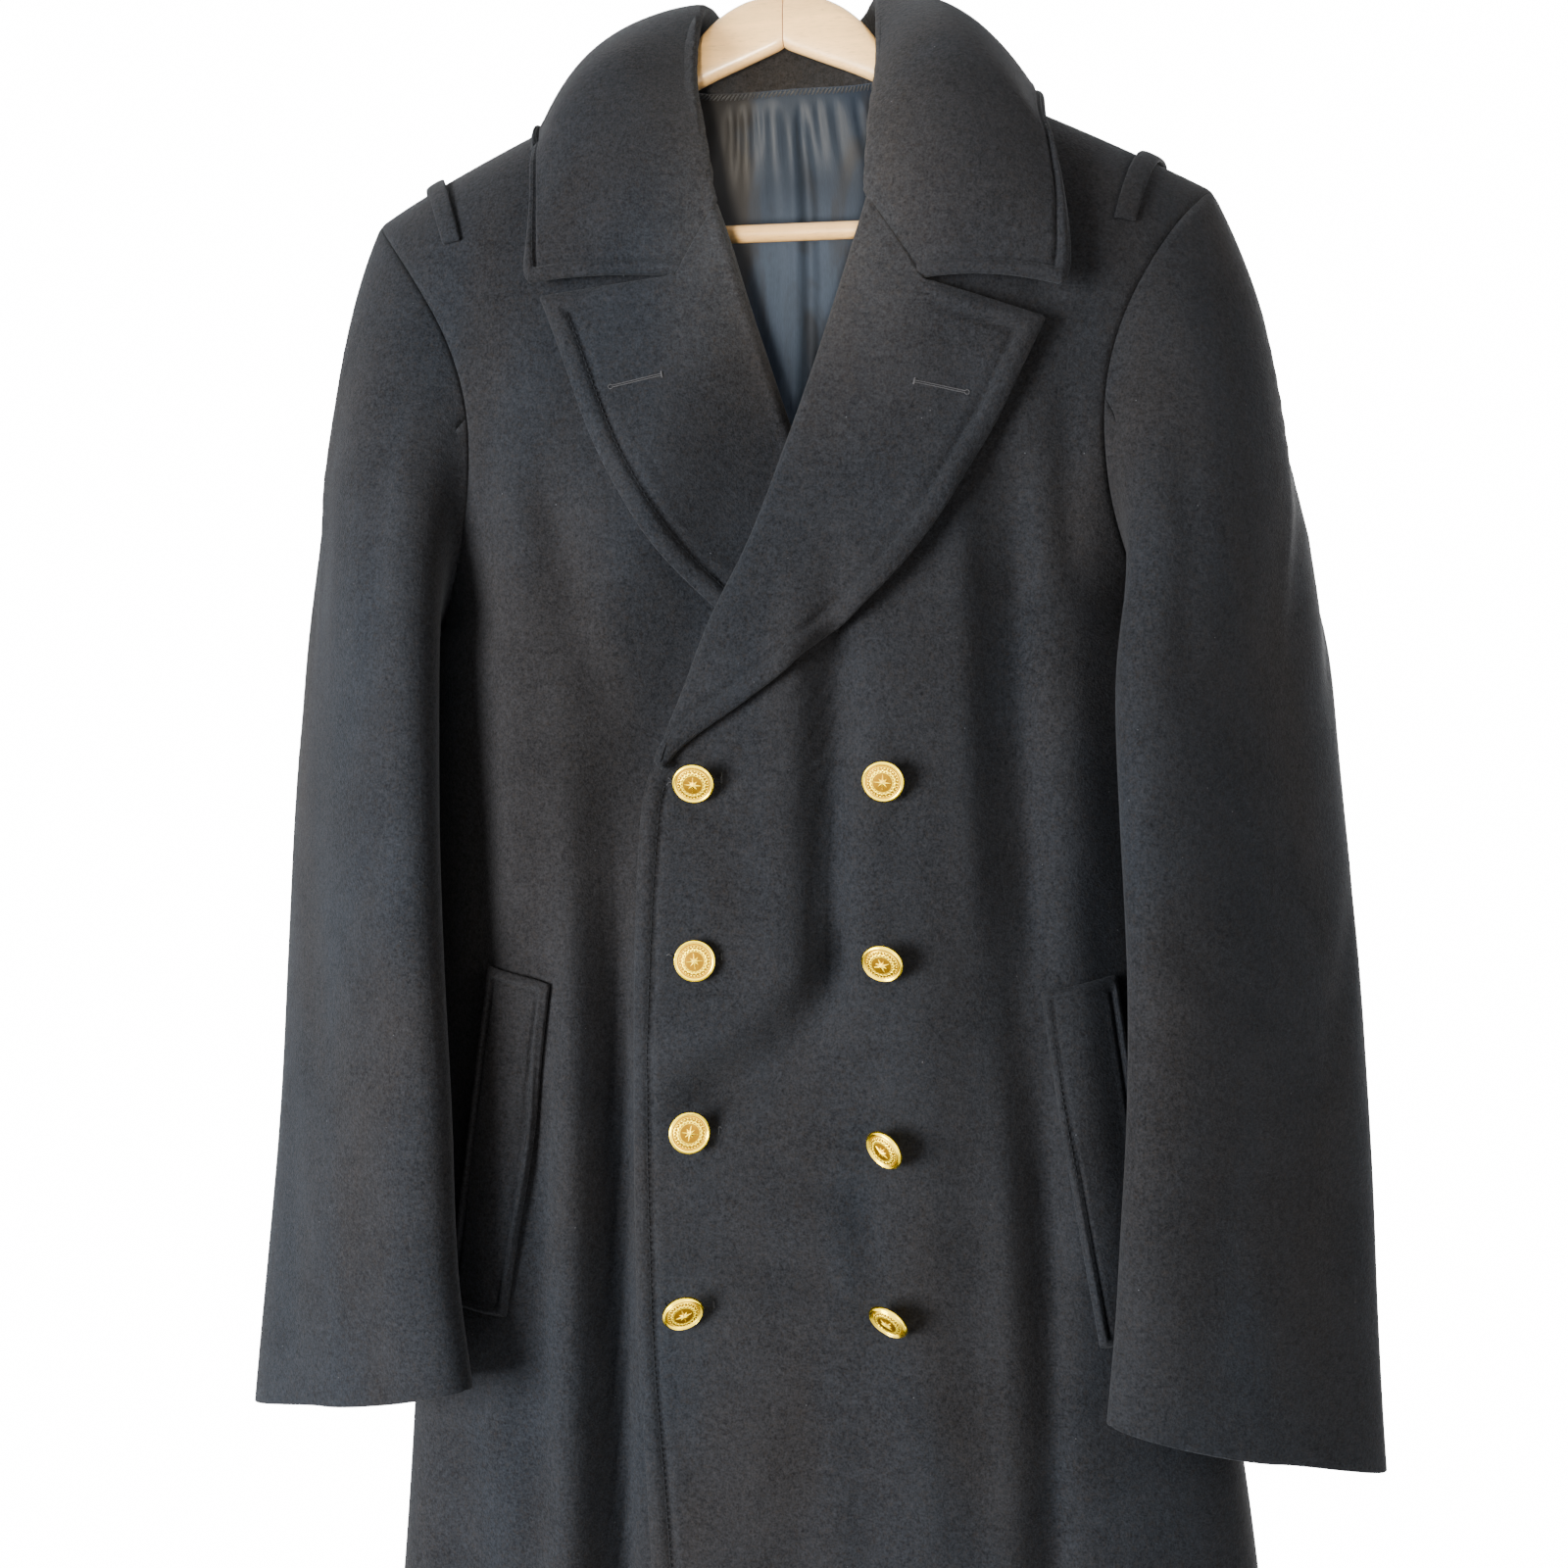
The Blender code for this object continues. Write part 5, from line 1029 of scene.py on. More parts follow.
def wall_object(wall):
    """Closed mesh of a wall: outside, inside and the rounded rim between them."""
    columns, rows = wall.points.shape[:2]
    count = columns * rows
    rings = edge_rings(wall)
    ring_size = len(wall.walk)
    spots = np.concatenate([wall.points.reshape(-1, 3), wall.inner.reshape(-1, 3), *rings])
    index = np.arange(count).reshape(columns, rows)
    a, b, c, d = index[:-1, :-1], index[1:, :-1], index[1:, 1:], index[:-1, 1:]
    outside = np.stack([a, b, c, d], -1).reshape(-1, 4)
    inside = np.stack([d, c, b, a], -1).reshape(-1, 4) + count
    if not agrees(wall):
        outside, inside = outside[:, ::-1], inside[:, ::-1]
    walk = np.array([index[at] for at in wall.walk])
    levels = [walk] + [2 * count + k * ring_size + np.arange(ring_size) for k in range(len(rings))]
    levels.append(walk + count)
    strips = []
    for low, high in zip(levels, levels[1:]):
        quad = np.stack([low, high, np.roll(high, -1), np.roll(low, -1)], -1)
        strips.append(quad if agrees(wall) else quad[:, ::-1])
    faces = np.concatenate([outside, inside, *strips])
    cloth = wall.shares().reshape(-1, 2)
    rim_map = np.concatenate([np.tile(cloth[walk], (len(rings), 1))])
    thing = mesh_object(wall.name, place(spots), faces, np.concatenate([cloth, cloth, rim_map]), wall.slot)
    pressed = {int(index[at]) for at in wall.plain}
    for edge in thing.data.edges:
        if pressed.issuperset(edge.vertices):
            edge.use_edge_sharp = True
    return thing


def agrees(wall):
    """Whether the grid's own winding faces out."""
    i, j = wall.points.shape[0] // 2, wall.points.shape[1] // 2
    turn = np.cross(wall.points[i + 1, j] - wall.points[i, j], wall.points[i, j + 1] - wall.points[i, j])
    return bool(np.dot(turn, wall.normals[i, j]) > 0)


def mesh_object(name, spots, faces, cloth_map, slot):
    """A smooth mesh object from arrays of places, four-sided faces and a map in metres."""
    data = bpy.data.meshes.new(name)
    data.vertices.add(len(spots))
    data.vertices.foreach_set("co", np.ascontiguousarray(spots, np.float32).ravel())
    data.loops.add(faces.size)
    data.loops.foreach_set("vertex_index", np.ascontiguousarray(faces, np.int32).ravel())
    data.polygons.add(len(faces))
    data.polygons.foreach_set("loop_start", np.arange(0, faces.size, 4, dtype=np.int32))
    data.polygons.foreach_set("loop_total", np.full(len(faces), 4, np.int32))
    data.update(calc_edges=True)
    layer = data.uv_layers.new(name="cloth")
    layer.data.foreach_set("uv", np.ascontiguousarray(cloth_map[faces.ravel()], np.float32).ravel())
    data.polygons.foreach_set("use_smooth", np.full(len(faces), True))
    data.validate()
    return linked(name, data, slot)


def linked(name, data, slot=None):
    """A new object in the scene, with its material where one is named."""
    if slot:
        data.materials.append(bpy.data.materials[slot])
    thing = bpy.data.objects.new(name, data)
    bpy.context.scene.collection.objects.link(thing)
    return thing


# ---------------------------------------------------------------- materials
def fill(tree, socket, value):
    """Link a socket to another one, or give it a value."""
    if isinstance(value, bpy.types.NodeSocket):
        tree.links.new(value, socket)
    else:
        socket.default_value = value


def node(tree, kind, inputs=None, **settings):
    """Add a node, set its settings, then fill or link its inputs."""
    made = tree.nodes.new(kind)
    for name, value in settings.items():
        setattr(made, name, value)
    for name, value in (inputs or {}).items():
        fill(tree, made.inputs[name], value)
    return made


def noise(tree, vector, scale, detail=4.0, roughness=0.55, distortion=0.0):
    made = node(tree, "ShaderNodeTexNoise", {"Vector": vector, "Scale": scale, "Detail": detail,
                                             "Roughness": roughness, "Distortion": distortion})
    return made.outputs["Fac"]


def spread(tree, value, low, high, out_low=0.0, out_high=1.0):
    made = node(tree, "ShaderNodeMapRange", {"Value": value, "From Min": low, "From Max": high,
                                             "To Min": out_low, "To Max": out_high}, clamp=True)
    return made.outputs["Result"]


def mixed(tree, share, first, second):
    """Blend of two colours, each a socket or three numbers."""
    made = node(tree, "ShaderNodeMix", {0: share}, data_type="RGBA")
    for socket, value in ((made.inputs[6], first), (made.inputs[7], second)):
        fill(tree, socket, value if isinstance(value, bpy.types.NodeSocket) else (*value[:3], 1.0))
    return made.outputs[2]


def maths(tree, operation, first, second=0.0):
    return node(tree, "ShaderNodeMath", {0: first, 1: second}, operation=operation).outputs[0]


def times(tree, first, second):
    return maths(tree, "MULTIPLY", first, second)


def total(tree, first, *others):
    for other in others:
        first = maths(tree, "ADD", first, other)
    return first


def stretched(tree, vector, *scale):
    """A pattern's vector, drawn out along the axes that have the smaller scale."""
    return node(tree, "ShaderNodeMapping", {"Vector": vector, "Scale": scale}).outputs[0]


def new_group(name, sizes, outputs):
    """An empty shader group with a vector and sizes as inputs; gives the tree and its input sockets."""
    tree = bpy.data.node_groups.new(name, "ShaderNodeTree")
    tree.interface.new_socket("Vector", in_out="INPUT", socket_type="NodeSocketVector")
    for label, default in sizes.items():
        socket = tree.interface.new_socket(label, in_out="INPUT", socket_type="NodeSocketFloat")
        socket.default_value = default
    for label in outputs:
        tree.interface.new_socket(label, in_out="OUTPUT", socket_type="NodeSocketFloat")
    return tree, tree.nodes.new("NodeGroupInput").outputs


def close_group(tree, **values):
    """Link a group's results to its outputs, named with underscores for spaces."""
    result = tree.nodes.new("NodeGroupOutput")
    for label, value in values.items():
        tree.links.new(value, result.inputs[label.replace("_", " ")])


def nap_group():
    """Fulled wool: soft clouds of tone, a fine short nap and the odd pale fibre."""
    if "Wool nap" in bpy.data.node_groups:
        return bpy.data.node_groups["Wool nap"]
    tree, given = new_group("Wool nap", {"Grain": 900.0, "Clouds": 28.0},
                            ("Tone", "Hue", "Warmth", "Fibre", "Height"))
    where = given["Vector"]
    fine = noise(tree, where, given["Grain"], 3.0, 0.6)
    coarse = noise(tree, where, times(tree, given["Grain"], 0.42), 3.0, 0.6)
    clouds = noise(tree, where, given["Clouds"], 5.0, 0.6, 0.4)
    wide = noise(tree, where, times(tree, given["Clouds"], 0.3), 2.0, 0.5)
    tone = total(tree, spread(tree, fine, 0.30, 0.72, 0.0, 0.50), spread(tree, coarse, 0.33, 0.68, 0.0, 0.26),
                 spread(tree, clouds, 0.3, 0.72, 0.0, 0.14), spread(tree, wide, 0.3, 0.7, 0.0, 0.10))
    hue = spread(tree, noise(tree, stretched(tree, where, 1.0, 1.0, 0.35), 11.0, 3.0, 0.55, 0.5), 0.34, 0.66)
    warmth = spread(tree, noise(tree, where, 420.0, 4.0, 0.7), 0.50, 0.74)
    cell = node(tree, "ShaderNodeTexVoronoi", {"Vector": where, "Scale": 230.0, "Randomness": 1.0})
    chosen = node(tree, "ShaderNodeSeparateColor", {"Color": cell.outputs["Color"]})
    speck = times(tree, spread(tree, cell.outputs["Distance"], 0.09, 0.02),
                  spread(tree, chosen.outputs[0], 0.965, 0.975))
    height = total(tree, times(tree, fine, 0.62), times(tree, coarse, 0.38))
    close_group(tree, Tone=tone, Hue=hue, Warmth=warmth, Fibre=speck, Height=height)
    return tree


def wear_group():
    """Fine scuffs and a slow change of finish, for gilt, wood and steel."""
    if "Handling wear" in bpy.data.node_groups:
        return bpy.data.node_groups["Handling wear"]
    tree, given = new_group("Handling wear", {"Scale": 300.0}, ("Smear", "Scratch"))
    smear = spread(tree, noise(tree, given["Vector"], given["Scale"], 4.0, 0.6, 0.6), 0.35, 0.7)
    slanted = node(tree, "ShaderNodeMapping", {"Vector": given["Vector"], "Rotation": (0.4, 0.8, 0.3),
                                               "Scale": (1.0, 9.0, 9.0)}).outputs[0]
    scratch = spread(tree, noise(tree, slanted, given["Scale"], 3.0, 0.7), 0.60, 0.74)
    close_group(tree, Smear=smear, Scratch=scratch)
    return tree


def new_material(name):
    """A material with an empty Principled surface: its tree, its shader and the place on the piece."""
    material = bpy.data.materials.get(name)
    if material:
        bpy.data.materials.remove(material)
    material = bpy.data.materials.new(name)
    material.use_nodes = True
    tree = material.node_tree
    return tree, tree.nodes["Principled BSDF"], node(tree, "ShaderNodeTexCoord").outputs["Object"]


def set_shader(tree, shader, **values):
    """Fill or link the shader's inputs, named with underscores for spaces."""
    for name, value in values.items():
        fill(tree, shader.inputs[name.replace("_", " ")], value)


def shade(colour, share):
    """A colour made darker or lighter, never past white."""
    return [min(c * share, 1.0) for c in colour]


def bump(tree, shader, height, distance, strength):
    made = node(tree, "ShaderNodeBump", {"Height": height, "Distance": distance, "Strength": strength})
    set_shader(tree, shader, Normal=made.outputs[0])


def wear_on(tree, where, scale):
    """The outputs of the wear group, placed in a material at its own scale."""
    return node(tree, "ShaderNodeGroup", {"Vector": where, "Scale": scale}, node_tree=wear_group()).outputs


def make_melton(settings):
    """Dark navy wool melton with a short nap, a little bloom and the odd pale fibre."""
    tree, shader, where = new_material("melton")
    nap = node(tree, "ShaderNodeGroup", {"Vector": where, "Grain": settings.nap_grain,
                                         "Clouds": settings.nap_clouds}, node_tree=nap_group()).outputs
    brown, blue = ([c * tint for c, tint in zip(settings.wool_colour, tints)]
                   for tints in ((1.05, 1.0, 0.96), (0.90, 1.0, 1.11)))
    brown, blue = (mixed(tree, nap["Tone"], shade(wool, 0.22), shade(wool, 2.45)) for wool in (brown, blue))
    colour = mixed(tree, nap["Hue"], brown, blue)
    colour = mixed(tree, times(tree, nap["Warmth"], 0.40), colour, settings.warm_fibre_colour)
    colour = mixed(tree, times(tree, nap["Fibre"], 0.75), colour, settings.lint_colour)
    set_shader(tree, shader, Base_Color=colour, Roughness=spread(tree, nap["Tone"], 0.0, 1.0, 0.98, 0.86),
               Specular_IOR_Level=0.05, Sheen_Weight=settings.bloom, Sheen_Roughness=0.42,
               Sheen_Tint=(0.94, 0.97, 1.0, 1.0))
    bump(tree, shader, nap["Height"], settings.nap_depth, 0.85)


def make_satin(settings):
    """Blue-grey satin lining with fine lengthwise threads; painted shade near the neck, painted light lower
    down, and at one side a brown painted shade of the facing over random stains.
    """
    tree, shader, where = new_material("lining")
    cloth = node(tree, "ShaderNodeTexCoord").outputs["UV"]
    threads = noise(tree, stretched(tree, cloth, 2600.0, 240.0, 1.0), 1.0, 2.0, 0.5)
    slubs = noise(tree, stretched(tree, cloth, 900.0, 30.0, 1.0), 1.0, 3.0, 0.6)
    clouds = noise(tree, cloth, 30.0, 3.0, 0.5)
    tone = total(tree, spread(tree, threads, 0.3, 0.7, 0.0, 0.4), spread(tree, slubs, 0.3, 0.7, 0.0, 0.35),
                 spread(tree, clouds, 0.3, 0.7, 0.0, 0.25))
    # Painted shade and painted light: the darker colour (worn) is painted near the neck and the lighter one
    # lower down, by height alone.
    worn, painted_light_lining = (mixed(tree, tone, shade(settings.lining_colour, share * 0.72),
                         shade(settings.lining_colour, share * 1.28)) for share in (0.66, 1.9))
    across, _, height = node(tree, "ShaderNodeSeparateXYZ", {"Vector": where}).outputs
    colour = mixed(tree, spread(tree, height, -0.15, -0.23), worn, painted_light_lining)
    # Painted shade: brown over the wearer's right of the lining stands in for the facing in shadow, mixed with
    # random stains.
    stains = noise(tree, stretched(tree, where, 40.0, 40.0, 14.0), 1.0, 3.0, 0.55, 0.6)
    brown = total(tree, spread(tree, across, -0.026, -0.040),
                  times(tree, spread(tree, stains, 0.48, 0.66), 0.75))
    colour = mixed(tree, spread(tree, brown, 0.0, 1.0, 0.0, 0.85), colour, settings.facing_shade_colour)
    set_shader(tree, shader, Base_Color=colour, Roughness=spread(tree, slubs, 0.3, 0.7, 0.46, 0.60),
               Specular_IOR_Level=0.16, Sheen_Weight=0.06, Sheen_Roughness=0.3)
    bump(tree, shader, total(tree, threads, slubs), 0.00012, 0.7)


def make_gilt(settings):
    """Polished gilt on the raised work, darker and browner in the recesses."""
    tree, shader, where = new_material("gilt")
    hollows = node(tree, "ShaderNodeAttribute", attribute_name="recess", attribute_type="GEOMETRY")
    recess = hollows.outputs["Fac"]
    wear = wear_on(tree, where, 420.0)
    gilt = settings.gilt_colour
    worn = [c * share for c, share in zip(gilt, (0.86, 0.72, 0.5))]
    deep = total(tree, spread(tree, recess, 0.38, 0.92), times(tree, wear["Smear"], 0.12))
    colour = mixed(tree, times(tree, deep, settings.recess_tarnish), gilt, settings.recess_colour)
    colour = mixed(tree, times(tree, wear["Smear"], 0.18), colour, worn)
    rough = total(tree, spread(tree, recess, 0.0, 1.0, 0.20, 0.44), times(tree, wear["Scratch"], 0.12))
    set_shader(tree, shader, Base_Color=colour, Roughness=rough, Metallic=1.0)
    bump(tree, shader, wear["Smear"], 0.00004, 0.6)


def make_wood(settings):
    """Varnished pale beech, its grain running along the arms and the bar."""
    tree, shader, where = new_material("wood")
    grain = noise(tree, stretched(tree, where, 9.0, 130.0, 130.0), 1.0, 5.0, 0.6, 0.8)
    flecks = noise(tree, stretched(tree, where, 140.0, 1500.0, 1500.0), 1.0, 3.0, 0.5)
    smear = wear_on(tree, where, 90.0)["Smear"]
    pale = settings.wood_colour
    colour = mixed(tree, spread(tree, grain, 0.32, 0.68), shade(pale, 0.80), pale)
    colour = mixed(tree, times(tree, spread(tree, flecks, 0.56, 0.72), 0.45), colour, (0.36, 0.17, 0.07))
    colour = mixed(tree, times(tree, smear, 0.22), colour, (0.52, 0.30, 0.15))
    set_shader(tree, shader, Base_Color=colour, Roughness=spread(tree, smear, 0.0, 1.0, 0.34, 0.52),
               Coat_Weight=0.35, Coat_Roughness=0.22)
    bump(tree, shader, total(tree, grain, flecks), 0.00010, 0.6)


def make_steel(settings):
    """Bright plated steel with fine scuffs."""
    tree, shader, where = new_material("steel")
    wear = wear_on(tree, where, 260.0)
    colour = mixed(tree, wear["Smear"], settings.steel_colour, shade(settings.steel_colour, 0.82))
    rough = total(tree, spread(tree, wear["Smear"], 0.0, 1.0, 0.16, 0.30), times(tree, wear["Scratch"], 0.15))
    set_shader(tree, shader, Base_Color=colour, Roughness=rough, Metallic=1.0)
    bump(tree, shader, wear["Scratch"], 0.00003, 0.5)


def make_thread(name, colour):
    """Twisted sewing thread."""
    tree, shader, where = new_material(name)
    twist = noise(tree, where, 2600.0, 2.0, 0.5)
    clouds = noise(tree, where, 210.0, 3.0, 0.6)
    tone = total(tree, spread(tree, twist, 0.3, 0.7, 0.0, 0.6), spread(tree, clouds, 0.3, 0.7, 0.0, 0.4))
    set_shader(tree, shader, Base_Color=mixed(tree, tone, shade(colour, 0.6), shade(colour, 1.4)),
               Roughness=spread(tree, clouds, 0.3, 0.7, 0.55, 0.72), Specular_IOR_Level=0.15,
               Sheen_Weight=0.04, Sheen_Roughness=0.4)
    bump(tree, shader, twist, 0.00008, 0.7)


def make_floor(settings):
    """Plain pale floor."""
    tree, shader, where = new_material("floor")
    pale = settings.floor_colour
    colour = mixed(tree, noise(tree, where, 3.0, 3.0, 0.5), shade(pale, 0.985), shade(pale, 1.01))
    set_shader(tree, shader, Base_Color=colour, Roughness=0.9, Specular_IOR_Level=0.2)


def tube_faces(count, sides):
    """Faces of a tube of rings, drawn together at two end points that follow its rings."""
    index = np.arange(count * sides).reshape(count, sides)
    beside = np.roll(index, -1, axis=1)
    faces = np.stack([index[:-1], index[1:], beside[1:], beside[:-1]], -1).reshape(-1, 4).tolist()
    first, last = count * sides, count * sides + 1
    faces += [(first, int(a), int(b)) for a, b in zip(index[0], beside[0])]
    return faces + [(last, int(b), int(a)) for a, b in zip(index[-1], beside[-1])]


def closed_tube(name, rings, slot):
    """A closed tube through rings of points, each end drawn together at its middle."""
    rings = np.asarray(rings, float)
    count, sides = rings.shape[:2]
    spots = np.concatenate([rings.reshape(-1, 3), [rings[0].mean(0), rings[-1].mean(0)]])
    along = run_lengths(rings.mean(1))
    girth = np.linalg.norm(np.diff(rings[count // 2], axis=0, append=rings[count // 2][:1]), axis=1).sum()
    around = np.linspace(0, 1, sides, endpoint=False) * girth
    cloth = np.stack(np.meshgrid(along, around, indexing="ij"), -1).reshape(-1, 2)
    cloth = np.concatenate([cloth, [[along[0], 0.0], [along[-1], 0.0]]]) * CM
    return closed_object(name, spots, tube_faces(count, sides), cloth, slot)


def closed_object(name, spots, faces, cloth, slot, recess=None):
    """A smooth closed mesh object from lists, with its faces turned outwards."""
    data = bpy.data.meshes.new(name)
    data.from_pydata([tuple(p) for p in place(spots)], [], faces)
    layer = data.uv_layers.new(name="cloth")
    corners = np.zeros(len(data.loops), np.int32)
    data.loops.foreach_get("vertex_index", corners)
    layer.data.foreach_set("uv", np.ascontiguousarray(cloth[corners], np.float32).ravel())
    if recess is not None:
        data.attributes.new("recess", "FLOAT", "POINT").data.foreach_set("value", recess.astype(np.float32))
    mesh = bmesh.new()
    mesh.from_mesh(data)
    bmesh.ops.recalc_face_normals(mesh, faces=mesh.faces)
    mesh.to_mesh(data)
    mesh.free()
    data.shade_smooth()
    data.set_sharp_from_angle(angle=math.radians(50))
    return linked(name, data, slot)


def tube_rings(path, radius, sides):
    """Rings of a round tube along a path, without twist."""
    path = np.asarray(path, float)
    radius = np.broadcast_to(np.asarray(radius, float), len(path))
    heading = unit(np.gradient(path, axis=0))
    across = unit(np.cross(heading[0], (0.3, 1.0, 0.2)))
    rings = []
    for spot, ahead, size in zip(path, heading, radius):
        across = unit(across - ahead * np.dot(across, ahead))
        up = np.cross(ahead, across)
        turn = np.linspace(0, 2 * math.pi, sides, endpoint=False)[:, None]
        rings.append(spot + size * (np.cos(turn) * across + np.sin(turn) * up))
    return rings


def rounded_ends(path, radius, steps=4):
    """A path and its radii, with half-round ends added."""
    path = np.asarray(path, float)
    heads = unit(path[0] - path[1]), unit(path[-1] - path[-2])
    turns = np.linspace(0, math.pi / 2, steps + 1)[1:]
    before = [path[0] + heads[0] * radius * math.sin(t) for t in turns[::-1]]
    after = [path[-1] + heads[1] * radius * math.sin(t) for t in turns]
    sizes = [radius * max(math.cos(t), 0.02) for t in turns]
    return (np.concatenate([before, path, after]),
            np.concatenate([sizes[::-1], np.full(len(path), radius), sizes]))


# ---------------------------------------------------------------- buttons
def star_height(radius, turn, long_reach=0.50, short_reach=0.33, waist=0.15):
    """A compass star of eight points, each with a ridge along its middle."""
    eighth = math.pi / 4
    nearest = np.round(turn / eighth)
    reach = np.where(nearest % 2 == 0, long_reach, short_reach)
    aside = np.abs(turn - nearest * eighth)
    half = eighth / 2
    border = reach * waist * math.sin(half) / (reach * np.sin(aside) + waist * np.sin(half - aside))
    share = np.clip(1 - radius / border, 0, 1)
    return 0.085 * share**0.75


def leaf_height(radius, turn, count, at, tilt, length, width):
    """A ring of small ribbed leaves."""
    step = 2 * math.pi / count
    nearest = np.round(turn / step) * step
    out, along = radius - at, (turn - nearest) * at
    u = along * math.cos(tilt) + out * math.sin(tilt)
    v = -along * math.sin(tilt) + out * math.cos(tilt)
    taper = width * np.clip(1 - 0.55 * u / length, 0.2, 1.6)
    body = np.clip(1 - (u / length) ** 2 - (v / taper) ** 2, 0, 1) ** 0.5
    return 0.05 * body - 0.018 * body * np.exp(-(v / 0.012) ** 2)


BUTTON_DOME = ((0.0, 0.315), (0.3, 0.305), (0.6, 0.265), (0.8, 0.215), (0.90, 0.18), (1.0, 0.13))


def button_face(radius, turn, studs):
    """Height of a button's front above its back, and how recessed each place is."""
    def rounded(at, half, aside=0.0):
        """Half-round section of a ring, or of the studs on one."""
        return np.clip(1 - ((radius - at) / half) ** 2 - aside, 0, 1) ** 0.5

    ground = smooth(BUTTON_DOME, radius)
    step = 2 * math.pi / studs
    aside = (turn - np.round(turn / step) * step) * 0.775
    stud = 0.040 * rounded(0.775, 0.034, (aside / 0.040) ** 2)
    leaves = np.maximum(leaf_height(radius, turn, 20, 0.665, 0.75, 0.085, 0.036),
                        leaf_height(radius, turn + math.pi / 20, 20, 0.605, -0.75, 0.080, 0.034))
    rope, stem, inner = (high * rounded(at, half) for high, at, half in
                         ((0.024, 0.845, 0.022), (0.022, 0.635, 0.016), (0.018, 0.535, 0.014)))
    raised = np.max([rope, stud, leaves, stem, inner, star_height(radius, turn)], axis=0)
    rim = 0.125 + 0.115 * rounded(0.995, 0.117)
    rim = np.where(radius > 0.995, np.maximum(rim, 0.125 - (radius - 1.08) * 2.0), rim)
    on_rim = ramp(radius, 0.872, 0.892)
    height = (ground + raised) * (1 - on_rim) + rim * on_rim
    recess = (1 - ramp(raised, 0.002, 0.026)) * (1 - on_rim) + np.exp(-((radius - 0.884) / 0.012) ** 2)
    return height, np.clip(recess, 0, 1)


BUTTON_BACK = ((1.105, 0.05), (1.085, 0.01), (1.04, -0.02), (0.70, -0.045), (0.30, -0.05), (0.29, -0.10),
               (0.24, -0.14))        # radius and height, from the rim to the shank's foot


def button_mesh(name, origin, aim, roll, studs):
    """One turned and struck button: rolled edge, studs, wreath and star; shank behind."""
    turns = np.linspace(0, 2 * math.pi, 160, endpoint=False)
    radii = np.concatenate([np.linspace(0.012, 0.86, 44), np.linspace(0.870, 1.108, 13)])
    grid_r, grid_t = np.meshgrid(radii, turns, indexing="ij")
    height, recess = button_face(grid_r, (grid_t + roll) % (2 * math.pi), studs)
    rings_r, rings_h = (np.concatenate([front, [[pair[k]] * len(turns) for pair in BUTTON_BACK]])
                        for k, front in enumerate((grid_r, height)))
    rings_t = np.broadcast_to(turns, rings_r.shape)
    flat = np.stack([rings_r * np.cos(rings_t), rings_r * np.sin(rings_t), rings_h], -1).reshape(-1, 3)
    turn = np.array(Vector(aim).to_track_quat("Z", "Y").to_matrix())
    ends = np.array([[0.0, 0.0, float(height[0].mean())], [0.0, 0.0, BUTTON_BACK[-1][1]]])
    spots = np.concatenate([flat, ends])
    hollow = np.zeros(len(spots))
    hollow[:recess.size] = recess.ravel()
    return closed_object(name, spots @ turn.T + origin, tube_faces(*rings_r.shape), spots[:, :2] * CM, "gilt",
                         hollow)


def button_stands():
    """Name, origin, facing and the place on the cloth behind each button."""
    stands = []
    for name, x, z, *facing in BUTTONS:
        spot, right, left, above, below = form_at(x + BUTTON_R * np.array([0, 1, -1, 0, 0]),
                                                  z + BUTTON_R * np.array([0, 0, 0, 1, -1]))
        out = unit(np.cross(right - left, above - below))
        aim = unit(np.array(facing))
        lean = math.sqrt(max(0.0, 1 - float(np.dot(out, aim)) ** 2))
        stands.append((name, spot + out * (BUTTON_STAND + BUTTON_R * lean), aim, spot))
    return stands


# ---------------------------------------------------------------- hanger
def arm_rings(side):
    """Sections of a hanger arm, shaped from its table, with a rounded outer end."""
    outs = np.concatenate([np.linspace(0.03, 20.6, 110), 20.6 + 0.9 * np.sin(np.linspace(0.1, 1.45, 12))])
    low, high, half = np.moveaxis(smooth(HANGER_ARM, outs), -1, 0)
    turn = np.linspace(0, 2 * math.pi, 44, endpoint=False)
    close = np.where(outs > 20.6, np.sqrt(np.clip(1 - ((outs - 20.6) / 0.92) ** 2, 0, 1)), 1.0)
    soften = np.where(outs < 0.3, 0.93 + 0.07 * np.sqrt(outs / 0.3), 1.0)
    rings = []
    for out, bottom, top, thick, shut, soft in zip(outs, low, high, half, close, soften):
        middle, tall = (bottom + top) / 2 - TILT * side * out, (top - bottom) / 2
        y = thick * shut * soft * np.sign(np.cos(turn)) * np.abs(np.cos(turn)) ** 0.72
        z = tall * shut * soft * np.sign(np.sin(turn)) * np.abs(np.sin(turn)) ** 0.72
        rings.append(np.stack([np.full(len(turn), side * out), y, middle + z], 1))
    return np.array(rings)


def bar_place(x):
    return np.array([x, 0.0, BAR_Z - TILT * x])


def hook_path():
    """Middle of the hook's wire: a stem that swings out and round over the rail."""
    centre_z = RAIL_Z - HOOK_INNER_R
    start = np.array([0.0, 0.0, HOOK_FOOT_Z])
    first = math.radians(HOOK_JOINT)
    joint = np.array([HOOK_BEND_R * math.cos(first), 0.0, centre_z + HOOK_BEND_R * math.sin(first)])
    heading = np.array([-math.sin(first), 0.0, math.cos(first)])
    points = [hermite(t, start, joint, np.array([0, 0, HOOK_SWING]), heading * HOOK_SWING)
              for t in np.linspace(0, 1, 17)[:-1]]
    for turn in np.radians(np.linspace(HOOK_JOINT, HOOK_END, 90)):
        points.append(np.array([HOOK_BEND_R * math.cos(turn), 0.0, centre_z + HOOK_BEND_R * math.sin(turn)]))
    return np.array(points)


# ferrule: radius and height above its foot
FERRULE = ((0.20, 0.755), (0.27, 0.75), (0.32, 0.735), (0.39, 0.66), (0.425, 0.58), (0.43, 0.45), (0.44, 0.20),
           (0.45, 0.10), (0.52, 0.055), (0.60, 0.03), (0.62, 0.0))


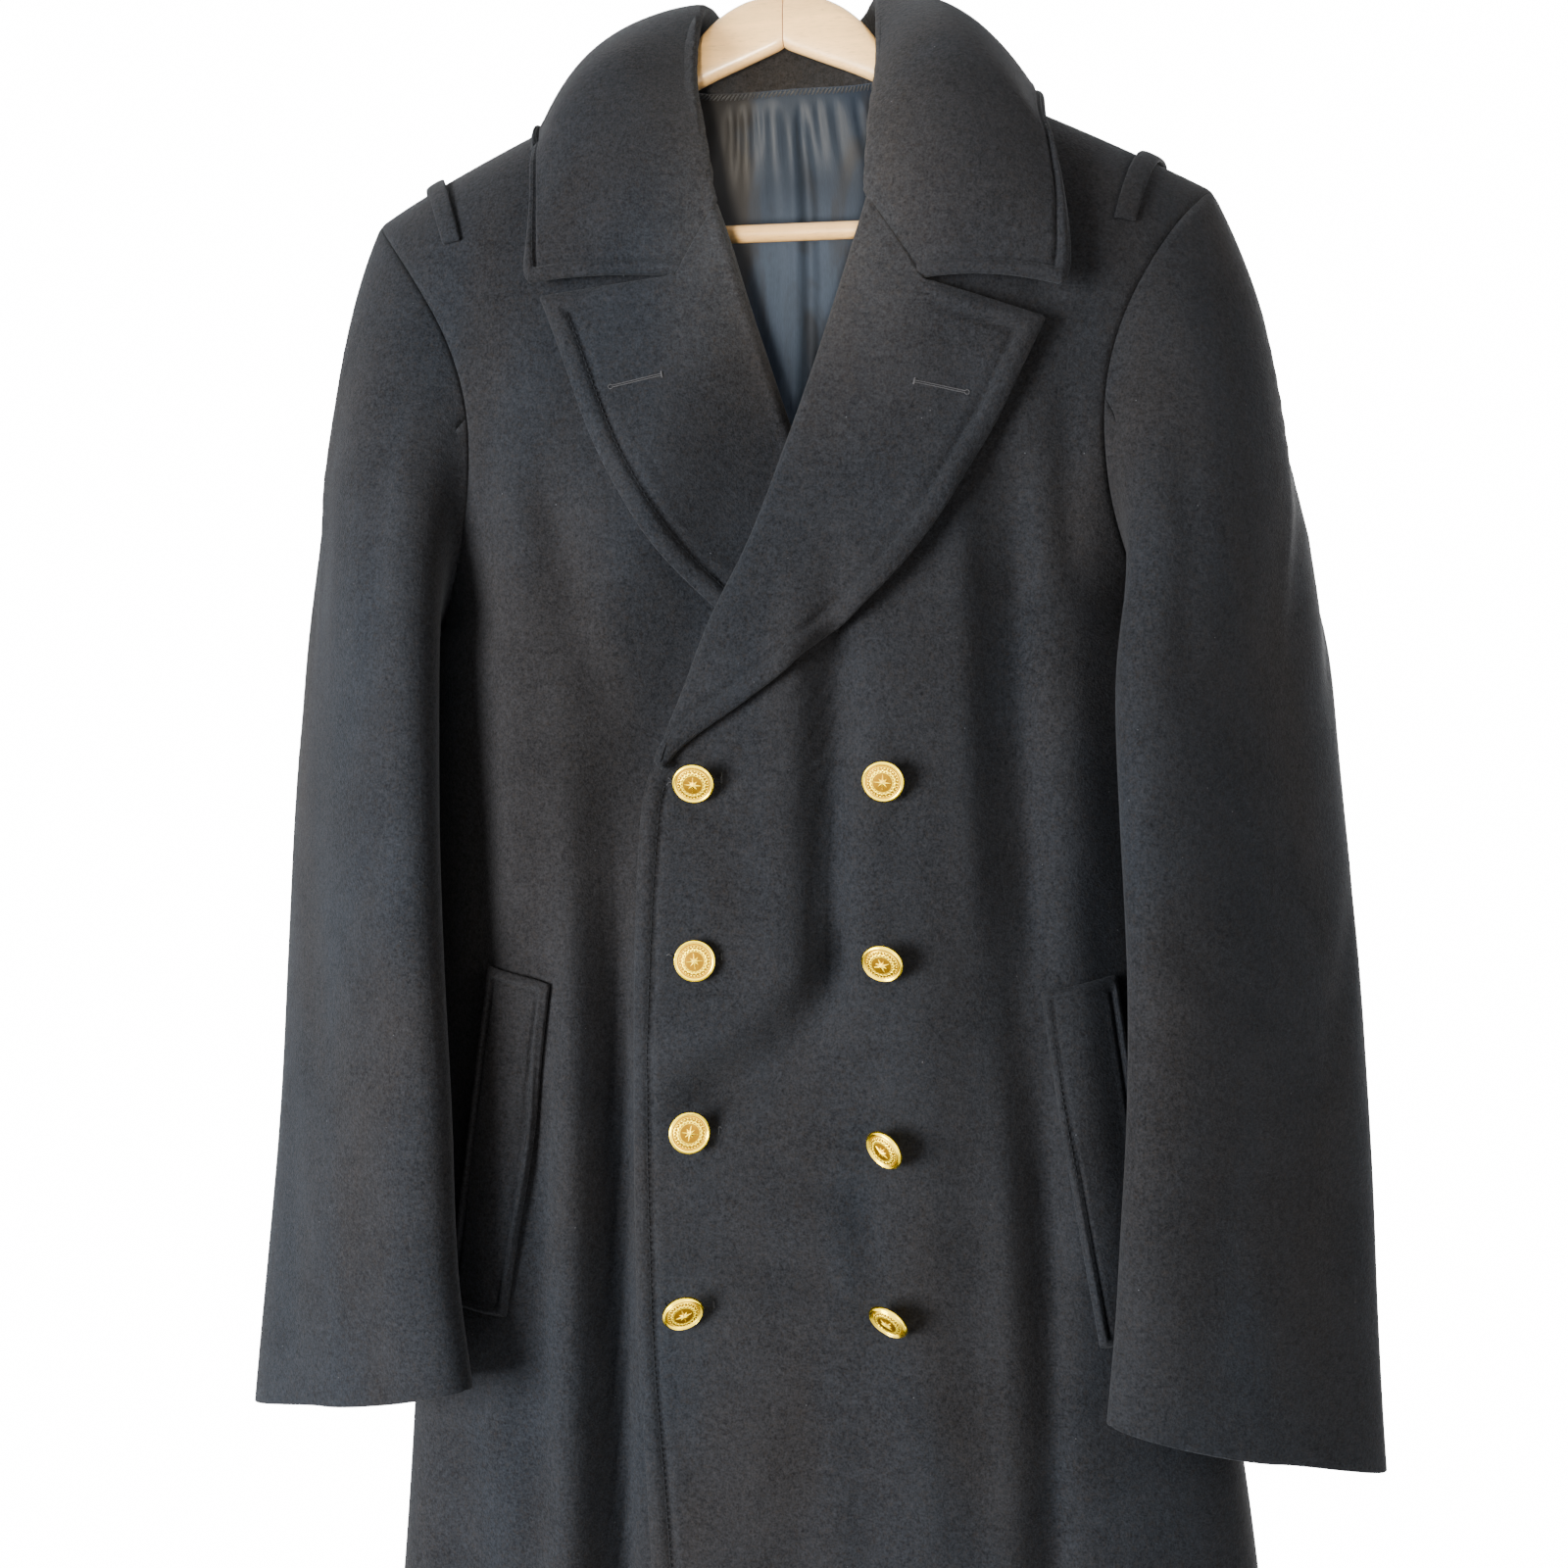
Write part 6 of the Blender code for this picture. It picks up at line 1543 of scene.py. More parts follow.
def ferrule_rings():
    """Sections of the ferrule, from its top down to its foot."""
    turn = np.linspace(0, 2 * math.pi, 56, endpoint=False)
    return [np.stack([r * np.cos(turn), r * np.sin(turn), np.full(len(turn), FERRULE_Z + h)], 1)
            for r, h in FERRULE]


# ---------------------------------------------------------------- stitches
def stitch_tree():
    """Geometry Nodes: small rounded stitches, evenly spaced along a path that carries 'outward'."""
    tree = bpy.data.node_groups.get("Stitches")
    if tree:
        return tree
    tree = bpy.data.node_groups.new("Stitches", "GeometryNodeTree")
    tree.is_modifier = True
    face = tree.interface
    face.new_socket("Geometry", in_out="INPUT", socket_type="NodeSocketGeometry")
    for name, default in (("Spacing", 0.003), ("Length", 0.0028), ("Width", 0.0006), ("Height", 0.0005),
                          ("Turn", 0.0)):
        socket = face.new_socket(name, in_out="INPUT", socket_type="NodeSocketFloat")
        socket.default_value = default
    face.new_socket("Seed", in_out="INPUT", socket_type="NodeSocketInt").default_value = 3
    face.new_socket("Thread", in_out="INPUT", socket_type="NodeSocketMaterial")
    face.new_socket("Geometry", in_out="OUTPUT", socket_type="NodeSocketGeometry")
    given = tree.nodes.new("NodeGroupInput").outputs
    curve = node(tree, "GeometryNodeMeshToCurve", {"Mesh": given["Geometry"]})
    spaced = node(tree, "GeometryNodeResampleCurve", {"Curve": curve.outputs[0], "Length": given["Spacing"]},
                  mode="LENGTH")
    ahead = node(tree, "GeometryNodeInputTangent")
    outward = node(tree, "GeometryNodeInputNamedAttribute", {"Name": "outward"}, data_type="FLOAT_VECTOR")
    first = node(tree, "FunctionNodeAlignRotationToVector", {"Vector": outward.outputs[0]}, axis="Z")
    second = node(tree, "FunctionNodeAlignRotationToVector",
                  {"Rotation": first.outputs[0], "Vector": ahead.outputs[0]}, axis="X", pivot_axis="Z")
    wobble = node(tree, "FunctionNodeRandomValue", {"Min": -0.12, "Max": 0.12, "Seed": given["Seed"]},
                  data_type="FLOAT")
    turn = node(tree, "ShaderNodeMath", {0: given["Turn"], 1: wobble.outputs[1]}, operation="ADD")
    about = node(tree, "ShaderNodeCombineXYZ", {"Z": turn.outputs[0]})
    spin = node(tree, "FunctionNodeEulerToRotation", {"Euler": about.outputs[0]})
    third = node(tree, "FunctionNodeRotateRotation",
                 {"Rotation": second.outputs[0], "Rotate By": spin.outputs[0]}, rotation_space="LOCAL")
    size = node(tree, "ShaderNodeCombineXYZ",
                {"X": given["Length"], "Y": given["Width"], "Z": given["Height"]})
    bead = node(tree, "GeometryNodeMeshUVSphere", {"Segments": 8, "Rings": 5, "Radius": 0.5})
    round_bead = node(tree, "GeometryNodeSetShadeSmooth", {"Geometry": bead.outputs[0]})
    stitch = node(tree, "GeometryNodeTransform",
                  {"Geometry": round_bead.outputs[0], "Scale": size.outputs[0]})
    placed = node(tree, "GeometryNodeInstanceOnPoints",
                  {"Points": spaced.outputs[0], "Instance": stitch.outputs[0], "Rotation": third.outputs[0]})
    real = node(tree, "GeometryNodeRealizeInstances", {"Geometry": placed.outputs[0]})
    finished = node(tree, "GeometryNodeSetMaterial",
                    {"Geometry": real.outputs[0], "Material": given["Thread"]})
    tree.links.new(finished.outputs[0], tree.nodes.new("NodeGroupOutput").inputs[0])
    return tree


def stitch_object(name, paths, thread, **sizes):
    """Sew stitches along paths of (place, outward) rows and keep them as one plain mesh."""
    spots, outwards, edges = [], [], []
    for path in paths:
        start = len(spots)
        spots += [tuple(p) for p in place(path[:, :3] + path[:, 3:] * 0.015)]
        outwards += list(path[:, 3:])
        edges += [(start + k, start + k + 1) for k in range(len(path) - 1)]
    data = bpy.data.meshes.new(name + "_path")
    data.from_pydata(spots, edges, [])
    data.attributes.new("outward", "FLOAT_VECTOR", "POINT").data.foreach_set(
        "vector", np.array(outwards, np.float32).ravel())
    thing = linked(name, data)
    sewing = thing.modifiers.new("stitches", "NODES")
    sewing.node_group = stitch_tree()
    inputs = {item.name: item.identifier for item in sewing.node_group.interface.items_tree
              if item.item_type == "SOCKET" and item.in_out == "INPUT"}
    for label, value in sizes.items():
        sewing[inputs[label.title()]] = value
    sewing[inputs["Thread"]] = bpy.data.materials[thread]
    depsgraph = bpy.context.evaluated_depsgraph_get()
    finished = bpy.data.meshes.new_from_object(thing.evaluated_get(depsgraph))
    thing.modifiers.clear()
    thing.data = finished
    finished.name = name
    bpy.data.meshes.remove(data)
    return thing


def resample_path(path, spacing):
    """A path of (place, outward) rows at an even, fine spacing."""
    lengths = run_lengths(path[:, :3])
    at = np.linspace(0, lengths[-1], max(3, int(lengths[-1] / spacing)))
    return np.stack([np.interp(at, lengths, path[:, k]) for k in range(6)], 1)


# ---------------------------------------------------------------- the walls of the coat
WALLS = {}


def fade_above(wall, low, high):
    return 1 - ramp(wall.points[..., 2], low, high)


SIDES = (1, "left"), (-1, "right")


def shell_walls():
    """Fronts, backs and sleeves, sewn together."""
    walls = []
    for side, name in SIDES:
        front = Wall(f"front_{name}", front_panel(side), (0, -1, 0))
        distance = edge_distance(front.points, ("first_column",))
        front.press(band_relief(distance, BAND) * fade_above(front, BREAK_Z - 1.2, BREAK_Z + 1.0))
        upper, under = sleeve_panels(side)
        walls += [front, Wall(f"back_{name}", back_panel(side), (0, 1, 0)),
                  Wall(f"sleeve_{name}_upper", upper, (side, 0, 0)),
                  Wall(f"sleeve_{name}_under", under, (-side, 0.2, 0))]
        for sleeve in walls[-2:]:
            columns, rows = sleeve.points.shape[:2]
            sleeve.plain = {(i, j) for i in (0, columns - 1) for j in range(4, rows)}
    sew(walls)
    return walls


def lapel_walls():
    walls = []
    for side, name in SIDES:
        wall = Wall(f"lapel_{name}", lapel_panel(side), (0, -1, 0), DOUBLE)
        reach = side * (wall.points[..., 0] - centre(wall.points[..., 2]))
        notch = LAPEL_TOP[side][0]
        top = edge_distance(wall.points, ("first_row",)) + 4.0 * (1 - ramp(reach, notch - 0.5, notch + 0.5))
        distance = np.minimum(edge_distance(wall.points, ("last_column",)), top)
        wall.inset = BAND * (1.06 if side < 0 else 0.95)
        wall.press(band_relief(distance, wall.inset) * (1 - fade_above(wall, BREAK_Z - 0.8, BREAK_Z + 1.0)))
        walls.append(wall)
    return walls


def collar_wall():
    wall = Wall("collar", collar_panel(), (0, 1, 0.4), DOUBLE)
    distance = edge_distance(wall.points, ("last_row", "first_column", "last_column"))
    wall.press(band_relief(distance, COLLAR_BAND))
    return [wall]


def lining_wall():
    return [Wall("lining_back", lining_panel(), (0, 1, 0), LINING, "lining")]


def lifted(wall, under, over):
    """Lift a wall off the cloth it was worked out on: its underside and its outside."""
    wall.inner = wall.points + wall.normals * under
    wall.points = wall.points + wall.normals * over
    return wall


def welt_walls():
    walls = [lifted(Wall(f"welt_{name}", welt_panel(side), (0, -1, 0)), WELT_UNDER, WELT_OVER)
             for side, name in SIDES]
    for wall in walls:
        distance = edge_distance(wall.points, ALL_SIDES)
        wall.press(0.95 * band_relief(distance, WELT_BAND))
    return walls


def loop_walls():
    return [lifted(Wall(f"shoulder_loop_{name}", loop_panel(side), (0, 0, 1)), 0.0, LOOP_CLOTH)
            for side, name in SIDES]


MAKERS = {"shell": shell_walls, "lapels": lapel_walls, "collar": collar_wall, "lining": lining_wall,
          "welts": welt_walls, "loops": loop_walls}


def walls_of(group):
    """The walls of a group, worked out once."""
    if group not in WALLS:
        WALLS[group] = MAKERS[group]()
    return WALLS[group]


def wall_named(name):
    for group in MAKERS:
        for wall in walls_of(group):
            if wall.name == name:
                return wall
    raise ValueError(f"the coat has no wall named {name}")


def lie_on(wall, points, above=0.0):
    """Rows of (place, outward) where points, given by x and z, meet a wall from the front."""
    columns, rows = wall.points.shape[:2]
    index = np.arange(columns * rows).reshape(columns, rows)
    quads = np.stack([index[:-1, :-1], index[1:, :-1], index[1:, 1:], index[:-1, 1:]], -1).reshape(-1, 4)
    tree = BVHTree.FromPolygons(wall.points.reshape(-1, 3).tolist(), quads.tolist())
    found = []
    for x, z in points:
        spot, normal, _, _ = tree.ray_cast(Vector((x, -40.0, z)), Vector((0.0, 1.0, 0.0)))
        if spot is None:
            raise ValueError(f"nothing of {wall.name} lies at {x:.1f}, {z:.1f}")
        if normal.y > 0:
            normal.negate()
        found.append((*(spot + normal * above), *normal))
    return np.array(found)


# ---------------------------------------------------------------- stitched details
def keyhole(start, end, eyelet):
    """Outline of a keyhole buttonhole from its eyelet (start) to its bar (end), as (x, z) points."""
    start, end = np.array(start, float), np.array(end, float)
    ahead = (end - start) / np.linalg.norm(end - start)
    aside = np.array([-ahead[1], ahead[0]])
    lip = 0.05
    turns = np.linspace(0.42, 2 * math.pi - 0.42, 15)
    ring = [start + eyelet * (ahead * math.cos(t) + aside * math.sin(t)) for t in turns]
    far = np.linspace(0.0, 1.0, 12)[:, None]
    near_low, near_high = ring[-1], ring[0]
    low = near_low + (end - aside * lip - near_low) * np.minimum(far * 1.0, 1.0)
    high = near_high + (end + aside * lip - near_high) * far
    return np.concatenate([high[::-1], ring, low]), (end + aside * 0.15, end - aside * 0.15)


def slit_object(name, wall, start, end, width):
    """The dark cut inside a buttonhole: a thin strip of painted shade where the opened cut lies in shadow."""
    shares = np.linspace(0, 1, 14)
    start, end = np.array(start), np.array(end)
    line = lie_on(wall, [start + (end - start) * t for t in shares], 0.004)
    spots = line[:, :3]
    rings = []
    turn = np.linspace(0, 2 * math.pi, 8, endpoint=False)[:, None]
    for spot, ahead, outward, t in zip(spots, unit(np.gradient(spots, axis=0)), line[:, 3:], shares):
        aside = unit(np.cross(ahead, outward))
        swell = 0.55 * math.sin(math.pi * min(1.0, t + 0.04))
        wide = width * (1.7 * math.exp(-(t / 0.10) ** 2) + swell + 0.12)
        rings.append(spot + aside * wide * np.cos(turn) + outward * 0.010 * np.sin(turn))
    return closed_tube(name, rings, "slit")


def join(name, things):
    """Make one mesh piece of several."""
    mesh = bmesh.new()
    slot = things[0].data.materials[0].name
    for thing in things:
        data = thing.data
        mesh.from_mesh(data)
        bpy.data.objects.remove(thing)
        bpy.data.meshes.remove(data)
    data = bpy.data.meshes.new(name)
    mesh.to_mesh(data)
    mesh.free()
    return linked(name, data, slot)


def loose_thread(name, wall, start, bends):
    """A short frayed end of thread, lifting off the cloth; each bend is aside, up and out."""
    path = lie_on(wall, [np.array(start) + np.array(b[:2]) for b in bends], 0.0)
    spots = path[:, :3] + path[:, 3:] * np.array([[b[2]] for b in bends])
    keys = np.arange(len(spots), dtype=float)
    fine = smooth(np.concatenate([keys[:, None], spots], 1), np.linspace(0, keys[-1], 14))
    return closed_tube(name, tube_rings(fine, 0.022 * np.linspace(1.0, 0.6, 14), 6), "thread_pale")


FRONT_BUTTONHOLES = ((-4.45, 0.12, -1.90, 0.20), (-4.45, -9.18, -1.90, -9.10), (-4.62, -18.40, -2.05, -18.30),
                     (-4.85, -27.55, -2.30, -27.45))
# lapel buttonholes: eyelet x z, bar x z
LAPEL_BUTTONHOLES = {"lapel_right": (-7.75, 21.0, -4.98, 21.55), "lapel_left": (11.0, 20.15, 8.3, 20.75)}
# where a frayed end of thread leaves the front (x z), and its two bends
LOOSE_ENDS = (((-4.62, 0.18), (-0.08, 0.12, 0.16), (-0.22, 0.16, 0.10)),
              ((-4.62, 0.10), (-0.12, -0.05, 0.14), (-0.18, -0.20, 0.22)),
              ((-4.62, -9.12), (-0.10, 0.10, 0.16), (-0.26, 0.04, 0.10)),
              ((-1.95, 0.30), (0.08, 0.14, 0.12), (0.05, 0.30, 0.06)),
              ((-2.1, -18.2), (0.10, 0.10, 0.10), (0.20, 0.02, 0.06)))


def buttonhole_paths(wall, hole):
    outline, tack = keyhole(hole[:2], hole[2:], 0.12)
    return (resample_path(lie_on(wall, outline, 0.02), 0.03),
            resample_path(lie_on(wall, [tack[0], (tack[0] + tack[1]) / 2, tack[1]], 0.03), 0.03))


def keep(thing, nodes=()):
    """Set a finished piece on the coat's body, and hide the frame's parts that it stands for."""
    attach(thing, "root")
    if nodes:
        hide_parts(*nodes)
    return thing


def cloth_pieces(group):
    """Make every wall of a group a finished piece, with its flat cut and what carries it."""
    for wall in walls_of(group):
        keep(wall_object(wall), (wall.name,))
    return {"FINISHED"}


# ---------------------------------------------------------------- settings
def colour(name, description, default):
    return bpy.props.FloatVectorProperty(name=name, description=description, default=default, size=3, min=0.0,
                                         max=1.0, subtype="COLOR")


def number(name, description, default, low, high, **more):
    return bpy.props.FloatProperty(name=name, description=description, default=default, min=low, max=high,
                                   **more)


class CoatCloth(bpy.types.PropertyGroup):
    """Cloth sizes and colours."""

    wool_colour: colour("Wool", "Colour of the melton", (0.0160, 0.0160, 0.0172))
    warm_fibre_colour: colour("Warm fibres", "Colour of the browner fibres in the nap", (0.034, 0.026, 0.020))
    lint_colour: colour("Lint", "Colour of the odd pale fibre", (0.20, 0.20, 0.21))
    lining_colour: colour("Lining", "Colour of the satin lining", (0.028, 0.039, 0.060))
    # Colour of the painted shade of the facing, laid on the lining.
    facing_shade_colour: colour("Painted facing shade", "Colour of the painted shade of the facing at one side of the lining", (0.020, 0.018, 0.016))
    bloom: number("Bloom", "Soft light caught by the nap", 0.06, 0.0, 1.0, subtype="FACTOR")
    nap_grain: number("Nap grain", "Tufts of nap in a metre", 860.0, 100.0, 4000.0)
    nap_clouds: number("Nap clouds", "Clouds of tone in a metre", 30.0, 1.0, 400.0)
    nap_depth: number("Nap depth", "Height of the nap", 0.0010, 0.0, 0.005, unit="LENGTH")
    stitch_spacing: number("Stitch spacing", "From one topstitch to the next", 0.0034, 0.001, 0.02,
                           unit="LENGTH")
    stitch_width: number("Stitch width", "Thickness of the topstitches", 0.00045, 0.0001, 0.003,
                         unit="LENGTH")


class CoatTrim(bpy.types.PropertyGroup):
    """Buttons and thread."""

    gilt_colour: colour("Gilt", "Colour of the polished gilt", (1.0, 0.72, 0.012))
    recess_colour: colour("Recesses", "Colour of the gilt in the recesses", (0.16, 0.065, 0.003))
    recess_tarnish: number("Tarnish", "How dark the recesses are", 0.95, 0.0, 1.0, subtype="FACTOR")
    studs: bpy.props.IntProperty(name="Studs", description="Small studs round a button", default=30,
                                 min=8, max=60)
    navy_thread: colour("Navy thread", "Colour of the topstitching", (0.008, 0.009, 0.011))
    grey_thread: colour("Grey thread", "Colour of the neck stitches and bars", (0.045, 0.046, 0.049))
    pale_thread: colour("Pale thread", "Colour of the lapels' buttonholes", (0.085, 0.083, 0.085))


class CoatHanger(bpy.types.PropertyGroup):
    """Hanger finish."""

    wood_colour: colour("Wood", "Colour of the varnished beech", (1.0, 0.62, 0.24))
    steel_colour: colour("Steel", "Colour of the plated steel", (0.66, 0.66, 0.67))


class CoatStage(bpy.types.PropertyGroup):
    """Floor, lights and camera."""

    floor_colour: colour("Floor", "Colour of the floor", (0.86, 0.86, 0.86))
    floor_drop: number("Floor drop", "From the hem down to the floor", 0.48, 0.01, 2.0, unit="LENGTH")
    floor_size: number("Floor size", "Side of the square floor", 2.2, 0.5, 60.0, unit="LENGTH")
    sky: number("Room light", "Light from the pale room", 0.14, 0.0, 5.0)
    backdrop: number("Backdrop", "Brightness of the room as it is seen", 16.0, 0.0, 20.0)
    shine: number("Shine", "Brightness of the room as polished metal sees it", 4.2, 0.0, 20.0)
    key_power: number("Key light", "Large light at the upper left", 138.0, 0.0, 2000.0, unit="POWER")
    fill_power: number("Fill light", "Weak light at the right", 18.0, 0.0, 2000.0, unit="POWER")
    back_power: number("Back light", "Large light behind the coat", 90.0, 0.0, 2000.0, unit="POWER")
    neck_power: number("Neck light", "Small light into the neck", 290.0, 0.0, 2000.0, unit="POWER")
    lens: number("Lens", "Focal length on a 36 mm sensor", 39.94, 10.0, 200.0, unit="CAMERA")


# ---------------------------------------------------------------- operators
class COAT_OT_shell(bpy.types.Operator):
    """Sew the two fronts, the two back halves and the two-piece sleeves"""

    bl_idname = "coat.shell"
    bl_label = "Fronts, backs and sleeves"

    def execute(self, context):
        make_melton(context.scene.coat_cloth)
        return cloth_pieces("shell")


class COAT_OT_lapels(bpy.types.Operator):
    """Turn back the two peaked lapels over their rolls"""

    bl_idname = "coat.lapels"
    bl_label = "Lapels"

    def execute(self, context):
        return cloth_pieces("lapels")


class COAT_OT_collar(bpy.types.Operator):
    """Set the collar on the neck seam: stand, roll and fall in one wall"""

    bl_idname = "coat.collar"
    bl_label = "Collar"

    def execute(self, context):
        return cloth_pieces("collar")


class COAT_OT_lining(bpy.types.Operator):
    """Hang the satin lining in the back, with its centre pleat and tucks"""

    bl_idname = "coat.lining"
    bl_label = "Back lining"

    def execute(self, context):
        make_satin(context.scene.coat_cloth)
        return cloth_pieces("lining")


class COAT_OT_welts(bpy.types.Operator):
    """Lay the two slanted pocket welts on the fronts"""

    bl_idname = "coat.welts"
    bl_label = "Pocket welts"

    def execute(self, context):
        return cloth_pieces("welts")


class COAT_OT_loops(bpy.types.Operator):
    """Lay the narrow shoulder loops over the shoulder seams"""

    bl_idname = "coat.loops"
    bl_label = "Shoulder loops"

    def execute(self, context):
        return cloth_pieces("loops")


class COAT_OT_stitching(bpy.types.Operator):
    """Sew the topstitched edges, the buttonholes and the hand stitches round the neck"""

    bl_idname = "coat.stitching"
    bl_label = "Stitching"

    def execute(self, context):
        cloth, trim = context.scene.coat_cloth, context.scene.coat_trim
        make_thread("thread_navy", trim.navy_thread)
        make_thread("thread_pale", trim.pale_thread)
        make_thread("thread_grey", trim.grey_thread)
        # Near-black material for the painted shade in the buttonholes' cuts.
        make_thread("slit", (0.003, 0.003, 0.004))
        run = {"spacing": cloth.stitch_spacing, "length": cloth.stitch_spacing * 0.82,
               "width": cloth.stitch_width, "height": cloth.stitch_width * 0.8}
        lines = {}
        for side in ("left", "right"):
            front = inset_paths(wall_named(f"front_{side}"), BAND, ("first_column",))
            lines[f"edge_stitching_{side}"] = ([path[path[:, 2] < BREAK_Z - 0.6] for path in front]
                                               + lapel_paths(wall_named(f"lapel_{side}")))
            lines[f"welt_stitching_{side}"] = inset_paths(wall_named(f"welt_{side}"), WELT_BAND, ALL_SIDES)
        lines["collar_stitching"] = inset_paths(wall_named("collar"), COLLAR_BAND,
                                                ("last_row", "first_column", "last_column"))
        for name, paths in lines.items():
            keep(stitch_object(name, paths, "thread_navy", **run))
        self.buttonholes()
        self.neck_stitches()
        ends = [loose_thread(f"end_{k}", wall_named("front_left"), start, ((0, 0, 0.02), *bends))
                for k, (start, *bends) in enumerate(LOOSE_ENDS)]
        keep(join("loose_threads", ends))
        return {"FINISHED"}

    def buttonholes(self):
        purl = {"spacing": 0.00060, "length": 0.00055, "width": 0.0006, "height": 0.0005}
        bar = {"spacing": 0.0006, "length": 0.0006, "width": 0.0011, "height": 0.0008}
        holes = {"front": [("front_left", hole) for hole in FRONT_BUTTONHOLES],
                 "lapel": list(LAPEL_BUTTONHOLES.items())}
        for kind, purl_thread, bar_thread in (("front", "thread_navy", "thread_grey"),
                                              ("lapel", "thread_pale", "thread_pale")):
            outlines, bars = zip(*(buttonhole_paths(wall_named(name), hole) for name, hole in holes[kind]))
            keep(stitch_object(f"{kind}_buttonholes", outlines, purl_thread, **purl))
            keep(stitch_object(f"{kind}_buttonhole_bars", bars, bar_thread, **bar))
        slit_shades = [slit_object(f"slit_{k}", wall_named(name), hole[:2], hole[2:], 0.085)
                 for k, (name, hole) in enumerate(holes["front"] + holes["lapel"])]
        keep(join("buttonhole_cuts", slit_shades))

    def neck_stitches(self):
        path = inset_paths(wall_named("lining_back"), 0.16, ("last_row",))[0]
        path = path[np.abs(path[:, 0]) < NECK_X - 0.3]
        path[:, :3] -= path[:, 3:] * (LINING + 0.02)
        path[:, 3:] *= -1
        keep(stitch_object("neck_stitching", [path], "thread_grey", spacing=0.0026, length=0.0052,
                           width=0.0013, height=0.0011, turn=0.9))


class COAT_OT_buttons(bpy.types.Operator):
    """Strike the eight gilt buttons and sew them on by their shanks"""

    bl_idname = "coat.buttons"
    bl_label = "Buttons"

    def execute(self, context):
        trim = context.scene.coat_trim
        make_gilt(trim)
        threads = []
        for name, origin, aim, spot in button_stands():
            piece = button_mesh(f"gilt_{name}", origin, aim, math.radians(BUTTON_ROLL[name]), trim.studs)
            keep(piece, (f"button_{name}",))
            start = origin - aim * 0.12
            path = [start, start + (spot - start) * 0.5 - aim * 0.03, spot + (0, 0.08, 0)]
            rings = tube_rings(path, (0.17, 0.13, 0.16), 12)
            threads.append(closed_tube(f"thread_{name}", rings, "thread_navy"))
        keep(join("button_threads", threads))
        return {"FINISHED"}


class COAT_OT_hanger(bpy.types.Operator):
    """Shape the wooden hanger, its bar, ferrule and hook"""

    bl_idname = "coat.hanger"
    bl_label = "Hanger"

    def execute(self, context):
        make_wood(context.scene.coat_hanger)
        make_steel(context.scene.coat_hanger)
        for side, name in SIDES:
            keep(closed_tube(f"wooden_arm_{name}", arm_rings(side), "wood"), (f"hanger_arm_{name}",))
        bar = [bar_place(x) for x in np.linspace(-BAR_HALF, BAR_HALF, 60)]
        keep(closed_tube("trouser_bar", tube_rings(bar, BAR_R, 36), "wood"), ("hanger_bar",))
        keep(closed_tube("ferrule", ferrule_rings(), "steel"), ("hanger_ferrule",))
        path, sizes = rounded_ends(hook_path(), HOOK_WIRE_R)
        keep(closed_tube("hook_wire", tube_rings(path, sizes, 20), "steel"), ("hanger_hook",))
        return {"FINISHED"}


# lights: place, target, size, tint, then the cone (degrees) and the narrowing of a spot
LIGHTS = {
    "key": ((-1.50, -1.74, -0.72), (0.05, 0.0, -0.5), 1.2, (0.94, 0.97, 1.0)),
    "fill": ((1.7, -1.5, -0.2), (0.1, 0.0, -0.5), 1.0, (1.0, 0.93, 0.85)),
    "back": ((0.7, 1.9, -0.1), (0.0, 0.0, -0.6), 1.4, (1.0, 0.98, 0.95)),
    "neck": ((0.14, -1.05, -0.55), (0.002, 0.05, -0.14), 0.06, (1.0, 0.90, 0.74), 14.0, 0.36),
}


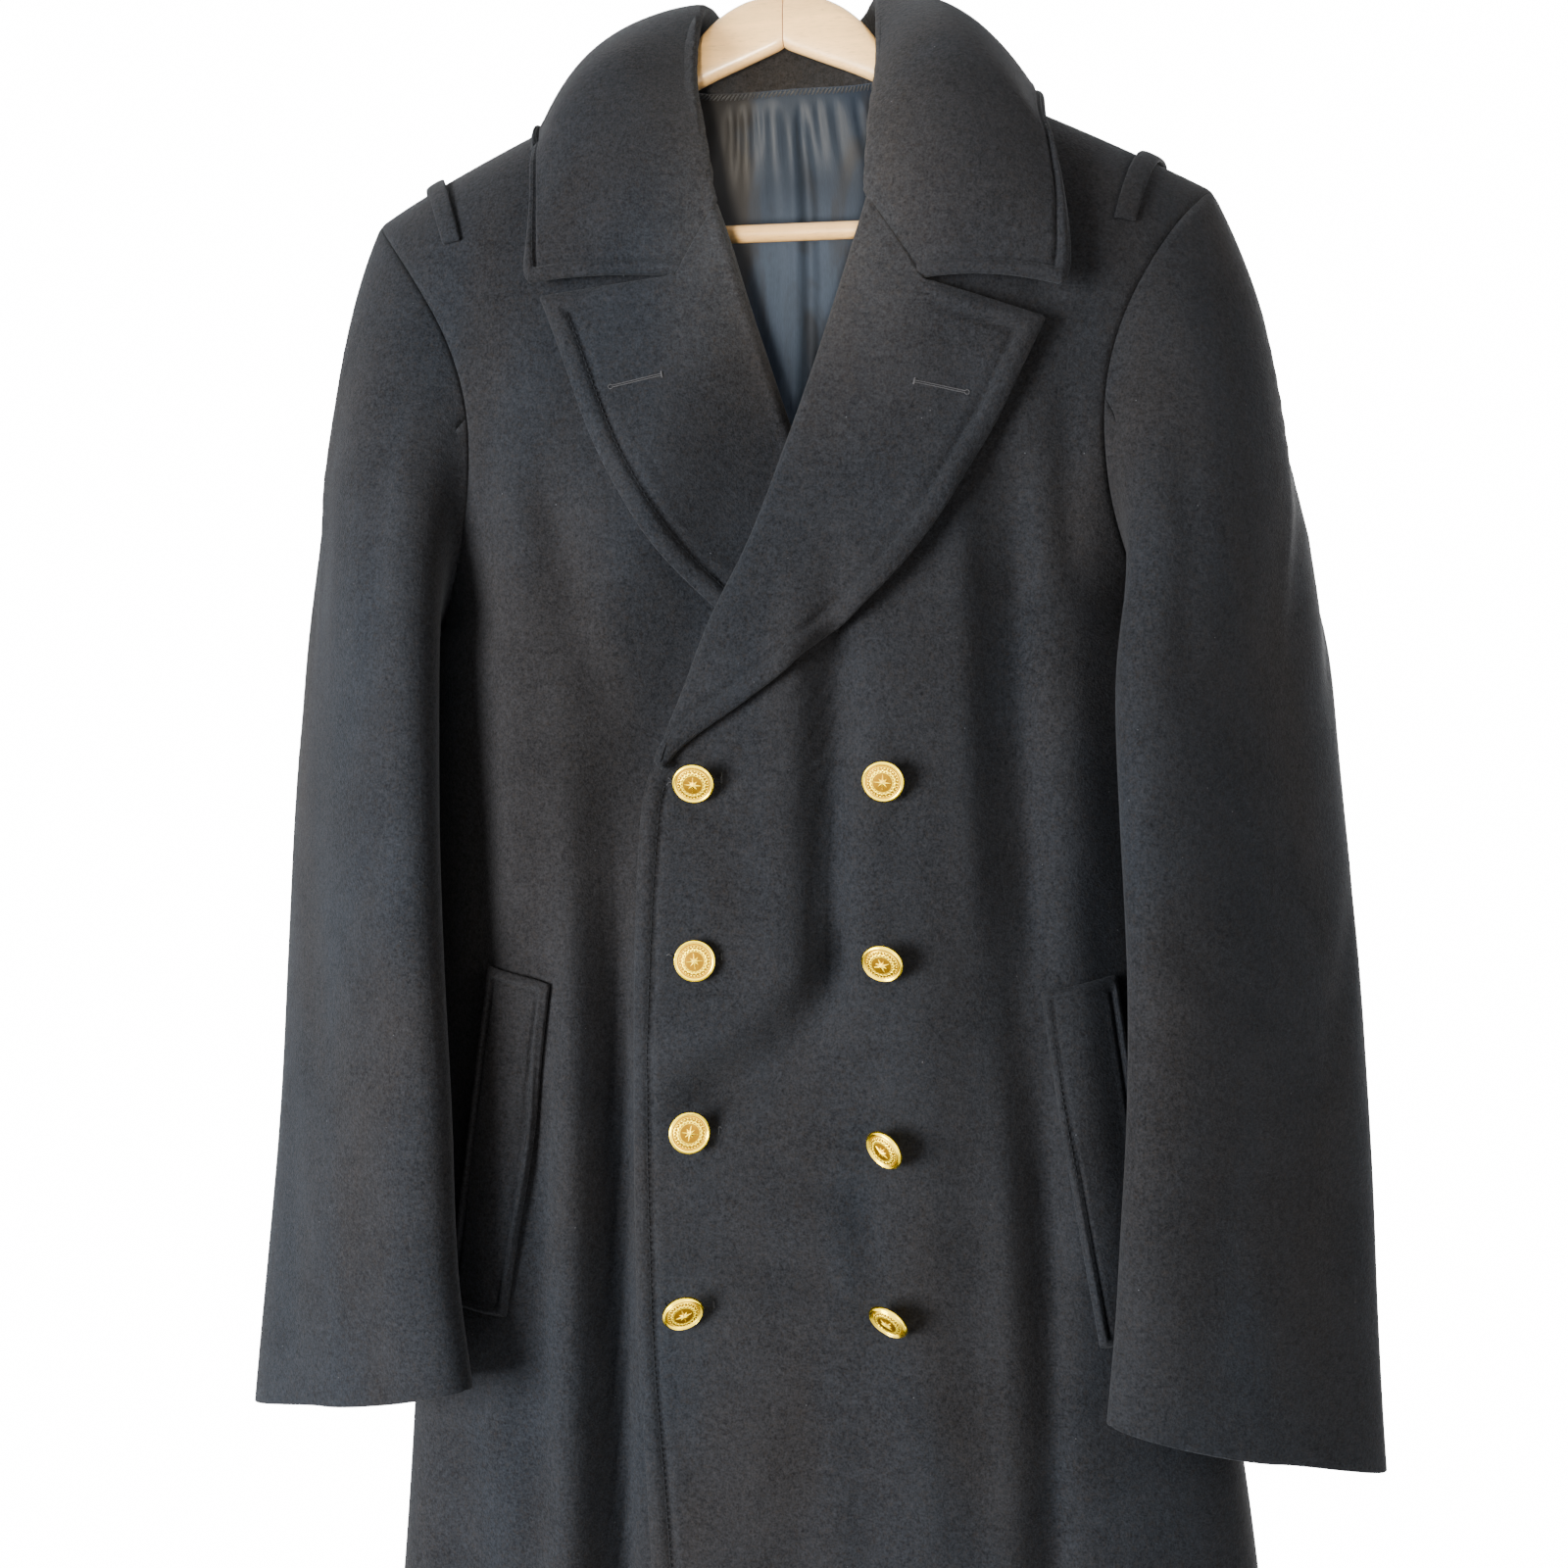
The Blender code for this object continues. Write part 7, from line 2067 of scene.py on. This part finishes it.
class COAT_OT_stage(bpy.types.Operator):
    """Set the pale floor, the soft lights and the camera"""

    bl_idname = "coat.stage"
    bl_label = "Floor, lights and camera"

    def execute(self, context):
        stage = context.scene.coat_stage
        make_floor(stage)
        low = (HEM_Z - RAIL_Z) * CM - stage.floor_drop
        half = stage.floor_size / 2
        data = bpy.data.meshes.new("floor")
        data.from_pydata([(-half, -half, low), (half, -half, low), (half, half, low), (-half, half, low)], [],
                         [(0, 1, 2, 3)])
        linked("floor", data, "floor")
        self.room(context.scene, stage)
        for name, settings in LIGHTS.items():
            self.light(f"{name}_light", getattr(stage, f"{name}_power"), *settings)
        camera_data = bpy.data.cameras.new("camera")
        camera_data.lens = stage.lens
        camera_data.sensor_width = 36.0
        camera_data.clip_start = 0.05
        camera = linked("camera", camera_data)
        turn = math.radians(CAMERA_TURN)
        camera.location = (CAMERA_AWAY * math.sin(turn), -CAMERA_AWAY * math.cos(turn), -RAIL_Z * CM)
        camera.rotation_euler = (math.pi / 2, 0.0, turn)
        context.scene.camera = camera
        return {"FINISHED"}

    def room(self, scene, stage):
        world = bpy.data.worlds.new("pale_room")
        world.use_nodes = True
        tree = world.node_tree
        back = tree.nodes["Background"]
        back.inputs["Color"].default_value = (1.0, 1.0, 1.0, 1.0)
        ray = node(tree, "ShaderNodeLightPath").outputs
        strength = spread(tree, ray["Is Camera Ray"], 0.0, 1.0, stage.sky, stage.backdrop)
        strength = total(tree, strength, times(tree, ray["Is Glossy Ray"], stage.shine))
        tree.links.new(strength, back.inputs["Strength"])
        scene.world = world

    def light(self, name, power, place_at, target, size, tint, cone=None, narrow=1.0):
        data = bpy.data.lights.new(name, "SPOT" if cone else "AREA")
        data.energy, data.color = power, tint
        if cone:
            data.spot_size, data.spot_blend, data.shadow_soft_size = math.radians(cone), 1.0, size
        else:
            data.shape, data.size = "DISK", size
        thing = linked(name, data)
        thing.location = place_at
        thing.scale[0] = narrow
        thing.rotation_euler = (Vector(target) - Vector(place_at)).to_track_quat("-Z", "Y").to_euler()


class COAT_PT_panel(bpy.types.Panel):
    """Sizes, colours and pieces of the coat"""

    bl_label = "Bridge coat"
    bl_idname = "COAT_PT_panel"
    bl_space_type = "VIEW_3D"
    bl_region_type = "UI"
    bl_category = "Coat"

    def draw(self, context):
        for name in SETTINGS:
            group = getattr(context.scene, name)
            box = self.layout.box()
            for label in group.bl_rna.properties.keys():
                if label not in ("rna_type", "name"):
                    box.prop(group, label)
        for operator in OPERATORS:
            self.layout.operator(operator.bl_idname)


SETTINGS = {"coat_cloth": CoatCloth, "coat_trim": CoatTrim, "coat_hanger": CoatHanger,
            "coat_stage": CoatStage}
OPERATORS = (COAT_OT_shell, COAT_OT_lapels, COAT_OT_collar, COAT_OT_lining, COAT_OT_welts, COAT_OT_loops,
             COAT_OT_stitching, COAT_OT_buttons, COAT_OT_hanger, COAT_OT_stage)


def register():
    for made in (*SETTINGS.values(), *OPERATORS, COAT_PT_panel):
        bpy.utils.register_class(made)
    for name, group in SETTINGS.items():
        setattr(bpy.types.Scene, name, bpy.props.PointerProperty(type=group))


def unregister():
    for name in SETTINGS:
        delattr(bpy.types.Scene, name)
    for made in reversed((*SETTINGS.values(), *OPERATORS, COAT_PT_panel)):
        bpy.utils.unregister_class(made)


def corners(box):
    return [[float(value) for value in corner] for corner in box]


def main():
    register()
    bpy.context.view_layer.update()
    bpy.ops.coat.shell()
    bpy.ops.coat.lapels()
    bpy.ops.coat.collar()
    bpy.ops.coat.lining()
    bpy.ops.coat.welts()
    bpy.ops.coat.loops()
    bpy.ops.coat.stitching()
    bpy.ops.coat.buttons()
    bpy.ops.coat.hanger()
    bpy.ops.coat.stage()


if __name__ == "__main__":
    main()
